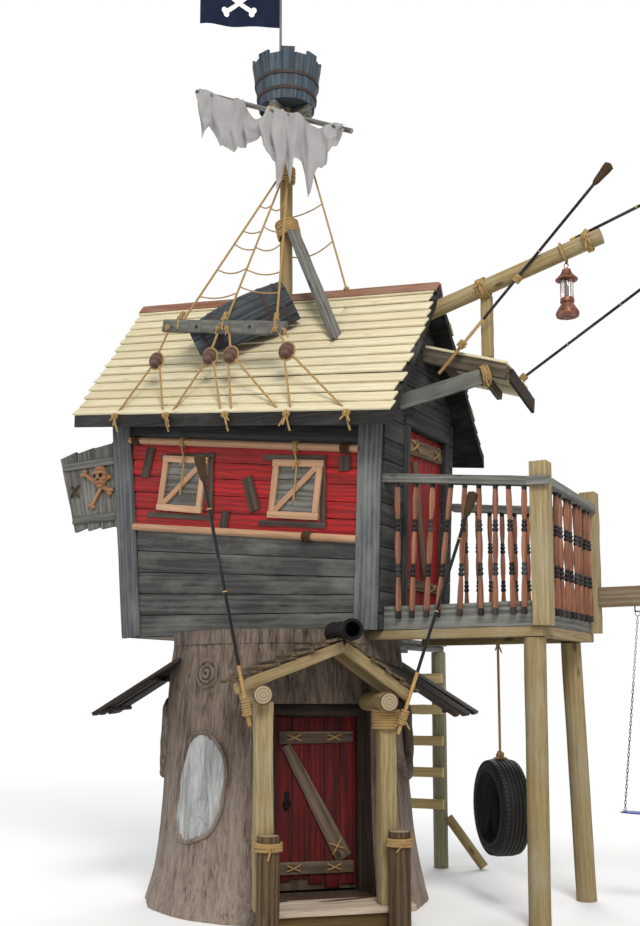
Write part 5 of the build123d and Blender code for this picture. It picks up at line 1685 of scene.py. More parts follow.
@dataclass
class Porch(Assembly):
    """Step, posts, log beams, lapped roof, rafters and the cannon on the ridge."""

    top: float = 0.15
    foot: float = 0.93
    out: float = 1.29
    inset: float = 0.03
    left: float = -0.47
    right: float = 0.61
    post_out: float = 1.215
    post_side: float = 0.118
    posts_at: tuple = ((-0.455, 1.57), (0.42, 1.52))
    beams_at: tuple = ((-0.49, 1.57), (0.395, 1.52))
    bollards_at: tuple = (-0.445, 0.465)
    bollard: tuple = (0.078, 0.65)
    beam_radius: float = 0.068
    beam_front: float = 1.37
    apex: tuple = (0.085, 1.96)
    eaves: tuple = ((-0.74, 1.64, 7), (0.60, 1.585, 5))
    roof_front: float = 1.35
    cannon_back: float = 1.02
    cannon_radius: float = 0.075
    cannon_long: float = 0.52
    cannon_rings: tuple = ((0.9, 0.045), (1, 0.06), (1, 0.085), (0.92, 0.09), (0.86, 0.22), (0.94, 0.225),
                           (0.94, 0.245), (0.84, 0.25), (0.78, 0.43), (0.86, 0.435), (0.95, 0.47), (1, 0.49))

    def step(self) -> None:
        """Boards of the step and its box."""
        yard, count, thick, side_thick = self.yard, 3, 0.045, 0.038
        width = (self.out - self.foot) / count
        z, boards = self.top - thick / 2, []
        for index in range(count):
            a = self.foot + width * (index + 0.5)
            ends = porch_point(a, self.left, z), porch_point(a, self.right, z)
            boards.append(yard.board(*ends, PORCH_OUT, width - 0.006, thick))
        z = (self.top - thick) / 2
        front, edge = self.out - self.inset, self.inset + side_thick / 2
        a = front - side_thick / 2
        ends = porch_point(a, self.left + self.inset, z), porch_point(a, self.right - self.inset, z)
        box = [yard.board(*ends, UP, 2 * z, side_thick)]
        for l in (self.left + edge, self.right - edge):
            box.append(yard.board(porch_point(0.9, l, z), porch_point(front - side_thick, l, z), UP, 2 * z, side_thick))
        yard.deliver("step_boards", boards, "pale_step_boards", stands_for=["porch_step"], slot="golden_wood")
        yard.deliver("step_box", box, "brown_step_box", slot="golden_wood")

    def posts(self) -> None:
        """Square posts, bark-covered bollards, log beams and their rope."""
        yard, posts, stumps, ropes, beams = self.yard, [], [], [], []
        side, (radius, height) = self.post_side, self.bollard
        for l, beam_z in self.posts_at:
            foot = porch_point(self.post_out, l, self.top)
            head = porch_point(self.post_out, l, beam_z - self.beam_radius * 0.7)
            posts.append(yard.board(foot, head, PORCH_OUT, side, side))
        a = self.post_out + side / 2 + radius
        for l in self.bollards_at:
            stumps.append(yard.log(porch_point(a, l, 0), porch_point(a, l, height), radius * 0.97))
            ropes += yard.lashing(porch_point(a, l, height - 0.07), UP, radius + 0.008, 3, 0.011)
            ropes += yard.knot(porch_point(a + radius + 0.01, l, height - 0.07), 0.018)
        for l, beam_z in self.beams_at:
            ends = porch_point(0.86, l, beam_z), porch_point(self.beam_front, l, beam_z)
            beams.append(yard.log(*ends, self.beam_radius))
        l, beam_z = self.posts_at[1]
        wrap = porch_point(self.post_out, l, beam_z - 0.12)
        ropes += [yard.ring(wrap + Vector((0, 0, (turn - 3) * 0.019)), UP, 0.091, 0.0105) for turn in range(7)]
        yard.deliver("square_posts", posts, "golden_timber", stands_for=["porch_posts"], slot="golden_wood")
        yard.deliver("bollard_logs", stumps, "dark_bark_logs", slot="dark_wood")
        yard.deliver("log_beams", beams, "peeled_log_wood", stands_for=["porch_beams"], slot="golden_wood")
        yard.deliver("porch_lashings", ropes, "straw_rope", slot="rope")

    def roof(self) -> None:
        """Lapped boards along the ridge, and rafters under them."""
        yard, boards, rafters = self.yard, [], []
        apex_l, apex_z = self.apex
        under = 0.06
        for eave_l, eave_z, count in self.eaves:
            run, fall = eave_l - apex_l, eave_z - apex_z
            slope = Vector((0, 0, fall)) + porch_point(0, run, 0)
            for index in range(count + 1):
                share = min(1.0, (index + 0.5) / count)
                l, z = apex_l + run * share, apex_z + fall * share + 0.006
                back = 0.78 if l > -0.475 else 0.76 + (-l - 0.475) / 0.266 * 0.59
                front = self.roof_front + yard.dice.uniform(-0.025, 0.012)
                if front - back > 0.08 and index < count:
                    side = slope.normalized() + Vector((0, 0, 0.16))
                    ends = porch_point(back, l, z), porch_point(front, l, z)
                    boards.append(yard.board(*ends, side, slope.length / count * 1.25, 0.02))
            for a in (self.roof_front - 0.045, 0.98):
                low = porch_point(a, eave_l * 0.92 + apex_l * 0.08, eave_z + (apex_z - eave_z) * 0.08 - under)
                if a > 1.2 or eave_l > 0:
                    rafters.append(yard.board(porch_point(a, apex_l, apex_z - under), low, UP, 0.078, 0.055, tone=0.9))
        yard.deliver("lapped_porch_boards", boards, "porch_roof_wood", stands_for=["porch_roof"], slot="porch_boards")
        yard.deliver("porch_rafters", rafters, "golden_timber", slot="golden_wood")

    def cannon(self) -> None:
        """Old iron gun barrel lying on the ridge."""
        r, long = self.cannon_radius, self.cannon_long
        outline = [(r * size, at) for size, at in self.cannon_rings]
        bore = [(r * 0.96, long), (0.055, long), (0.050, long - 0.006), (0.048, long - 0.16), (0.005, long - 0.16)]
        gun = turned([(0.01, 0.0), (0.03, 0.0), (0.035, 0.012), (0.02, 0.025), *outline, (r, long - 0.006), *bore], 32)
        z = self.apex[1] + r * 0.6
        stand(gun, *(porch_point(a, self.apex[0], z) for a in (self.cannon_back, self.cannon_back + long)))
        self.yard.deliver("old_gun_barrel", [gun], "black_iron", stands_for=["cannon"], slot="iron")

    def build(self) -> None:
        """Build the porch."""
        self.step()
        self.posts()
        self.roof()
        self.cannon()


@dataclass
class Door(Assembly):
    """Plank door of the trunk, with its ledges, brace, stitches and handle."""

    plane: float = 0.67
    left: float = -0.25
    right: float = 0.36
    bottom: float = 0.17
    top: float = 1.41
    casing: float = 0.733
    ledges: tuple = ((0.28, 0.095), (1.21, 0.095))
    handle: tuple = (-0.165, 0.80)
    steps: tuple = ((0.055, 0.0), (0.07, 0.006), (0.03, 0.0), (0.0, 0.004), (0.02, 0.0))

    def build(self) -> None:
        """Build the door."""
        self.planks_and_ledges()
        yard, side = self.yard, PORCH_SIDE
        l, z = self.handle
        back = self.plane + 0.017
        plate = yard.board(porch_point(back, l, z - 0.07), porch_point(back, l, z + 0.07), side, 0.035, 0.005)
        pull = yard.ring(porch_point(self.plane + 0.028, l, z - 0.02), PORCH_OUT, 0.026, 0.005)
        yard.deliver("door_handle", [plate, pull], "black_iron", "door", slot="iron")
        yard.paint("inner_trunk_wood", "trunk_door", "door_frame")
        face = self.casing
        casing = [yard.board(porch_point(face, l, 0.15), porch_point(face, l, 1.50), side, 0.056, 0.014)
                  for l in (self.left - 0.037, self.right + 0.037)]
        face += 0.006
        ends = porch_point(face, self.left - 0.06, 1.46), porch_point(face, self.right + 0.06, 1.445)
        casing.append(yard.board(*ends, UP, 0.08, 0.022))
        yard.deliver("door_casing", casing, "dark_rough_wood", slot="dark_wood")

    def planks_and_ledges(self) -> None:
        """Planks of the leaf, its ledges, its brace and the rope stitches."""
        yard, side, planks, bars, ropes = self.yard, PORCH_SIDE, [], [], []
        width = (self.right - self.left) / len(self.steps)
        for index, (drop, rise) in enumerate(self.steps):
            l = self.left + width * (index + 0.5)
            low = porch_point(self.plane + 0.007, l, self.bottom + 0.012 + drop)
            high = porch_point(self.plane + 0.007, l, self.top - 0.004 - rise)
            planks.append(yard.board(low, high, side, width - 0.008, 0.016))
        yard.deliver("door_planks", planks, "red_door_planks", "door", slot="red_boards")
        face = self.plane + 0.022
        for z, height in self.ledges:
            middle = z + height / 2
            ends = porch_point(face, self.left + 0.024, middle), porch_point(face, self.right - 0.024, middle)
            bars.append(yard.board(*ends, UP, height * 0.96, 0.022, height * 0.86))
            for share in (0.22, 0.72):
                centre = porch_point(face + 0.012, self.left + (self.right - self.left) * share, middle)
                ropes += yard.cross_stitch(centre, side * 0.05, Vector((0, 0, 0.022)))
        (low_z, low_tall), (high_z, _) = self.ledges
        start = porch_point(face, self.left + 0.075, high_z - 0.01)
        end = porch_point(face, self.right - 0.095, low_z + low_tall + 0.012)
        bars.append(yard.board(start, end, side, 0.075, 0.022, 0.13))
        centre = porch_point(face + 0.012, self.right - 0.15, low_z + low_tall + 0.10)
        ropes += yard.cross_stitch(centre, side * 0.045 + Vector((0, 0, 0.02)), side * -0.012 + Vector((0, 0, 0.04)))
        yard.deliver("door_ledges", bars, "olive_ledge_wood", "door", ["door_braces"], "golden_wood")
        yard.deliver("door_stitches", ropes, "straw_rope", "door", slot="rope")


@dataclass
class Cabin(Assembly):
    """Board-clad cabin that leans out at both ends, with its trim and shutters."""

    bottom: float = 2.04
    left: float = -1.43
    right: float = 0.97
    lean_left: float = 0.085
    lean_right: float = 0.037
    front: float = -0.31
    back: float = 0.97
    skin: float = 0.018
    corner: tuple = (0.19, 0.038)
    lower_pole: tuple = (2.99, 2.70)
    upper_pole: tuple = (3.74, 3.39)
    pole_radius: float = 0.032
    windows: tuple = ((-0.82, 3.295, 8.5), (0.278, 3.148, 7.0))
    gap: float = 0.178
    shutter: tuple = (0.455, 0.465, 0.022, 0.024, 0.055)
    side_door: tuple = (0.10, 0.78, 2.162, 3.64)
    patches: tuple = ((-1.19, 3.52, 14.0, 0.085, 0.26), (-0.14, 3.15, -17.0, 0.095, 0.29),
                      (-0.395, 2.965, 10.0, 0.075, 0.14),
                      (0.71, 3.31, 0.0, 0.10, 0.12))
    # dark strips round the shutters: painted shadows of the shutters
    shadow_sills: tuple = (((-1.183, 3.072), (-0.512, 2.985), 0.045), ((-0.067, 2.915), (0.545, 2.843), 0.045),
                    ((-1.05, 3.548), (-0.50, 3.505), 0.045), ((-0.03, 3.435), (0.545, 3.368), 0.045))
    shadow_jambs: tuple = (((-0.535, 3.482), (-0.535, 3.010), 0.05), ((0.519, 3.345), (0.521, 2.868), 0.05))
    wing: tuple = (-2.04, 3.0, 3.69, 0.29)
    bones: tuple = (((-1.93, 3.50), (-1.625, 3.31)), ((-1.83, 3.20), (-1.66, 3.45)))
    skull: tuple = (-1.735, 3.47)

    def edge_left(self, z: float) -> float:
        """The left end wall's outer face at a height."""
        return self.left - self.lean_left * (z - self.bottom)

    def edge_right(self, z: float) -> float:
        """The right end wall's outer face at a height."""
        return self.right + self.lean_right * (z - self.bottom)

    def roof_under(self, x: float, y: float) -> float:
        """The roof's underside over a place."""
        return roof_top(x, y) - ROOF_THICK

    def pole_line(self, pole: tuple, x: float) -> float:
        """Height of a trim pole's middle at a place."""
        return pole[0] + (pole[1] - pole[0]) * (x - self.left) / (self.right - self.left)

    @property
    def front_y(self) -> float:
        """Where the middle of the front boards lies."""
        return self.front - self.skin / 2

    def band(self, count: int, low: Callable[[float], float], high: Callable[[float], float], y: float,
             gaps: bool = False) -> list[Obj]:
        """Rows of boards between two sloping lines on the front or back.

        Args:
            count: how many rows.
            low: height of the lower line at an x.
            high: height of the upper line at an x.
            y: where the boards' middle lies.
            gaps: whether the window openings stay clear.

        Returns:
            The boards.
        """
        made, inset = [], self.corner[0] * 0.96
        for row in range(count):

            def level(x: float, edge: int) -> float:
                """Height of the row's lower or upper edge at a place."""
                return low(x) + (high(x) - low(x)) * ((row + edge) / count)

            middle = (level(0.0, 0) + level(0.0, 1)) / 2
            cuts = [self.edge_left(middle) + inset]
            for x, z, _ in self.windows if gaps else ():
                if abs(middle - z) < 0.25:
                    x0, x1 = x - self.gap, x + self.gap
                    cuts += [x0, x1]
                    rise = (level(x1, 0) - level(x0, 0)) / 2
                    below = level(x, 0), min(level(x, 1), z - 0.18)
                    above = max(level(x, 0), z + 0.18), level(x, 1)
                    for under, over in (below, above):
                        if over - under > 0.02:
                            at = (under + over) / 2
                            ends = (x0, y, at - rise), (x1, y, at + rise)
                            made.append(self.yard.board(*ends, UP, over - under - 0.006, self.skin))
            cuts.append(self.edge_right(middle) - inset)
            for ends in zip(cuts[::2], cuts[1::2]):
                first, last = ((x, y, (level(x, 0) + level(x, 1)) / 2) for x in ends)
                wide, tip = (level(x, 1) - level(x, 0) - 0.007 for x in ends)
                made.append(self.yard.board(first, last, UP, wide, self.skin, tip))
        return made

    def front_boards(self) -> None:
        """Grey rows below, red rows between the poles, rows under the eave darkened with painted shade, and the plain
        back.
        """
        clear = self.pole_radius * 0.6
        for name, count, finish, slot, y, gaps, low, high in (
            ("front_grey_boards", 5, "grey_wall_boards", "grey_boards", self.front_y, False,
             lambda x: self.bottom, lambda x: self.pole_line(self.lower_pole, x) - clear),
            ("front_red_boards", 5, "red_band_boards", "red_boards", self.front_y, True,
             lambda x: self.pole_line(self.lower_pole, x) + clear,
             lambda x: self.pole_line(self.upper_pole, x) - clear),
            # the rows under the eave wear painted shade
            ("front_top_boards", 3, "dark_wall_boards", "grey_boards", self.front_y, False,
             lambda x: self.pole_line(self.upper_pole, x) + clear, lambda x: self.roof_under(x, self.front_y) - 0.012),
            ("back_boards", 11, "grey_wall_boards", "grey_boards", self.back + self.skin / 2, False,
             lambda x: self.bottom, lambda x: self.roof_under(x, self.back + self.skin / 2) - 0.012),
        ):
            self.yard.deliver(name, self.band(count, low, high, y, gaps), finish, slot=slot)

    def end_rows(self, edge: Callable[[float], float], outward_way: int, levels: Sequence[float],
                 door: tuple | None) -> list[Obj]:
        """Rows of boards on an end wall, up into its gable.

        Args:
            edge: the wall's outer face at a height.
            outward_way: -1 for the left end, 1 for the right.
            levels: the heights of the rows' edges.
            door: the doorway to keep clear.

        Returns:
            The boards.
        """
        made = []
        for low, high in zip(levels[:-1], levels[1:]):
            x = edge(high)
            half = HALF_SPAN - (high + ROOF_THICK - EAVE_Z + ROOF_DROP * x) / ROOF_RISE - 0.004
            y0, y1 = max(self.front, RIDGE_Y - half), min(self.back, RIDGE_Y + half)
            if y1 - y0 < 0.08:
                continue
            spans = [(y0, y1)]
            if door and low >= door[2] - 0.001 and high <= door[3] + 0.001:
                spans = [(y0, door[0]), (door[1], y1)]
            for start, end in spans:
                z = (low + high) / 2
                reach = edge(z) + outward_way * self.skin / 2
                side = (edge(high) - edge(low), 0, high - low)
                made.append(self.yard.board((reach, start, z), (reach, end, z), side, high - low - 0.006, self.skin))
        return made

    def end_boards(self) -> None:
        """Boards on both end walls."""
        left_levels = [self.bottom + 0.168 * row for row in range(19)]
        _, _, z0, z1 = self.side_door
        beside_door = [z0 + (z1 - z0) / 9 * row for row in range(10)]
        right_levels = [self.bottom, *beside_door, *(z1 + 0.165 * row for row in range(1, 8))]
        rows = self.end_rows(self.edge_left, -1, left_levels, None)
        self.yard.deliver("left_end_boards", rows, "grey_wall_boards", slot="grey_boards")
        rows = self.end_rows(self.edge_right, 1, right_levels, self.side_door)
        # the right end wall wears painted shade
        self.yard.deliver("right_end_boards", rows, "dark_wall_boards", slot="grey_boards")

    def trim(self) -> None:
        """Corner boards, trim poles and their rope knots."""
        yard, corners = self.yard, []
        wide, thick = self.corner
        for y in (self.front - thick / 2, self.back + thick / 2):
            for edge, inward in ((self.edge_left, 1), (self.edge_right, -1)):
                top = self.roof_under(edge(4.1), y) - 0.004
                reach = min(top, self.roof_under(edge(4.1) + inward * wide, y)) if inward > 0 else top
                low = (edge(self.bottom) + inward * wide / 2, y, self.bottom)
                high = (edge(reach) + inward * wide / 2, y, reach - 0.01)
                corners.append(yard.board(low, high, RIGHT, wide, thick))
        yard.deliver("corner_boards_grey", corners, "corner_board_wood", stands_for=["corner_boards"],
                     slot="corner_wood")
        logs, ropes = [], []
        for pole, shares in ((self.upper_pole, (0.035, 0.95)), (self.lower_pole, (0.80,))):
            y = self.front - self.skin - 0.006
            x0, x1 = self.edge_left(pole[0]) + wide * 0.97, self.edge_right(pole[1]) - wide * 0.97
            start, end = (x0, y, self.pole_line(pole, x0)), (x1, y, self.pole_line(pole, x1))
            logs.append(yard.log(start, end, self.pole_radius * 0.94))
            for share in shares:
                at = Vector(start).lerp(Vector(end), share)
                ropes += yard.lashing(at, (1, 0, -0.13), self.pole_radius + 0.005, 7, 0.006)
                ropes += yard.knot(at + Vector((0, -self.pole_radius - 0.008, 0)), 0.012)
        yard.deliver("trim_logs", logs, "peach_frame_wood", stands_for=["trim_poles"], slot="pole_wood")
        yard.deliver("trim_knots", ropes, "dark_fibre_wrap", slot="rope")

    def nailed_patches(self) -> None:
        """Short weathered boards nailed over the red band, and dark boards round the shutters that are painted shadows
        of the shutters.
        """
        boards = []
        y = self.front - self.skin - 0.006
        for x, z, lean, wide, tall in self.patches:
            way = Vector((math.sin(math.radians(lean)), 0, math.cos(math.radians(lean)))) * tall / 2
            middle = Vector((x, y, z))
            boards.append(self.yard.board(middle - way, middle + way, RIGHT, wide, 0.011))
        self.yard.deliver("nailed_patches", boards, "dark_patch_wood", slot="grey_boards")
        # painted shadow: dark boards where the shutters' shadows fall on the wall
        casing = []
        for lines, side in ((self.shadow_sills, UP), (self.shadow_jambs, RIGHT)):
            for (x0, z0), (x1, z1), wide in lines:
                casing.append(self.yard.board((x0, y, z0), (x1, y, z1), side, wide, 0.011))
        self.yard.deliver("window_casings", casing, "dark_patch_wood", slot="grey_boards")

    def shutter_boards(self) -> None:
        """Crooked frames over grey boards, with rope hangers."""
        yard, frames, boards, ropes = self.yard, [], [], []
        wide, tall, board_t, frame_t, frame_w = self.shutter
        for x, z, turn in self.windows:
            spin = math.radians(turn)
            across = Vector((math.cos(spin), 0, math.sin(-spin)))
            up = Vector((math.sin(spin), 0, math.cos(spin)))
            middle = Vector((x, self.front - board_t / 2 - 0.001, z))
            half = across * wide * 0.52
            for index in range(3):
                centre = middle + up * (tall * (index - 1) / 3)
                boards.append(yard.board(centre - half, centre + half, up, tall / 3 - 0.003, board_t))
            face = middle + Vector((0, -(board_t + frame_t) / 2, 0))
            frames += self.shutter_frame(face, across, up)
            top = face + up * (tall / 2 - frame_w / 2) + Vector((0, -frame_t / 2, 0))
            pole_z = self.pole_line(self.upper_pole, x) - self.pole_radius
            line = [(x, self.front - 0.05, pole_z + 0.04), (x + 0.004, self.front - 0.055, pole_z - 0.04),
                    top + Vector((0, -0.008, 0.02)), top + Vector((-0.004, -0.012, -0.08)), top - up * 0.30]
            ropes.append(yard.rope(line, 0.007))
            ropes += yard.knot(top + Vector((0, -0.010, 0)), 0.013)
            hung_at = (x, self.front - self.skin - 0.006, pole_z + self.pole_radius)
            ropes += yard.lashing(hung_at, (1, 0, -0.14), self.pole_radius + 0.006, 3, 0.008)
        yard.deliver("shutter_boards", boards, "grey_spar_wood", stands_for=["shutters"], slot="shutter_wood")
        yard.deliver("shutter_frames", frames, "peach_frame_wood", slot="shutter_wood")
        yard.deliver("shutter_ropes", ropes, "straw_rope", slot="rope")

    def shutter_frame(self, face: Vector, across: Vector, up: Vector) -> list[Obj]:
        """Two rails, two stiles and a brace on one shutter.

        Args:
            face: the middle of the frame.
            across: the way of its rails.
            up: the way of its stiles.

        Returns:
            The boards.
        """
        yard, made, (wide, tall, _, frame_t, frame_w) = self.yard, [], self.shutter
        half, reach = across * wide * 0.51, up * (tall / 2 - frame_w)
        for sign in (-1, 1):
            rail = face + up * sign * (tall - frame_w) / 2
            made.append(yard.board(rail - half, rail + half, up, frame_w, frame_t))
            stile = face + across * sign * (wide - frame_w) / 2
            made.append(yard.board(stile - reach, stile + reach, across, frame_w * 0.96, frame_t * 0.94))
        corner = across * (wide / 2 - frame_w) + reach
        side = across.cross(Vector(BACK)) + across
        made.append(yard.board(face - corner, face + corner, side, frame_w * 0.85, frame_t * 0.9))
        return made

    def wing_shutter(self) -> None:
        """Wide leaf that hangs off the left corner, with its skull and bones."""
        yard, boards, count = self.yard, [], 4
        x0, z0, z1, taper = self.wing
        y = self.front + 0.03
        for index in range(count):
            left, right = (x0 + (self.left - x0) * edge / count for edge in (index, index + 1))
            lean, lean_next = ((1 - edge / count) * taper for edge in (index, index + 1))
            high = z1 + 0.022 * index
            rise = high - z0
            if index == count - 1:
                lean_next, right = self.lean_left, self.edge_left(z0)
            left_top, right_top = left - lean * rise, right - lean_next * rise
            low = Vector(((left + right) / 2, y, z0))
            top = Vector(((left_top + right_top) / 2, y, high))
            boards.append(yard.board(low, top, RIGHT, right - left - 0.005, 0.03, right_top - left_top - 0.006))
        face = y - 0.015
        for z, reach in ((3.09, 0.0), (3.58, -0.15)):
            start = (x0 + reach * 0.9 - 0.01, face - 0.011, z)
            end = (self.edge_left(z) - 0.015, face - 0.011, z + 0.005)
            boards.append(yard.board(start, end, UP, 0.07, 0.022))
        yard.deliver("wing_boards", boards, "grey_spar_wood", slot="shutter_wood")
        ropes = yard.cross_stitch((x0, face - 0.006, 3.35), Vector((0.045, 0, 0)), Vector((0, 0, 0.05)), 0.009)
        yard.deliver("wing_rope", ropes, "dark_fibre_wrap", slot="rope")
        self.skull_and_bones(face)

    def skull_and_bones(self, face: float) -> None:
        """Carved skull over two crossed bones on the wing shutter.

        Args:
            face: the y of the shutter's face.
        """
        bones = []
        for ends in self.bones:
            first, last = (Vector((x, face - 0.014, z)) for x, z in ends)
            bones.append(self.yard.log(first, last, 0.017))
            across = (last - first).cross(Vector(BACK)).normalized() * 0.017
            for tip in (first, last):
                bones += [self.ball(tip + across, 0.026, 0.6), self.ball(tip - across, 0.026, 0.6)]
        x, z = self.skull
        head = Vector((x, face - 0.030, z))
        bones += [self.ball(head, 0.082, 0.45), self.ball(head + Vector((0.006, 0, -0.072)), 0.048, 0.55)]
        self.yard.deliver("wing_skull", bones, "bone_wood", slot="shutter_wood", angle=60.0)
        # painted shade: black lumps stand for the shade inside the carved eye and nose holes
        holes = [self.ball(head + Vector((side, -0.031, -0.012)), 0.021, 0.35) for side in (-0.031, 0.031)]
        holes.append(self.ball(head + Vector((0.002, -0.032, -0.046)), 0.011, 0.4))
        self.yard.deliver("wing_skull_eyes", holes, "black_iron", slot="dark_wood", angle=60.0)

    def ball(self, centre: Vector, radius: float, flat: float) -> Obj:
        """A rounded lump, flattened front to back.

        Args:
            centre: the ball's middle.
            radius: its radius.
            flat: how flat it is from front to back.

        Returns:
            The ball.
        """
        made = add(bpy.ops.mesh.primitive_ico_sphere_add, subdivisions=3, radius=radius)
        places = points_of(made.data)
        places[:, 1] *= flat
        set_points(made.data, places + np.array(centre))
        write_grain(made.data, places + 0.3, 0.4)
        return made

    def upper_door(self) -> None:
        """Red plank door in the right end wall, with its casing."""
        yard, planks, (y0, y1, z0, z1) = self.yard, [], self.side_door
        foot_x, head_x, width = self.edge_right(z0), self.edge_right(z1), (y1 - y0) / 4
        for index in range(4):
            y = y0 + width * (index + 0.5)
            low, high = (foot_x - 0.019, y, z0 + 0.006), (head_x - 0.019, y, z1 - 0.006)
            planks.append(yard.board(low, high, BACK, width - 0.006, 0.014))
        yard.deliver("side_door_planks", planks, "red_band_boards", slot="red_boards")
        self.upper_ledges(y0, y1)
        casing, out = [], self.skin + 0.01
        for y in (y0 - 0.04, y1 + 0.04):
            casing.append(yard.board((foot_x + out, y, z0 - 0.02), (head_x + out, y, z1 + 0.04), BACK, 0.075, 0.02))
        x = head_x + self.skin + 0.012
        casing.append(yard.board((x, y0 - 0.08, z1 + 0.04), (x, y1 + 0.08, z1 + 0.04), UP, 0.08, 0.022))
        # the casing wears the painted shade of the right end wall
        yard.deliver("side_door_casing", casing, "dark_wall_boards", slot="golden_wood")

    def upper_ledges(self, y0: float, y1: float) -> None:
        """Ledges, brace and rope stitches of the upper door.

        Args:
            y0: the door's front edge.
            y1: its back edge.
        """
        yard, ropes, low_z = self.yard, [], 2.42
        x = self.edge_right(low_z)
        bars = [yard.board((x - 0.003, y0 + 0.02, low_z), (x - 0.003, y1 - 0.02, low_z), UP, 0.085, 0.018)]
        low, high = ((self.edge_right(z) - 0.003, y0 + inward, z) for z, inward in ((2.50, 0.40), (3.40, 0.16)))
        bars.append(yard.board(low, high, BACK, 0.08, 0.016))
        yard.deliver("side_door_ledges", bars, "olive_ledge_wood", slot="dark_wood")
        top_x = self.edge_right(3.53) + 0.001
        ledge = yard.board((top_x, y0 + 0.03, 3.50), (top_x, y1 - 0.03, 3.53), UP, 0.13, 0.02)
        yard.deliver("side_door_top_ledge", [ledge], "olive_ledge_wood", slot="golden_wood")
        for at, z, half_wide, half_tall, rope in ((top_x + 0.012, 3.515, 0.05, 0.035, 0.007),
                                                  (x + 0.006, low_z, 0.04, 0.028, 0.006)):
            for y in (y0 + 0.14, y1 - 0.14):
                ropes += yard.cross_stitch((at, y, z), Vector((0, half_wide, 0)), Vector((0, 0, half_tall)), rope)
        yard.deliver("side_door_stitches", ropes, "straw_rope", slot="rope")

    def build(self) -> None:
        """Build the cabin."""
        self.front_boards()
        self.end_boards()
        self.trim()
        self.nailed_patches()
        self.shutter_boards()
        self.wing_shutter()
        self.upper_door()
        self.yard.paint("dark_boards_x", "front_wall", "back_wall", "left_end_wall", "right_end_wall", "side_door")
        self.yard.paint("plain_boards_x", "cabin_floor")


@dataclass
class Roof(Assembly):
    """Steep board roof with its ridge dropping to the right."""

    left: float = -1.82
    right: float = 1.225
    eave_y: float = -0.57
    ridge_z: float = 4.99
    courses: int = 14
    step: float = 0.02
    ridge_board: tuple = (0.050, 0.104, 0.024)
    knots_at: tuple = (-1.36, -0.82, -0.23, 0.34, 0.86)

    def top(self, x: float, share: float) -> Vector:
        """Point on the front slope, a share of the way up from the eave.

        Args:
            x: the place along the ridge.
            share: the share of the way down.

        Returns:
            The place on top of the boards.
        """
        y = self.eave_y + (RIDGE_Y - self.eave_y) * share
        z = EAVE_Z + (self.ridge_z - EAVE_Z) * share - ROOF_DROP * x
        return Vector((x, y, z))

    def slope(self) -> tuple[Vector, Vector, float]:
        """Directions of the front slope.

        Returns:
            The way up it, the way out of it, and its length.
        """
        slope = self.top(0, 1.0) - self.top(0, 0.0)
        up = slope.normalized()
        return up, Vector((0, -up.z, up.y)), slope.length

    def lay(self, first: Vector, last: Vector, side: Vector, back: bool, size: tuple[float, float]) -> Obj:
        """Lay a board on the front slope, or in its mirror place on the back one.

        Args:
            first: the board's start on the front slope.
            last: its end there.
            side: the way that its width runs.
            back: whether it belongs to the back slope.
            size: its width and thickness.

        Returns:
            The board.
        """
        if back:
            first.y, last.y = 2 * RIDGE_Y - first.y, 2 * RIDGE_Y - last.y
            side = Vector((side.x, -side.y, side.z))
        return self.yard.board(first, last, side, *size)

    def course(self, index: int, back: bool) -> list[Obj]:
        """One row of boards, made of one or two lengths.

        Args:
            index: the course, from the eave up.
            back: whether it lies on the back slope.

        Returns:
            Its boards.
        """
        dice = self.yard.dice
        up, out, length = self.slope()
        width = length / self.courses
        share = (index + 0.5) / self.courses
        lean = up - out * (self.step / width)
        joint = dice.uniform(-0.9, 0.6)
        ends = [self.left - dice.uniform(-0.012, 0.02), joint, self.right + dice.uniform(-0.035, 0.012)]
        spans = list(zip(ends[:-1], ends[1:])) if index % 3 else [(ends[0], ends[2])]
        made = []
        for x0, x1 in spans:
            jog = dice.uniform(-0.004, 0.006)
            shift = out * (0.001 - self.step / 2 + 0.008) + up * (-0.004 + jog)
            first, last = self.top(x0 + 0.003, share) + shift, self.top(x1 - 0.003, share) + shift
            made.append(self.lay(first, last, lean, back, (width * 1.04, 0.017)))
        return made

    def build(self) -> None:
        """Build the roof."""
        yard = self.yard
        for name, back in (("front_roof_boards", False), ("back_roof_boards", True)):
            boards = [board for index in range(self.courses) for board in self.course(index, back)]
            yard.deliver(name, boards, "pale_roof_boards", slot="roof_boards")
        # painted shade: the roof slabs' edge and underside are painted near black
        yard.paint("dark_roof_underside", "roof_front", "roof_back")
        ridge, (reach, *size), (up, out, _) = [], self.ridge_board, self.slope()
        for back in (False, True):
            for ends in ((self.left, -0.31), (-0.30, self.right)):
                first, last = (self.top(x, 1.0) - up * reach + out * 0.012 for x in ends)
                ridge.append(self.lay(first, last, up, back, size))
        yard.deliver("ridge_boards", ridge, "rusty_ridge_boards", stands_for=["ridge_cap"], slot="ridge_wood")
        ropes = []
        for x in self.knots_at:
            at = self.top(x, 0.0) + Vector((0, -0.012, -0.02))
            ropes += yard.knot(at, 0.022)
            ropes.append(yard.rope([at, at + Vector((0.01, -0.01, -0.06)), at + Vector((0.02, 0.02, -0.13))], 0.008))
        yard.deliver("eave_knots", ropes, "straw_rope", slot="rope")


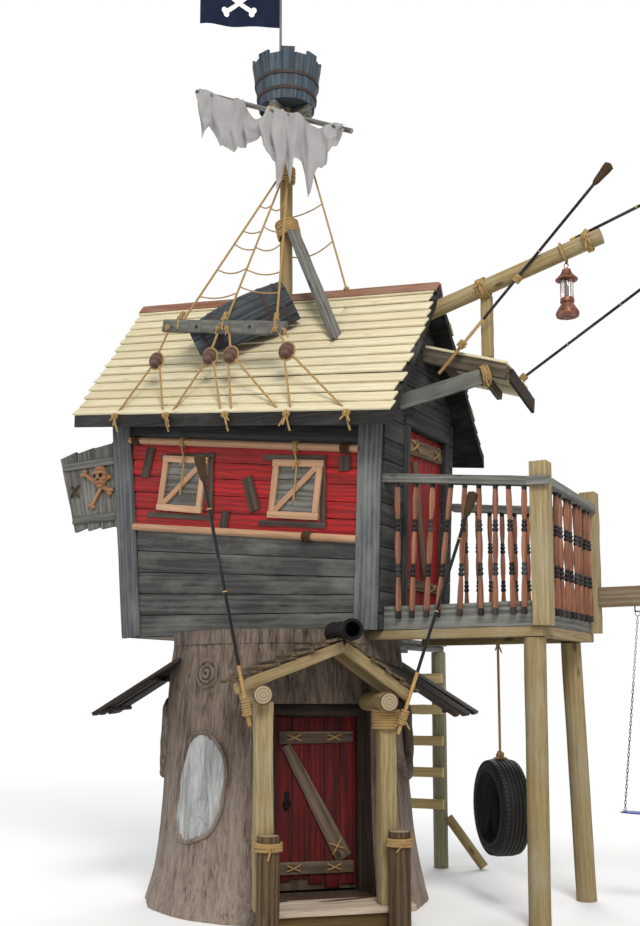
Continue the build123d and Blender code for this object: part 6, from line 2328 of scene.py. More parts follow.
@dataclass
class SideHood(Assembly):
    """Small board roof over the side door, its dark front board, beam and arm."""

    reach: tuple = (1.06, 1.79)
    ridge: tuple = (4.385, 4.14)
    low: tuple = (4.235, 4.0)
    sides: tuple = (0.33, 0.94)
    rows: int = 4

    def level(self, x: float, y: float) -> float:
        """The roof's top at a place.

        Args:
            x: the place outward.
            y: the place along the wall.

        Returns:
            The height of the boards' top.
        """
        along = (x - self.reach[0]) / (self.reach[1] - self.reach[0])
        across = (y - self.sides[0]) / (self.sides[1] - self.sides[0])
        top = self.ridge[0] + (self.ridge[1] - self.ridge[0]) * along
        return top + (self.low[0] - self.ridge[0]) * across

    def build(self) -> None:
        """Build the hood."""
        yard, boards, frame, ropes = self.yard, [], [], []
        x0, x1 = self.reach
        y0, y1 = self.sides
        width = (y1 - y0) / self.rows
        for row in range(self.rows):
            y = y0 + width * (row + 0.5)
            start = (max(x0, 1.09), y, self.level(max(x0, 1.09), y) - 0.018)
            end = (x1 + yard.dice.uniform(-0.03, 0.0), y, self.level(x1, y) - 0.018)
            side = (0, 1, (self.level(0, y1) - self.level(0, y0)) / (y1 - y0) + 0.09)
            boards.append(yard.board(start, end, side, width + 0.02, 0.022))
        yard.deliver("side_hood_boards", boards, "pale_roof_boards", stands_for=["side_hood_roof"], slot="roof_boards")
        board_z = 0.085
        start = (x1 - 0.014, y0 + 0.09, self.level(x1, y0 + 0.09) - board_z)
        end = (x1 - 0.014, y1 - 0.005, self.level(x1, y1) - board_z)
        front = yard.board(start, end, UP, 0.125, 0.026)
        yard.deliver("side_hood_front_board", [front], "dark_rough_wood", slot="dark_wood")
        slope = (self.ridge[1] - self.ridge[0]) / (x1 - x0)
        start = (1.045, y0 + 0.045, self.ridge[0] + (1.045 - x0) * slope - 0.095)
        end = (x1 - 0.03, y0 + 0.045, self.ridge[1] - 0.095)
        frame.append(yard.board(start, end, UP, 0.11, 0.09))
        arm = yard.board((1.03, -0.06, 3.80), (1.614, 0.307, 4.03), UP, 0.12, 0.045)
        yard.deliver("side_hood_arm", [arm], "grey_spar_wood", slot="golden_wood")
        for x in (1.20, 1.50):
            start = (x, y0 + 0.05, self.level(x, y0 + 0.05) - 0.075)
            end = (x, y1 - 0.03, self.level(x, y1) - 0.065)
            frame.append(yard.board(start, end, UP, 0.07, 0.045))
        yard.deliver("side_hood_timbers", frame, "weathered_brown_timber", stands_for=["side_hood_frame"],
                     slot="golden_wood")
        ropes += yard.lashing((1.60, 0.31, 4.03), (1, 0.6, 0.3), 0.072, 4, 0.009)
        ropes += yard.knot((1.62, 0.27, 4.0), 0.018)
        yard.deliver("side_hood_lashing", ropes, "straw_rope", slot="rope")


@dataclass
class BowLog(Assembly):
    """Log that runs out under the right gable, with its post and lashings."""

    start: Point = (1.063, 0.33, 4.6155)
    end: Point = (2.54, 0.33, 4.972)
    radius: float = 0.065

    def build(self) -> None:
        """Build the log."""
        yard = self.yard
        log_piece = yard.log(self.start, self.end, self.radius * 1.02, self.radius * 0.92)
        post = yard.board((1.60, 0.39, 4.19), (1.60, 0.39, 4.70), RIGHT, 0.08, 0.08)
        yard.deliver("bow_spar", [log_piece, post], "peeled_log_wood", stands_for=["bow_log"], slot="golden_wood")
        ropes = []
        first, way = Vector(self.start), Vector(self.end) - Vector(self.start)
        for share, turns in ((0.36, 5), (0.80, 1), (0.93, 3)):
            at = first + way * share
            ropes += yard.lashing(at, way, self.radius + 0.009, turns, 0.008)
            if share != 0.80:
                ropes += yard.knot(at + Vector((0, -self.radius - 0.014, 0.01)), 0.02)
        yard.deliver("bow_lashings", ropes, "straw_rope", slot="rope")


@dataclass
class Lantern(Assembly):
    """Copper lantern with glass that hangs from the bow log."""

    centre: tuple = (2.265, 0.33)
    bottom: float = 4.395
    top: float = 4.775
    radius: float = 0.088
    handle: tuple = ((-0.0001, -0.006), (0.018, 0.012), (0.014, 0.032), (0.0, 0.040), (-0.014, 0.032),
                     (-0.018, 0.012), (0.0001, -0.006))
    glass: tuple = ((0.50, 0.372), (0.55, 0.45), (0.55, 0.62), (0.50, 0.722))

    def build(self) -> None:
        """Build the lantern."""
        yard, r = self.yard, self.radius
        x, y = self.centre
        tall = self.top - self.bottom
        base = turned([(0.004, 0), (r * 0.95, 0), (r, 0.014), (r * 0.96, 0.035), (r * 0.75, tall * 0.17),
                       (r * 0.50, tall * 0.27), (r * 0.60, tall * 0.285), (r * 0.62, tall * 0.34),
                       (r * 0.56, tall * 0.37), (0.004, tall * 0.372)], 28)
        cap = turned([(0.004, tall * 0.72), (r * 0.72, tall * 0.725), (r * 0.95, tall * 0.745),
                      (r * 0.96, tall * 0.765), (r * 0.55, tall * 0.86), (r * 0.42, tall * 0.92),
                      (r * 0.36, tall * 0.965), (0.012, tall * 0.985), (0.004, tall)], 28)
        bars = []
        for index in range(4):
            angle = math.radians(45 + 90 * index)
            foot = Vector((math.cos(angle) * r * 0.60, math.sin(angle) * r * 0.60, tall * 0.36))
            head = Vector((foot.x, foot.y, tall * 0.735))
            bars.append(yard.rope([foot, head], 0.0035, 2))
        bars.append(yard.rope([(0, 0, tall * 0.365), (0, 0, tall * 0.725)], r * 0.14, 2))
        frame = [base, cap, *bars]
        frame.append(yard.rope([(x, 0, tall + rise) for x, rise in self.handle], 0.0035, 2))
        glass = turned([(r * size, tall * share) for size, share in self.glass], 28)
        place = Matrix.Translation((x, y, self.bottom))
        for piece in (*frame, glass):
            piece.data.transform(place)
        yard.deliver("lantern_frame", frame, "aged_copper", "lantern", ["lantern"], "copper")
        yard.deliver("lantern_glass_sides", [glass], "lamp_glass", "lantern")


@dataclass
class Deck(Assembly):
    """Raised plank deck with log posts and crooked spindle railings."""

    x: tuple = (0.975, 2.20)
    y: tuple = (-0.25, 1.0)
    bottom: float = 2.04
    top: float = 2.215
    rail_top: tuple = (3.21, 3.075)
    rail: tuple = (0.09, 0.065)
    newel_side: float = 0.125
    foot_z: float = 2.12
    heads: tuple = (1.08, 1.24, 1.38, 1.53, 1.64, 1.75, 1.88, 1.98, 2.10)
    spindle_brown: tuple = (((0.05, 0.019), (0.12, 0.022), (0.22, 0.020), (0.305, 0.015)),
                            ((0.395, 0.015), (0.46, 0.020), (0.52, 0.0215), (0.58, 0.020), (0.645, 0.015)),
                            ((0.725, 0.015), (0.80, 0.020), (0.88, 0.022), (0.97, 0.018)))
    spindle_black: tuple = (((0.0, 0.020), (0.02, 0.022), (0.055, 0.020)),
                            ((0.30, 0.016), (0.31, 0.022), (0.325, 0.022), (0.335, 0.014), (0.345, 0.021),
                             (0.36, 0.021), (0.37, 0.014), (0.385, 0.020), (0.40, 0.015)),
                            ((0.635, 0.016), (0.645, 0.022), (0.66, 0.022), (0.67, 0.014), (0.68, 0.021),
                             (0.695, 0.021), (0.705, 0.014), (0.715, 0.020), (0.73, 0.015)),
                            ((0.965, 0.019), (1.0, 0.020)))
    feet: tuple = (1.08, 1.19, 1.31, 1.40, 1.58, 1.75, 1.86, 2.00, 2.08)

    def on_edge(self, z: float, wide: float, thick: float, *spans: tuple) -> list[Obj]:
        """Level boards on edge at one height.

        Args:
            z: the height of their middle.
            wide: their depth.
            thick: their thickness.
            *spans: x and y of each board's start and end.

        Returns:
            The boards.
        """
        return [self.yard.board((xa, ya, z), (xb, yb, z), UP, wide, thick) for xa, ya, xb, yb in spans]

    def boards(self) -> None:
        """Floor boards, rim, joists and girders."""
        yard, (x0, x1), (y0, y1) = self.yard, self.x, self.y
        thick, count = 0.03, 9
        width = (y1 - y0 - 0.076) / count
        z, floor = self.top - thick / 2, []
        for index in range(count):
            y = y0 + 0.038 + width * (index + 0.5)
            floor.append(yard.board((x0, y, z), (x1 - 0.040, y, z), BACK, width - 0.006, thick))
        yard.deliver("deck_boards", floor, "grey_rail_wood", stands_for=["deck_floor"], slot="deck_wood")
        rim = self.on_edge((self.bottom + self.top) / 2, 0.175, 0.038,
                           (x0 + 0.005, y0 + 0.019, x1, y0 + 0.019),
                           (x1 - 0.019, y0 + 0.042, x1 - 0.019, y1 - 0.042),
                           (x0 + 0.005, y1 - 0.019, x1, y1 - 0.019))
        yard.deliver("deck_rim", rim, "grey_rail_wood", stands_for=["deck_frame"], slot="deck_wood")
        joists = self.on_edge(2.112, 0.135, 0.05, *((x, y0 + 0.042, x, y1 - 0.042) for x in (1.33, 1.63, 1.93)))
        girders = self.on_edge(2.004, 0.069, 0.088,
                               (x1 - 0.046, y0 + 0.092, x1 - 0.046, y1 - 0.092),
                               *((0.76, y, x1 - 0.002, y) for y in (y0 + 0.046, y1 - 0.046)))
        yard.deliver("deck_bearers", joists + girders, "golden_timber", slot="golden_wood")

    def posts(self) -> None:
        """Log posts below and square newels above."""
        yard = self.yard
        logs = [yard.log((2.061, -0.043, 0.0), (2.115, -0.167, 1.968), 0.077),
                yard.log((2.070, 1.030, 0.0), (2.035, 0.917, 1.968), 0.077)]
        yard.deliver("deck_log_posts", logs, "peeled_log_wood", stands_for=["deck_posts"], slot="golden_wood")
        half = self.newel_side / 2
        front = yard.board((2.20, -0.21875, self.bottom), (2.20, -0.21875, 3.183), RIGHT, 2 * half, 2 * half)
        back = yard.board((2.20, 0.96875, self.bottom), (2.20, 0.96875, 3.15), RIGHT, 2 * half, 2 * half)
        yard.deliver("newel_posts", [front, back], "golden_timber", slot="golden_wood")

    def spindle(self, foot: Point, head: Point, outlines: tuple) -> list[Obj]:
        """Turn the lengths of one colour of a baluster, between two points.

        Args:
            foot: its lower end.
            head: its upper end.
            outlines: for each length, pairs of a share of the height and a radius.

        Returns:
            The lengths, in their place.
        """
        long, made = (Vector(head) - Vector(foot)).length, []
        for outline in outlines:
            rings = [(size, at * long) for at, size in outline]
            piece = turned([(0.002, rings[0][1]), *rings, (0.002, rings[-1][1])], 12)
            grain_along_z(piece, self.yard.dice.random())
            made.append(stand(piece, foot, head))
        return made

    def railing(self, start: Vector, end: Vector, feet: Sequence[float], heads: Sequence[float], out: Point,
                name: str, stands_for: str) -> None:
        """Top rail with its spindles.

        Args:
            start: the rail's middle at one end.
            end: the rail's middle at the other end.
            feet: shares of the rail's length where the spindles' feet stand.
            heads: the same for their heads.
            out: the way that the rail's depth runs.
            name: the railing's name.
            stands_for: the frame node that it replaces.
        """
        yard = self.yard
        wide, deep = self.rail
        rail = yard.board(start, end, out, wide, deep)
        cap_at = Vector((0, 0, deep / 2 - 0.004))
        yard.deliver(name + "_rail", [rail], "grey_rail_wood", stands_for=[stands_for], slot="deck_wood")
        brown, black = [], []
        for foot, head in zip(feet, heads):
            low = start.lerp(end, foot)
            high = start.lerp(end, head) - cap_at
            low.z = self.foot_z
            brown += self.spindle(low, high, self.spindle_brown)
            black += self.spindle(low, high, self.spindle_black)
        yard.deliver(name + "_spindles", brown, "turned_spindle_wood", slot="spindle_wood", angle=50.0)
        yard.deliver(name + "_beads", black, "burnt_spindle_wood", slot="spindle_wood", angle=50.0)

    def build(self) -> None:
        """Build the deck."""
        self.boards()
        self.posts()
        _, deep = self.rail
        x0, inner, low_x = 1.016, 2.1375, 0.97
        y_front, y_back, x_right = -0.2743, 1.0243, 2.2243
        left_z, right_z = self.rail_top[0] - 0.005, self.rail_top[1]
        start, end = Vector((x0, y_front, left_z - deep / 2)), Vector((inner, y_front, right_z - deep / 2))
        feet, heads = ([(x - low_x) / (inner - low_x) for x in places] for places in (self.feet, self.heads))
        self.railing(start, end, feet, heads, BACK, "front", "front_railing")
        z = right_z - deep / 2
        lap = self.yard.board((2.13, -0.302, z), (2.292, -0.302, z - 0.006), UP, deep, 0.034)
        self.yard.deliver("front_rail_lap", [lap], "grey_rail_wood", slot="deck_wood")
        feet = [(index + 0.5) / 9 for index in range(9)]
        heads = [share + (0.02 if index % 2 else -0.02) for index, share in enumerate(feet)]
        start, end = Vector((x_right, -0.156, z)), Vector((x_right, 0.906, right_z - deep))
        self.railing(start, end, feet, heads, RIGHT, "right", "right_railing")
        start, end = Vector((x0, y_back, left_z - deep)), Vector((inner, y_back, right_z - deep))
        shares = [0.1 + 0.87 * index / 9 for index in range(9)]
        self.railing(start, end, shares, shares, BACK, "back", "back_railing")


@dataclass
class Ladder(Assembly):
    """Ladder of boards on two log posts behind the trunk, with its landing."""

    posts: tuple = (-0.26, 0.47)
    y: float = 1.915
    radius: float = 0.068
    rungs: tuple = (0.52, 0.285, 5)

    def build(self) -> None:
        """Build the ladder."""
        yard = self.yard
        logs = [yard.log((x, self.y, 0.0), (x, self.y, 1.95), self.radius * 0.98) for x in self.posts]
        yard.deliver("ladder_posts", logs, "grey_green_post_wood", stands_for=["ladder"], slot="golden_wood")
        brace = yard.log((0.54, 1.93, 0.45), (0.855, 1.991, 0.020), 0.043)
        yard.deliver("ladder_brace", [brace], "peeled_log_wood", slot="golden_wood")
        boards = []
        first, step, count = self.rungs
        x0, x1 = self.posts
        for index in range(count):
            z = first + step * index + 0.045
            ends = (x0 - self.radius, 1.837, z), (x1 + self.radius, 1.837, z + 0.004)
            boards.append(yard.board(*ends, UP, 0.088, 0.038))
        yard.deliver("ladder_boards", boards, "pale_rung_wood", slot="golden_wood")
        landing = []
        for index in range(7):
            y = 0.99 + 0.142 * index + 0.06
            landing.append(yard.board((-0.325, y, 2.022), (0.535, y, 2.022), BACK, 0.135, 0.034))
        for x in (-0.26, 0.10, 0.47):
            landing.append(yard.board((x, 0.93, 1.977), (x, 1.98, 1.977), UP, 0.052, 0.06))
        yard.deliver("landing_boards", landing, "grey_rail_wood", stands_for=["ladder_landing"], slot="deck_wood")


@dataclass
class Mast(Assembly):
    """Mast with its look-out tub, yard, furled sail, flag and leaning spar."""

    x: float = -0.234
    y: float = 0.33
    foot: float = 4.98
    top: float = 7.31
    radius: float = 0.058
    tub: tuple = (6.74, 7.18, 0.245, 0.310, 0.026, 16)
    yard_z: float = 6.62
    yard_y: float = 0.0627
    yard_half: float = 0.90
    yard_tilt: float = 27.0
    pole: tuple = (-0.303, 6.78, 8.20)
    flag_tall: float = 0.60
    sail_wide: float = 1.72
    ties: tuple = (0.07, 0.325, 0.50, 0.60, 0.71, 0.90)
    sail_line: tuple = ((0.0, 0.16, 0.0), (0.03, 0.40, 0.0), (0.06, 0.50, 0.0), (0.10, 0.34, 0.0),
                        (0.17, 0.48, 0.02), (0.25, 0.50, 0.02), (0.33, 0.44, 0.0), (0.41, 0.34, 0.13),
                        (0.45, 0.26, 0.08), (0.50, 0.44, 0.0), (0.54, 0.50, 0.0), (0.575, 0.76, 0.01),
                        (0.60, 0.66, 0.0), (0.615, 0.46, 0.01), (0.645, 0.66, 0.01), (0.68, 0.42, 0.0),
                        (0.71, 0.42, 0.0), (0.755, 0.72, 0.03), (0.79, 0.66, 0.05), (0.82, 0.42, 0.06),
                        (0.87, 0.36, 0.03), (0.93, 0.22, 0.0), (1.0, 0.05, 0.0))

    def staves(self) -> None:
        """Staved tub with iron hoops on crossed bearers."""
        yard = self.yard
        low, high, r0, r1, wall, count = self.tub
        staves, hoops, beams = [], [], []
        wide = 2 * math.pi * r0 / count
        for index in range(count):
            angle = 2 * math.pi * (index + 0.5) / count
            drop = 0.045 if index % 2 == 0 else yard.dice.uniform(0.0, 0.012)
            way, side = round_way(angle), round_way(angle + math.pi / 2)
            r_top = r0 + (r1 - r0) * (high - drop - low) / (high - low)
            start = Vector((self.x, self.y, low)) + way * (r0 - wall / 2)
            end = Vector((self.x, self.y, high - drop)) + way * (r_top - wall / 2)
            staves.append(yard.board(start, end, side, wide * 0.975, wall, wide * r_top / r0 * 0.975))
        hole = self.radius + 0.004
        floor = turned([(hole, 0.012), (r0 - wall, 0.012), (r0 - wall + 0.004, 0.04), (hole, 0.04)], 32)
        floor.data.transform(Matrix.Translation((self.x, self.y, low)))
        write_grain(floor.data, points_of(floor.data), 0.5)
        yard.deliver("tub_staves", [*staves, floor], "slate_blue_staves", stands_for=["look_out_tub"],
                     slot="slate_wood")
        for share in (0.17, 0.47):
            reach, grow = r0 + (r1 - r0) * share + 0.008, (r1 - r0) * 0.06
            outside = reach + 0.003
            band = turned([(reach, 0.0), (outside, 0.0), (outside + grow, 0.028), (reach + grow, 0.028)], 48)
            band.data.transform(Matrix.Translation((self.x, self.y, low + (high - low) * share)))
            hoops.append(band)
        yard.deliver("tub_hoops", hoops, "rusty_hoop", slot="iron")
        middle = Vector((self.x, self.y, low - 0.061))
        for quarter in range(4):
            way = round_way(quarter * math.pi / 2)
            start, end = middle + way * (self.radius + 0.005), middle + way * (r0 - 0.002)
            beams.append(yard.board(start, end, UP, 0.116, 0.058))
        yard.deliver("tub_bearers", beams, "grey_spar_wood", slot="pole_wood")

    def spars(self) -> None:
        """Mast, yard, flag pole and spar plank."""
        yard = self.yard
        mast = yard.log((self.x, self.y, self.foot), (self.x, self.y, self.top), self.radius * 0.99, self.radius * 0.93)
        yard.deliver("mast_log", [mast], "upright_mast_wood", stands_for=["mast"], slot="pole_wood")
        tilt = math.radians(self.yard_tilt)
        reach = Vector((self.yard_half * math.cos(tilt), 0, -self.yard_half * math.sin(tilt)))
        middle = Vector((self.x, self.yard_y, self.yard_z))
        x, low, high = self.pole
        poles = [yard.log(middle - reach, middle + reach, 0.0216),
                 yard.log((x, self.y, low), (x, self.y, high), 0.0108)]
        plank = yard.board((0.494, -0.06, 4.40), (-0.12, 0.254, 5.57), (0.55, 0.8, 0.1), 0.108, 0.035)
        yard.deliver("yard_and_poles", [*poles, plank], "grey_spar_wood", stands_for=["spars"], slot="pole_wood")
        ropes = []
        for share in (-0.45, 0.0, 0.36):
            ropes += yard.lashing(middle + reach * share, reach, 0.027, 3, 0.006)
        ropes += yard.lashing((self.x, self.y, self.yard_z + 0.02), (0, 0.1, 1), self.radius + 0.010, 5, 0.009)
        ropes += yard.lashing((self.x, self.y, 6.13), UP, self.radius + 0.012, 7, 0.010)
        ropes += yard.lashing((self.x + 0.03, self.y - 0.02, 5.61), (-0.25, 0, 1), self.radius + 0.036, 7, 0.011)
        sling = ((0.05, self.y, 0.03), (0.04, self.yard_y, 0.035), (-0.04, self.yard_y, 0.03), (-0.05, self.y, 0.0))
        ropes.append(yard.rope([(self.x + side, y, self.yard_z + rise) for side, y, rise in sling], 0.010))
        yard.deliver("mast_lashings", ropes, "straw_rope", slot="rope")


    def sail(self) -> None:
        """Bunched torn sail hanging under the tilted yard."""
        tilt = math.radians(self.yard_tilt)
        along = Vector((math.cos(tilt), 0, -math.sin(tilt)))
        middle = Vector((self.x, self.yard_y - 0.012, self.yard_z))
        stations, drops, dips = (np.array(values) for values in zip(*self.sail_line))

        def hang(u: float, v: float, _: float) -> Point:
            """Gather one point of the flat cloth between the ties and let it hang.

            Args:
                u: its place across the cloth, from -0.5 to 0.5.
                v: its place up the cloth, from -0.5 to 0.5.

            Returns:
                Its place in the scene.
            """
            across, down = u + 0.5, 0.5 - v
            drop, dip = (float(np.interp(across, stations, values)) for values in (drops, dips))
            near = min(self.ties, key=lambda tie: abs(across - tie))
            loose = min(1.0, abs(across - near) / 0.10)
            pull = (near - across) * 0.35 * (1.0 - down) * (1.0 - loose)
            rag = 0.022 * noise.noise(Vector((across * 60.0, 1.0, 4.0))) * down ** 4
            fall = dip + (drop - dip) * down + rag
            phase = across * 62.0 + 3.4 * noise.noise(Vector((across * 4.0, down * 1.3, 3.0)))
            crease = 0.012 * noise.noise(Vector((across * 26.0, down * 3.0, 7.0)))
            fold = (0.030 - 0.012 * loose) * math.sin(phase) + crease
            belly = 0.055 * math.sin(down * math.pi) * loose * math.sin(min(1.0, down * 1.4) * 2.2)
            sway = 0.05 * noise.noise(Vector((across * 6.0, down * 3.0, 11.0))) * down
            lift = Vector((0, -0.022, 0.030 * (1.0 - min(1.0, dip / 0.05)) - fall))
            at = middle + along * (self.sail_wide * (across + pull) - self.sail_wide / 2 + sway) + lift
            at.y += fold * (0.4 + 0.6 * min(1.0, down * 5.0)) - belly
            return at

        cloth = outward(self.cloth(190, 90, hang))
        piece = self.yard.deliver("furled_sail", [cloth], "torn_sailcloth", stands_for=["sail"],
                                  slot="sailcloth", angle=70.0)

    def cloth(self, across: int, down: int, rule: Callable[[float, float, float], Point]) -> Obj:
        """Bring a flat grid into its hanging shape.

        Args:
            across: faces across the cloth.
            down: faces down the cloth.
            rule: gives a point's place from its place on the flat cloth.

        Returns:
            The cloth.
        """
        flat = add(bpy.ops.mesh.primitive_grid_add, x_subdivisions=across, y_subdivisions=down, size=1.0, calc_uvs=True)
        return reshape(flat, rule)

    def banner(self) -> None:
        """Navy flag that streams from its pole with rising waves."""
        pole_x, _, _ = self.pole

        def stream(u: float, v: float, _: float) -> Point:
            """Let one point of the flat cloth wave.

            Args:
                u: its place across the cloth, from -0.5 to 0.5.
                v: its place up the cloth, from -0.5 to 0.5.

            Returns:
                Its place in the scene.
            """
            share, up = 0.5 - u, v + 0.5
            wave = 0.005 * math.sin(share * 11.0 + 0.8) * min(1.0, share * 5.0)
            ripple = 0.018 * math.sin(share * 9.0 + up) * share
            x = pole_x - 0.012 - 0.895 * share
            return x, self.y + wave, 7.57 + self.flag_tall * up + 0.33 * share + ripple

        cloth = self.cloth(90, 60, stream)
        piece = self.yard.deliver("navy_flag", [cloth], "navy_flag_cloth", stands_for=["flag"],
                                  slot="flag_cloth", angle=70.0)

    def build(self) -> None:
        """Build the mast."""
        self.staves()
        self.spars()
        self.sail()
        self.banner()


@dataclass
class Rigging(Assembly):
    """Half barrel over the ridge, holed board, deadeyes, shrouds and ratlines."""

    barrel: tuple = ((-0.772, -0.161, 4.43), (-0.056, 0.181, 4.82))
    barrel_radii: tuple = (0.265, 0.305)
    board: tuple = ((-0.97, 4.704), (0.25, 4.474))
    board_tall: float = 0.108
    plank_y: float = -0.44
    eave_y: float = -0.561
    eyes: tuple = (-1.005, -0.455, -0.25, 0.28)
    eye_radius: float = 0.066
    hung: tuple = (-0.90, -0.39, -0.30, 0.16)
    feet: tuple = ((-1.37, -0.86), (-0.79, -0.28), (-0.18, 0.28), (0.37, 0.86))
    shrouds: tuple = (-0.80, -0.35, 0.155)
    mast: tuple = (-0.234, 0.301, 6.15)
    holes: tuple = ((-0.618, 4.573), (-0.353, 4.528), (-0.091, 4.483), (0.158, 4.440))

    def board_z(self, x: float) -> float:
        """Height of the board's middle at a place."""
        (x0, z0), (x1, z1) = self.board
        return z0 + (z1 - z0) * (x - x0) / (x1 - x0) - self.board_tall / 2

    def eye_at(self, x: float) -> Vector:
        """Middle of the deadeye at a place along the board."""
        return Vector((x, -0.48, 4.34 - (x - self.eyes[0]) * 0.0943))

    def staves(self) -> None:
        """Staves of the half barrel, bent over it and cut off at the roof."""
        yard, (first, last), (end_r, mid_r) = self.yard, self.barrel, self.barrel_radii
        long, place = (Vector(last) - Vector(first)).length, place_on(first, last, UP)
        count, staves = 20, []
        for index in range(count):
            angle = 2 * math.pi * index / count
            at = place @ Vector((long / 2, math.cos(angle) * mid_r, math.sin(angle) * mid_r))
            if self.above_roof(at) < -0.03:
                continue
            stave = yard.copy(yard.board_pattern(0.088, 0.022, index % 3), long, Matrix.Identity(4))
            places = points_of(stave.data)
            bulge = end_r + (mid_r - end_r) * np.sin(places[:, 0] / long * math.pi) - 0.012
            across, rise = places[:, 1] * bulge / mid_r * 1.08, places[:, 2] + bulge
            places[:, 1] = np.cos(angle) * rise - np.sin(angle) * across
            places[:, 2] = np.sin(angle) * rise + np.cos(angle) * across
            set_points(stave.data, places)
            stave.data.transform(place)
            self.cut_to_roof(stave)
            staves.append(stave)
        yard.deliver("barrel_staves_dark", staves, "barrel_staves", stands_for=["half_barrel"], slot="barrel_wood")

    def heads_and_hoops(self) -> None:
        """Ends and hoops of the half barrel."""
        yard, (first, last), (end_r, mid_r) = self.yard, self.barrel, self.barrel_radii
        way, place = Vector(last) - Vector(first), place_on(first, last, UP)
        turn = place.to_3x3()
        heads, hoops, across, side = [], [], turn @ Vector(UP), turn @ Vector(BACK)
        for at in (0.018, way.length - 0.018):
            for row in range(5):
                offset = (row - 2) * 0.098
                half = math.sqrt(max(0.01, (end_r - 0.02) ** 2 - (abs(offset) + 0.045) ** 2))
                centre = place @ Vector((at, offset, 0))
                low, high = centre - across * half, centre + across * half
                if max(self.above_roof(low), self.above_roof(high)) > 0.03:
                    head = yard.board(low, high, side, 0.094, 0.016)
                    self.cut_to_roof(head)
                    heads.append(head)
        yard.deliver("barrel_heads", heads, "barrel_staves", slot="barrel_wood")
        for share in (0.10, 0.24, 0.76, 0.90):
            reach = end_r + (mid_r - end_r) * math.sin(share * math.pi) + 0.003
            inner, outer = reach - 0.002, reach + 0.002
            band = turned([(inner, -0.014), (outer, -0.015), (outer, 0.015), (inner, 0.014)], 60)
            middle = Matrix.Translation(Vector(first) + way * share)
            band.data.transform(middle @ turn.to_4x4() @ Matrix.Rotation(math.pi / 2, 4, "Y"))
            self.cut_to_roof(band)
            hoops.append(band)
        yard.deliver("barrel_hoops", hoops, "rusty_hoop", slot="iron")

    def above_roof(self, at: Vector) -> float:
        """How far a place lies over the roof's top."""
        return at.z - roof_top(at.x, at.y)

    def cut_to_roof(self, obj: Obj) -> None:
        """Cut an object off at the roof's front slope.

        Args:
            obj: the object.
        """

        def work() -> None:
            """Cut at the slope's plane and close the cut."""
            bpy.ops.mesh.select_all(action="SELECT")
            bpy.ops.mesh.bisect(plane_co=(0.0, RIDGE_Y, BARREL_CUT_Z), plane_no=(ROOF_DROP, -ROOF_RISE, 1.0),
                                use_fill=True, clear_inner=True)

        shape(obj, work)

    def bore(self, plank: Obj) -> None:
        """Bore the rope holes through the plank.

        Args:
            plank: the plank, already in its place.
        """
        for x, z in self.holes:
            drill = add(bpy.ops.mesh.primitive_cylinder_add, vertices=20, radius=0.019, depth=0.2,
                        location=(x, self.plank_y, z), rotation=(math.pi / 2, 0, 0))
            finish_modifier(plank, "bored_hole", "BOOLEAN", {"object": drill, "operation": "DIFFERENCE"})
            bpy.data.objects.remove(drill, do_unlink=True)

    def ropes(self) -> None:
        """Shrouds with their ratlines, lanyards and knots."""
        yard, ropes = self.yard, []
        x, y, z = self.mast
        lines = []
        for index, foot in enumerate(self.shrouds):
            top = Vector((x + (index - 1) * 0.036, y, z))
            end = Vector((foot, self.plank_y, self.board_z(foot)))
            lines.append((top, end))
            ropes.append(yard.rope([top, top.lerp(end, 0.5), end], 0.0095))
            edge = end + Vector((0, 0, self.board_tall / 2 + 0.012))
            ropes += yard.knot(edge, 0.018)
            ropes += yard.lashing(edge + (top - end).normalized() * 0.04, top - end, 0.013, 4, 0.008)
            ropes.append(yard.rope([edge, end + Vector((0, -0.030, 0.01)), end + Vector((0, -0.024, -0.03))], 0.0085))
        for share in (0.22, 0.37, 0.50, 0.66, 0.79):
            for (top_a, end_a), (top_b, end_b) in zip(lines[:-1], lines[1:]):
                first = top_a.lerp(end_a, share + yard.dice.uniform(-0.035, 0.03))
                last = top_b.lerp(end_b, share + yard.dice.uniform(-0.03, 0.035))
                ropes.append(yard.sagging(first, last, 0.006, yard.dice.uniform(0.015, 0.055)))
        top, end = Vector((0.03, 0.10, 6.47)), Vector((0.384, 0.30, 4.96))
        ropes.append(yard.rope([top, top.lerp(end, 0.5), end], 0.0085))
        ropes += yard.knot(end, 0.017)
        for share, height, sag in ((0.50, 5.72, 0.02), (0.72, 5.36, 0.06)):
            ropes.append(yard.sagging((x + 0.055, 0.30, height), top.lerp(end, share), 0.006, sag))
        x1 = self.board[1][0]
        for drop in (0.05, 0.09, 0.07):
            start = Vector((x1 - 0.03, self.plank_y - 0.02, self.board_z(x1)))
            last = start + Vector((yard.dice.uniform(0.02, 0.07), -0.02, -drop))
            ropes.append(yard.rope([start, start.lerp(last, 0.5) + Vector((0.02, 0, 0.01)), last], 0.006))
        for index, (eye, hung, feet) in enumerate(zip(self.eyes, self.hung, self.feet)):
            centre = self.eye_at(eye)
            top = Vector((hung, self.plank_y, self.board_z(hung)))
            ropes.append(yard.rope([top, top.lerp(centre, 0.5), centre + Vector((0, 0, 0.04))], 0.0095))
            ropes += yard.knot(top + Vector((0, -0.03, -0.02)), 0.015)
            ropes.append(yard.ring(centre, BACK, self.eye_radius + 0.006, 0.008))
            for side, foot in zip((-1, 1), feet):
                start = centre + Vector((side * 0.029, 0, -0.02))
                end = Vector((foot, self.eave_y, EAVE_Z - ROOF_DROP * foot - 0.009))
                ropes.append(yard.rope([start, start.lerp(end, 0.5), end], 0.0092))
        yard.deliver("rigging_cordage", ropes, "straw_rope", stands_for=["rigging_ropes"], slot="rope")

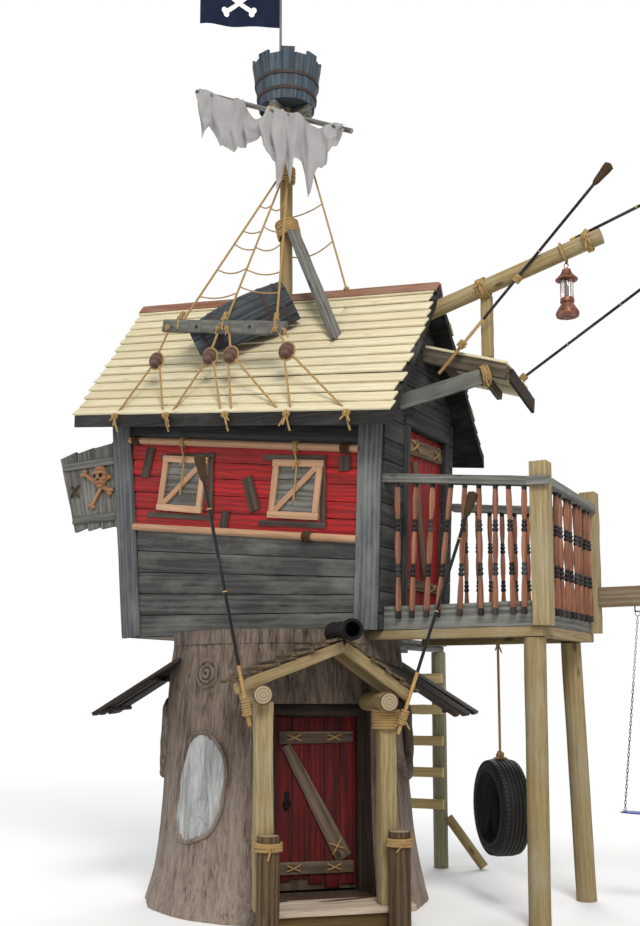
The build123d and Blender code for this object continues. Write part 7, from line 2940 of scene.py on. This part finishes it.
    def build(self) -> None:
        """Build the rigging."""
        yard, balls = self.yard, []
        self.staves()
        self.heads_and_hoops()
        ends = ((x, self.plank_y, self.board_z(x)) for x, _ in self.board)
        plank = yard.board(*ends, UP, self.board_tall, 0.036)
        self.bore(plank)
        yard.deliver("rigging_plank", [plank], "grey_spar_wood", stands_for=["rigging_board"], slot="pole_wood")
        for eye in self.eyes:
            ball = add(bpy.ops.mesh.primitive_uv_sphere_add, segments=24, ring_count=14, radius=self.eye_radius)
            places = points_of(ball.data)
            places[:, 1] *= 0.82
            set_points(ball.data, places + np.array(self.eye_at(eye)))
            write_grain(ball.data, places + 0.4, 0.3)
            balls.append(ball)
        yard.deliver("ball_eyes", balls, "dark_ball_wood", stands_for=["deadeyes"], slot="spindle_wood", angle=80.0)
        self.ropes()


@dataclass
class TyreSwing(Assembly):
    """Old tyre with a ribbed tread on a rope under the deck."""

    centre: tuple = (1.63, 0.40, 0.735)
    radius: float = 0.355
    width: float = 0.215
    rim: float = 0.205
    turn: float = 42.0
    blocks: int = 66

    def build(self) -> None:
        """Build the swing."""
        self.tyre()
        yard, r, (x, y, z) = self.yard, self.radius, self.centre
        ropes = [yard.rope([(x, y, z + r - 0.01), (x, y, 1.5), (x, y, 1.975)], 0.010)]
        way = round_way(math.radians(self.turn) + math.pi / 2)
        for lean in (-0.1, 0.0, 0.1):
            ropes.append(yard.ring((x, y, z + r - 0.07), way + Vector((0, 0, lean)), 0.082, 0.010))
        ropes += yard.knot((x, y, z + r + 0.03), 0.022)
        ropes += yard.knot((x, y, 1.955), 0.016)
        yard.deliver("tyre_rope_ties", ropes, "straw_rope", "tyre", ["tyre_rope"], "rope")

    def tyre(self) -> None:
        """Hollow casing with four ribs, two rows of shoulder blocks and lines on its sides."""
        yard, r, rim, half = self.yard, self.radius, self.rim, self.width / 2
        near = [(rim, 0.55), (rim, 0.72), (rim + 0.012, 0.80), (rim + 0.05, 0.98), (r - 0.075, 0.99), (r - 0.045, 0.96),
                (r - 0.022, 0.84), (r - 0.010, 0.55)]
        hollow = [(rim + 0.018, 0.55), (rim + 0.05, 0.78), (r - 0.05, 0.74), (r - 0.026, 0.4)]
        outline = [*near, (r - 0.008, 0.0), *mirrored(near), *((a, -z) for a, z in hollow), *hollow[::-1], near[0]]
        parts = [turned([(a, z * half) for a, z in outline], 72)]
        flank = [(r - 0.014, 0.0115), (r - 0.003, 0.0105), (r - 0.001, 0.0085)]
        for offset in (-0.044, -0.0147, 0.0147, 0.044):
            parts.append(turned([(a, offset - z) for a, z in flank] + [(a, offset + z) for a, z in flank[::-1]], 72))
        for offset in (-0.077, 0.077):
            for index in range(self.blocks):
                angle = 2 * math.pi * index / self.blocks
                low, high = ((r - 0.015, r - 0.009) if offset < 0 else (r - 0.009, r - 0.015))
                start = round_way(angle) * low + Vector((0, 0, offset - 0.016))
                end = round_way(angle) * high + Vector((0, 0, offset + 0.016))
                parts.append(yard.board(start, end, round_way(angle + math.pi / 2), 0.030, 0.011, tone=0.5))
        for sign in (-1, 1):
            for at in (0.245, 0.295):
                ring = turned([(at - 0.003, 0), (at, 0.003), (at + 0.003, 0)], 72)
                ring.data.transform(Matrix.Translation((0, 0, sign * half * 0.982)))
                parts.append(ring)
        upright = Matrix.Rotation(math.radians(self.turn), 4, "Z") @ Matrix.Rotation(math.pi / 2, 4, "Y")
        for part in parts:
            part.data.transform(Matrix.Translation(self.centre) @ upright)
        yard.deliver("tyre_tread", parts, "tyre_rubber_finish", "tyre", ["tyre"], "tyre_rubber")


@dataclass
class Swing(Assembly):
    """Long swing beam on splayed legs with a belt seat on chains."""

    y: float = 0.96875
    beam: tuple = (2.262, 4.65, 2.24, 2.395)
    thick: float = 0.09
    leg: tuple = (4.515, 0.85, 0.09)
    seat: tuple = (2.38, 3.00, 0.69)
    tops: tuple = (2.55, 2.83)
    pin: float = 2.20
    belt_half: float = 0.073
    bare_share: float = 0.36
    pitch: float = 0.030

    def timbers(self) -> None:
        """Beam and end legs."""
        yard = self.yard
        x0, x1, z0, z1 = self.beam
        z = (z0 + z1) / 2
        beam = [yard.board((x0, self.y, z), (x1, self.y, z), UP, z1 - z0, self.thick)]
        x, spread, side = self.leg
        for way in (-1, 1):
            foot = (x, self.y + way * (spread - 0.015), 0.004)
            head = (x, self.y + way * self.thick * 0.55, z1 - 0.02)
            beam.append(yard.board(foot, head, RIGHT, side, side))
        yard.deliver("swing_timbers", beam, "swing_beam_wood", stands_for=["swing_frame"], slot="golden_wood")

    def chain(self, low: Vector, high: Vector) -> list[Obj]:
        """Welded chain between two points.

        Args:
            low: its lower end.
            high: its upper end.

        Returns:
            Its links.
        """
        long, way = (high - low).length, (high - low).normalized()
        count, links = max(2, round(long / self.pitch)), []
        for index in range(count):
            centre = low + way * (long * (index + 0.5) / count)
            side = Vector(BACK) if index % 2 else way.cross(Vector(BACK))
            points = []
            for step in range(9):
                angle = 2 * math.pi * step / 8
                points.append(centre + way * math.cos(angle) * long / count * 0.66 + side * math.sin(angle) * 0.0075)
            links.append(self.yard.rope(points, 0.0026, 1))
        return links

    def build(self) -> None:
        """Build the swing."""
        self.timbers()
        self.belt()
        yard, (x0, x1, z), iron, coated = self.yard, self.seat, [], []
        for low_x, top_x in ((x0 + 0.02, self.tops[0]), (x1 - 0.02, self.tops[1])):
            low, high = Vector((low_x, self.y, z + 0.004)), Vector((top_x, self.y, self.pin - 0.035))
            way = (high - low).normalized()
            links = self.chain(low + way * 0.05, high)
            bare = round(len(links) * self.bare_share)
            coated += links[:-bare]
            iron += links[-bare:]
            iron.append(yard.ring(high + Vector((0, 0, 0.018)), BACK, 0.019, 0.0035))
            for side in (-0.040, 0.040):
                iron.append(yard.rope([low + Vector((0, side, 0)), low + way * 0.055], 0.0035, 1))
            iron.append(yard.ring((low_x, self.y, z + 0.003), RIGHT, 0.010, 0.003))
        yard.deliver("swing_chains", iron, "bright_chain", "swing", slot="iron")
        yard.deliver("swing_coated_chains", coated, "blue_coated_chain", "swing", slot="iron")

    def belt(self) -> None:
        """Belt seat, narrower at its ends and a little lower in the middle."""
        x0, x1, z = self.seat

        def sag(u: float, v: float, _: float) -> Point:
            """Narrow the belt's ends and sink its middle.

            Args:
                u: its place along the belt, from -0.5 to 0.5.
                v: its place across it, from -0.5 to 0.5.

            Returns:
                Its place in the scene.
            """
            share = u + 0.5
            half = self.belt_half * (1.0 if 0.1 < share < 0.9 else 0.72 + 0.28 * min(share, 1 - share) / 0.1)
            return x0 + (x1 - x0) * share, self.y + v * 2 * half, z + 0.004 - 0.006 * math.sin(share * math.pi)

        belt = reshape(add(bpy.ops.mesh.primitive_grid_add, x_subdivisions=60, y_subdivisions=12, size=1.0), sag)
        finish_modifier(belt, "thickness", "SOLIDIFY", {"thickness": 0.008})
        self.yard.deliver("belt_seat", [outward(belt)], "blue_belt", "swing", ["swing_seat"], "seat_rubber")


@dataclass
class Torches(Assembly):
    """Pole torches lashed to the porch and to the bow log."""

    radius: float = 0.013
    head_radius: float = 0.034
    head: float = 0.19
    head_rings: tuple = ((0.55, 0.012), (0.8, 0.05), (0.92, 0.10), (1.0, 0.15), (0.98, 0.172), (0.6, 0.180))
    lashed_at: tuple = ((1.44, 0.25, 4.29), (1.90, 0.27, 4.74), (1.76, 0.75, 4.10), (2.42, 0.33, 5.01))
    splits: tuple = (0.22, 0.25, 0.27, 0.06, 0.03)
    ferrules: tuple = ((0.49, 0.795), (0.50, 0.80), (0.596,), (0.27, 0.53), (0.35, 0.60))

    def ends(self) -> list[tuple[Vector, Vector]]:
        """Foot and tip of every torch.

        Returns:
            Foot and tip, one pair each.
        """
        return [
            (porch_point(1.3635, -0.576, 1.364), porch_point(1.3635, -0.941, 3.179)),
            (porch_point(1.3324, 0.468, 1.301), porch_point(1.5164, 0.986, 2.992)),
            (Vector((1.24, 0.2517, 4.084)), Vector((2.65, 0.2517, 5.482))),
            (Vector((1.69, 0.75, 4.06)), Vector((3.33, 0.75, 5.02))),
            (Vector((2.30, 0.33, 4.985)), Vector((3.74, 0.33, 5.405))),
        ]

    def build(self) -> None:
        """Build the torches."""
        yard, dark, pale, wraps, ropes = self.yard, [], [], [], []
        for index, (foot, tip) in enumerate(self.ends()):
            long = (tip - foot).length
            way = (tip - foot) / long
            split = self.splits[index]
            pale.append(yard.log(foot, foot + way * long * split, self.radius * 0.98))
            dark.append(yard.log(foot + way * long * split, tip - way * self.head * 0.9, self.radius * 0.9))
            for share in (split * 0.49, split * 0.77, *self.ferrules[index]):
                pale.append(yard.ring(foot + way * long * share, way, self.radius, 0.004))
            wraps += self.head_of(foot, tip)
            if index < 2:
                at = foot + way * 0.12
                ropes += yard.lashing(at, way, self.radius + 0.010, 6, 0.009)
                ropes += yard.knot(at, 0.018)
        yard.deliver("torch_upper_poles", dark, "black_pole", stands_for=["pole_torches"], slot="torch_pole")
        yard.deliver("torch_lower_poles", pale, "bamboo_pole", slot="torch_pole")
        yard.deliver("torch_wraps", wraps, "dark_fibre_wrap", slot="rope")
        for at in self.lashed_at:
            ropes += yard.lashing(at, (1, 0, 0.9), self.radius + 0.012, 4, 0.008)
            ropes += yard.knot(at, 0.015)
        yard.deliver("torch_lashings", ropes, "straw_rope", slot="rope")

    def head_of(self, foot: Vector, tip: Vector) -> list[Obj]:
        """Head of one torch: a turned core with fibre wound round it.

        Args:
            foot: the pole's lower end.
            tip: its upper end.

        Returns:
            The core and the turns of the winding.
        """
        way, r, base = (tip - foot).normalized(), self.head_radius, (tip - foot).length - self.head
        rings = [(r * size, base + rise) for size, rise in self.head_rings]
        core = turned([(0.002, base), (self.radius * 1.05, base), *rings, (0.002, base + 0.187)], 20)
        grain_along_z(core, 0.3)
        made, turns = [stand(core, foot, tip)], 17
        for turn in range(turns):
            share = (turn + 0.5) / turns
            reach = self.radius + (r - self.radius) * min(1.0, 0.25 + share * 0.9)
            at = foot + way * (base + 0.014 + 0.158 * share)
            made.append(self.yard.ring(at, way, round(reach * 500) / 500, 0.0052))
        return made


@dataclass
class Studio:
    """Plain pale room, soft lights and the photo's viewpoint."""

    eye: Point = (4.575, -7.404, 1.6)
    ahead: tuple = (-0.5, 0.8660254)
    pitch: float = 7.2
    lens: float = 42.0
    shift: float = 0.098
    fade: tuple = (4.5, 12.0)

    def floor(self) -> None:
        """Pale floor that fades to plain white away from the middle."""
        plane = add(bpy.ops.mesh.primitive_plane_add, size=90.0, location=(0, 0, -0.002))
        plane.name = "studio_floor"
        g = Graph(bpy.data.materials.new("studio_floor_paint"))
        away = g.node("VectorMath", {"operation": "LENGTH"}, {0: g.node("TexCoord").outputs["Object"]}).outputs["Value"]
        near, far = self.fade
        share = g.node("MapRange", None, {"Value": away, "From Min": near, "From Max": far}).outputs["Result"]
        paint = g.node("BsdfDiffuse", None, {"Color": (0.90, 0.90, 0.895, 1.0)}).outputs[0]
        both = g.node("MixShader", None, {0: share, 1: paint, 2: g.node("Emission").outputs[0]}).outputs[0]
        g.node("OutputMaterial", None, {"Surface": both})
        plane.data.materials.append(g.owner)

    def sky(self) -> None:
        """White to the camera and to reflections, softer as a light."""
        scene = bpy.context.scene
        scene.world = scene.world or bpy.data.worlds.new("studio")
        g = Graph(scene.world)
        ray = g.node("LightPath").outputs
        seen = g.maths("MAXIMUM", ray["Is Camera Ray"], ray["Is Glossy Ray"])
        seen = g.maths("MAXIMUM", seen, ray["Is Transmission Ray"])
        soft, white = (g.node("Background", None, {"Color": colour, "Strength": power}).outputs[0]
                       for colour, power in (((0.96, 0.98, 1.0, 1), 0.52), ((1, 1, 1, 1), 1.0)))
        both = g.node("MixShader", None, {0: seen, 1: soft, 2: white}).outputs[0]
        g.node("OutputWorld", None, {"Surface": both})

    def lamp(self, name: str, place: Point, aim: Point, size: float, power: float, colour: Colour) -> None:
        """A soft square light.

        Args:
            name: its name.
            place: where it stands.
            aim: what it points at.
            size: the length of its sides.
            power: its power in watts.
            colour: its colour.
        """
        bpy.ops.object.light_add(type="AREA", location=place)
        light = bpy.context.object
        light.name = name
        light.data.size = size
        light.data.energy = power
        light.data.color = colour
        light.rotation_euler = (Vector(aim) - Vector(place)).to_track_quat("-Z", "Y").to_euler()

    def camera(self) -> None:
        """Camera at the photo's viewpoint."""
        pitch = math.radians(self.pitch)
        ahead = Vector((self.ahead[0] * math.cos(pitch), self.ahead[1] * math.cos(pitch), math.sin(pitch)))
        bpy.ops.object.camera_add(location=self.eye)
        eye = bpy.context.object
        eye.rotation_euler = ahead.to_track_quat("-Z", "Y").to_euler()
        eye.data.lens = self.lens
        eye.data.sensor_width = 36.0
        eye.data.sensor_fit = "AUTO"
        eye.data.shift_y = self.shift
        eye.data.clip_end = 200.0
        bpy.context.scene.camera = eye

    def build(self) -> None:
        """Set the studio up."""
        self.floor()
        self.sky()
        aim = (0.2, 0.2, 3.0)
        self.lamp("key_light", (8.0, -9.0, 12.0), aim, 5.0, 1750.0, (1.0, 0.98, 0.95))
        self.lamp("fill_light", (-9.0, -8.0, 6.0), aim, 7.0, 420.0, (0.95, 0.975, 1.0))
        self.lamp("back_light", (-3.0, 11.0, 10.0), aim, 7.0, 800.0, (1.0, 1.0, 1.0))
        bpy.context.scene.view_settings.view_transform = "Standard"
        self.camera()


def main() -> None:
    """Load the frame, build every sub-assembly and set the studio up."""
    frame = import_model()
    yard = TimberYard(Finishes().build(), frame)
    for kind in (Trunk, Porch, Door, Cabin, Roof, SideHood, BowLog, Lantern, Deck, Ladder, Mast, Rigging, TyreSwing,
                 Swing, Torches):
        kind(yard).build()
        log.info("built %s, %d pieces so far", kind.__name__, yard.pieces)
    yard.paint("black_iron", "hooks")
    yard.close()
    Studio().build()


if __name__ == "__main__":
    logging.basicConfig(level=logging.INFO, format="%(message)s", stream=sys.stdout)
    main()
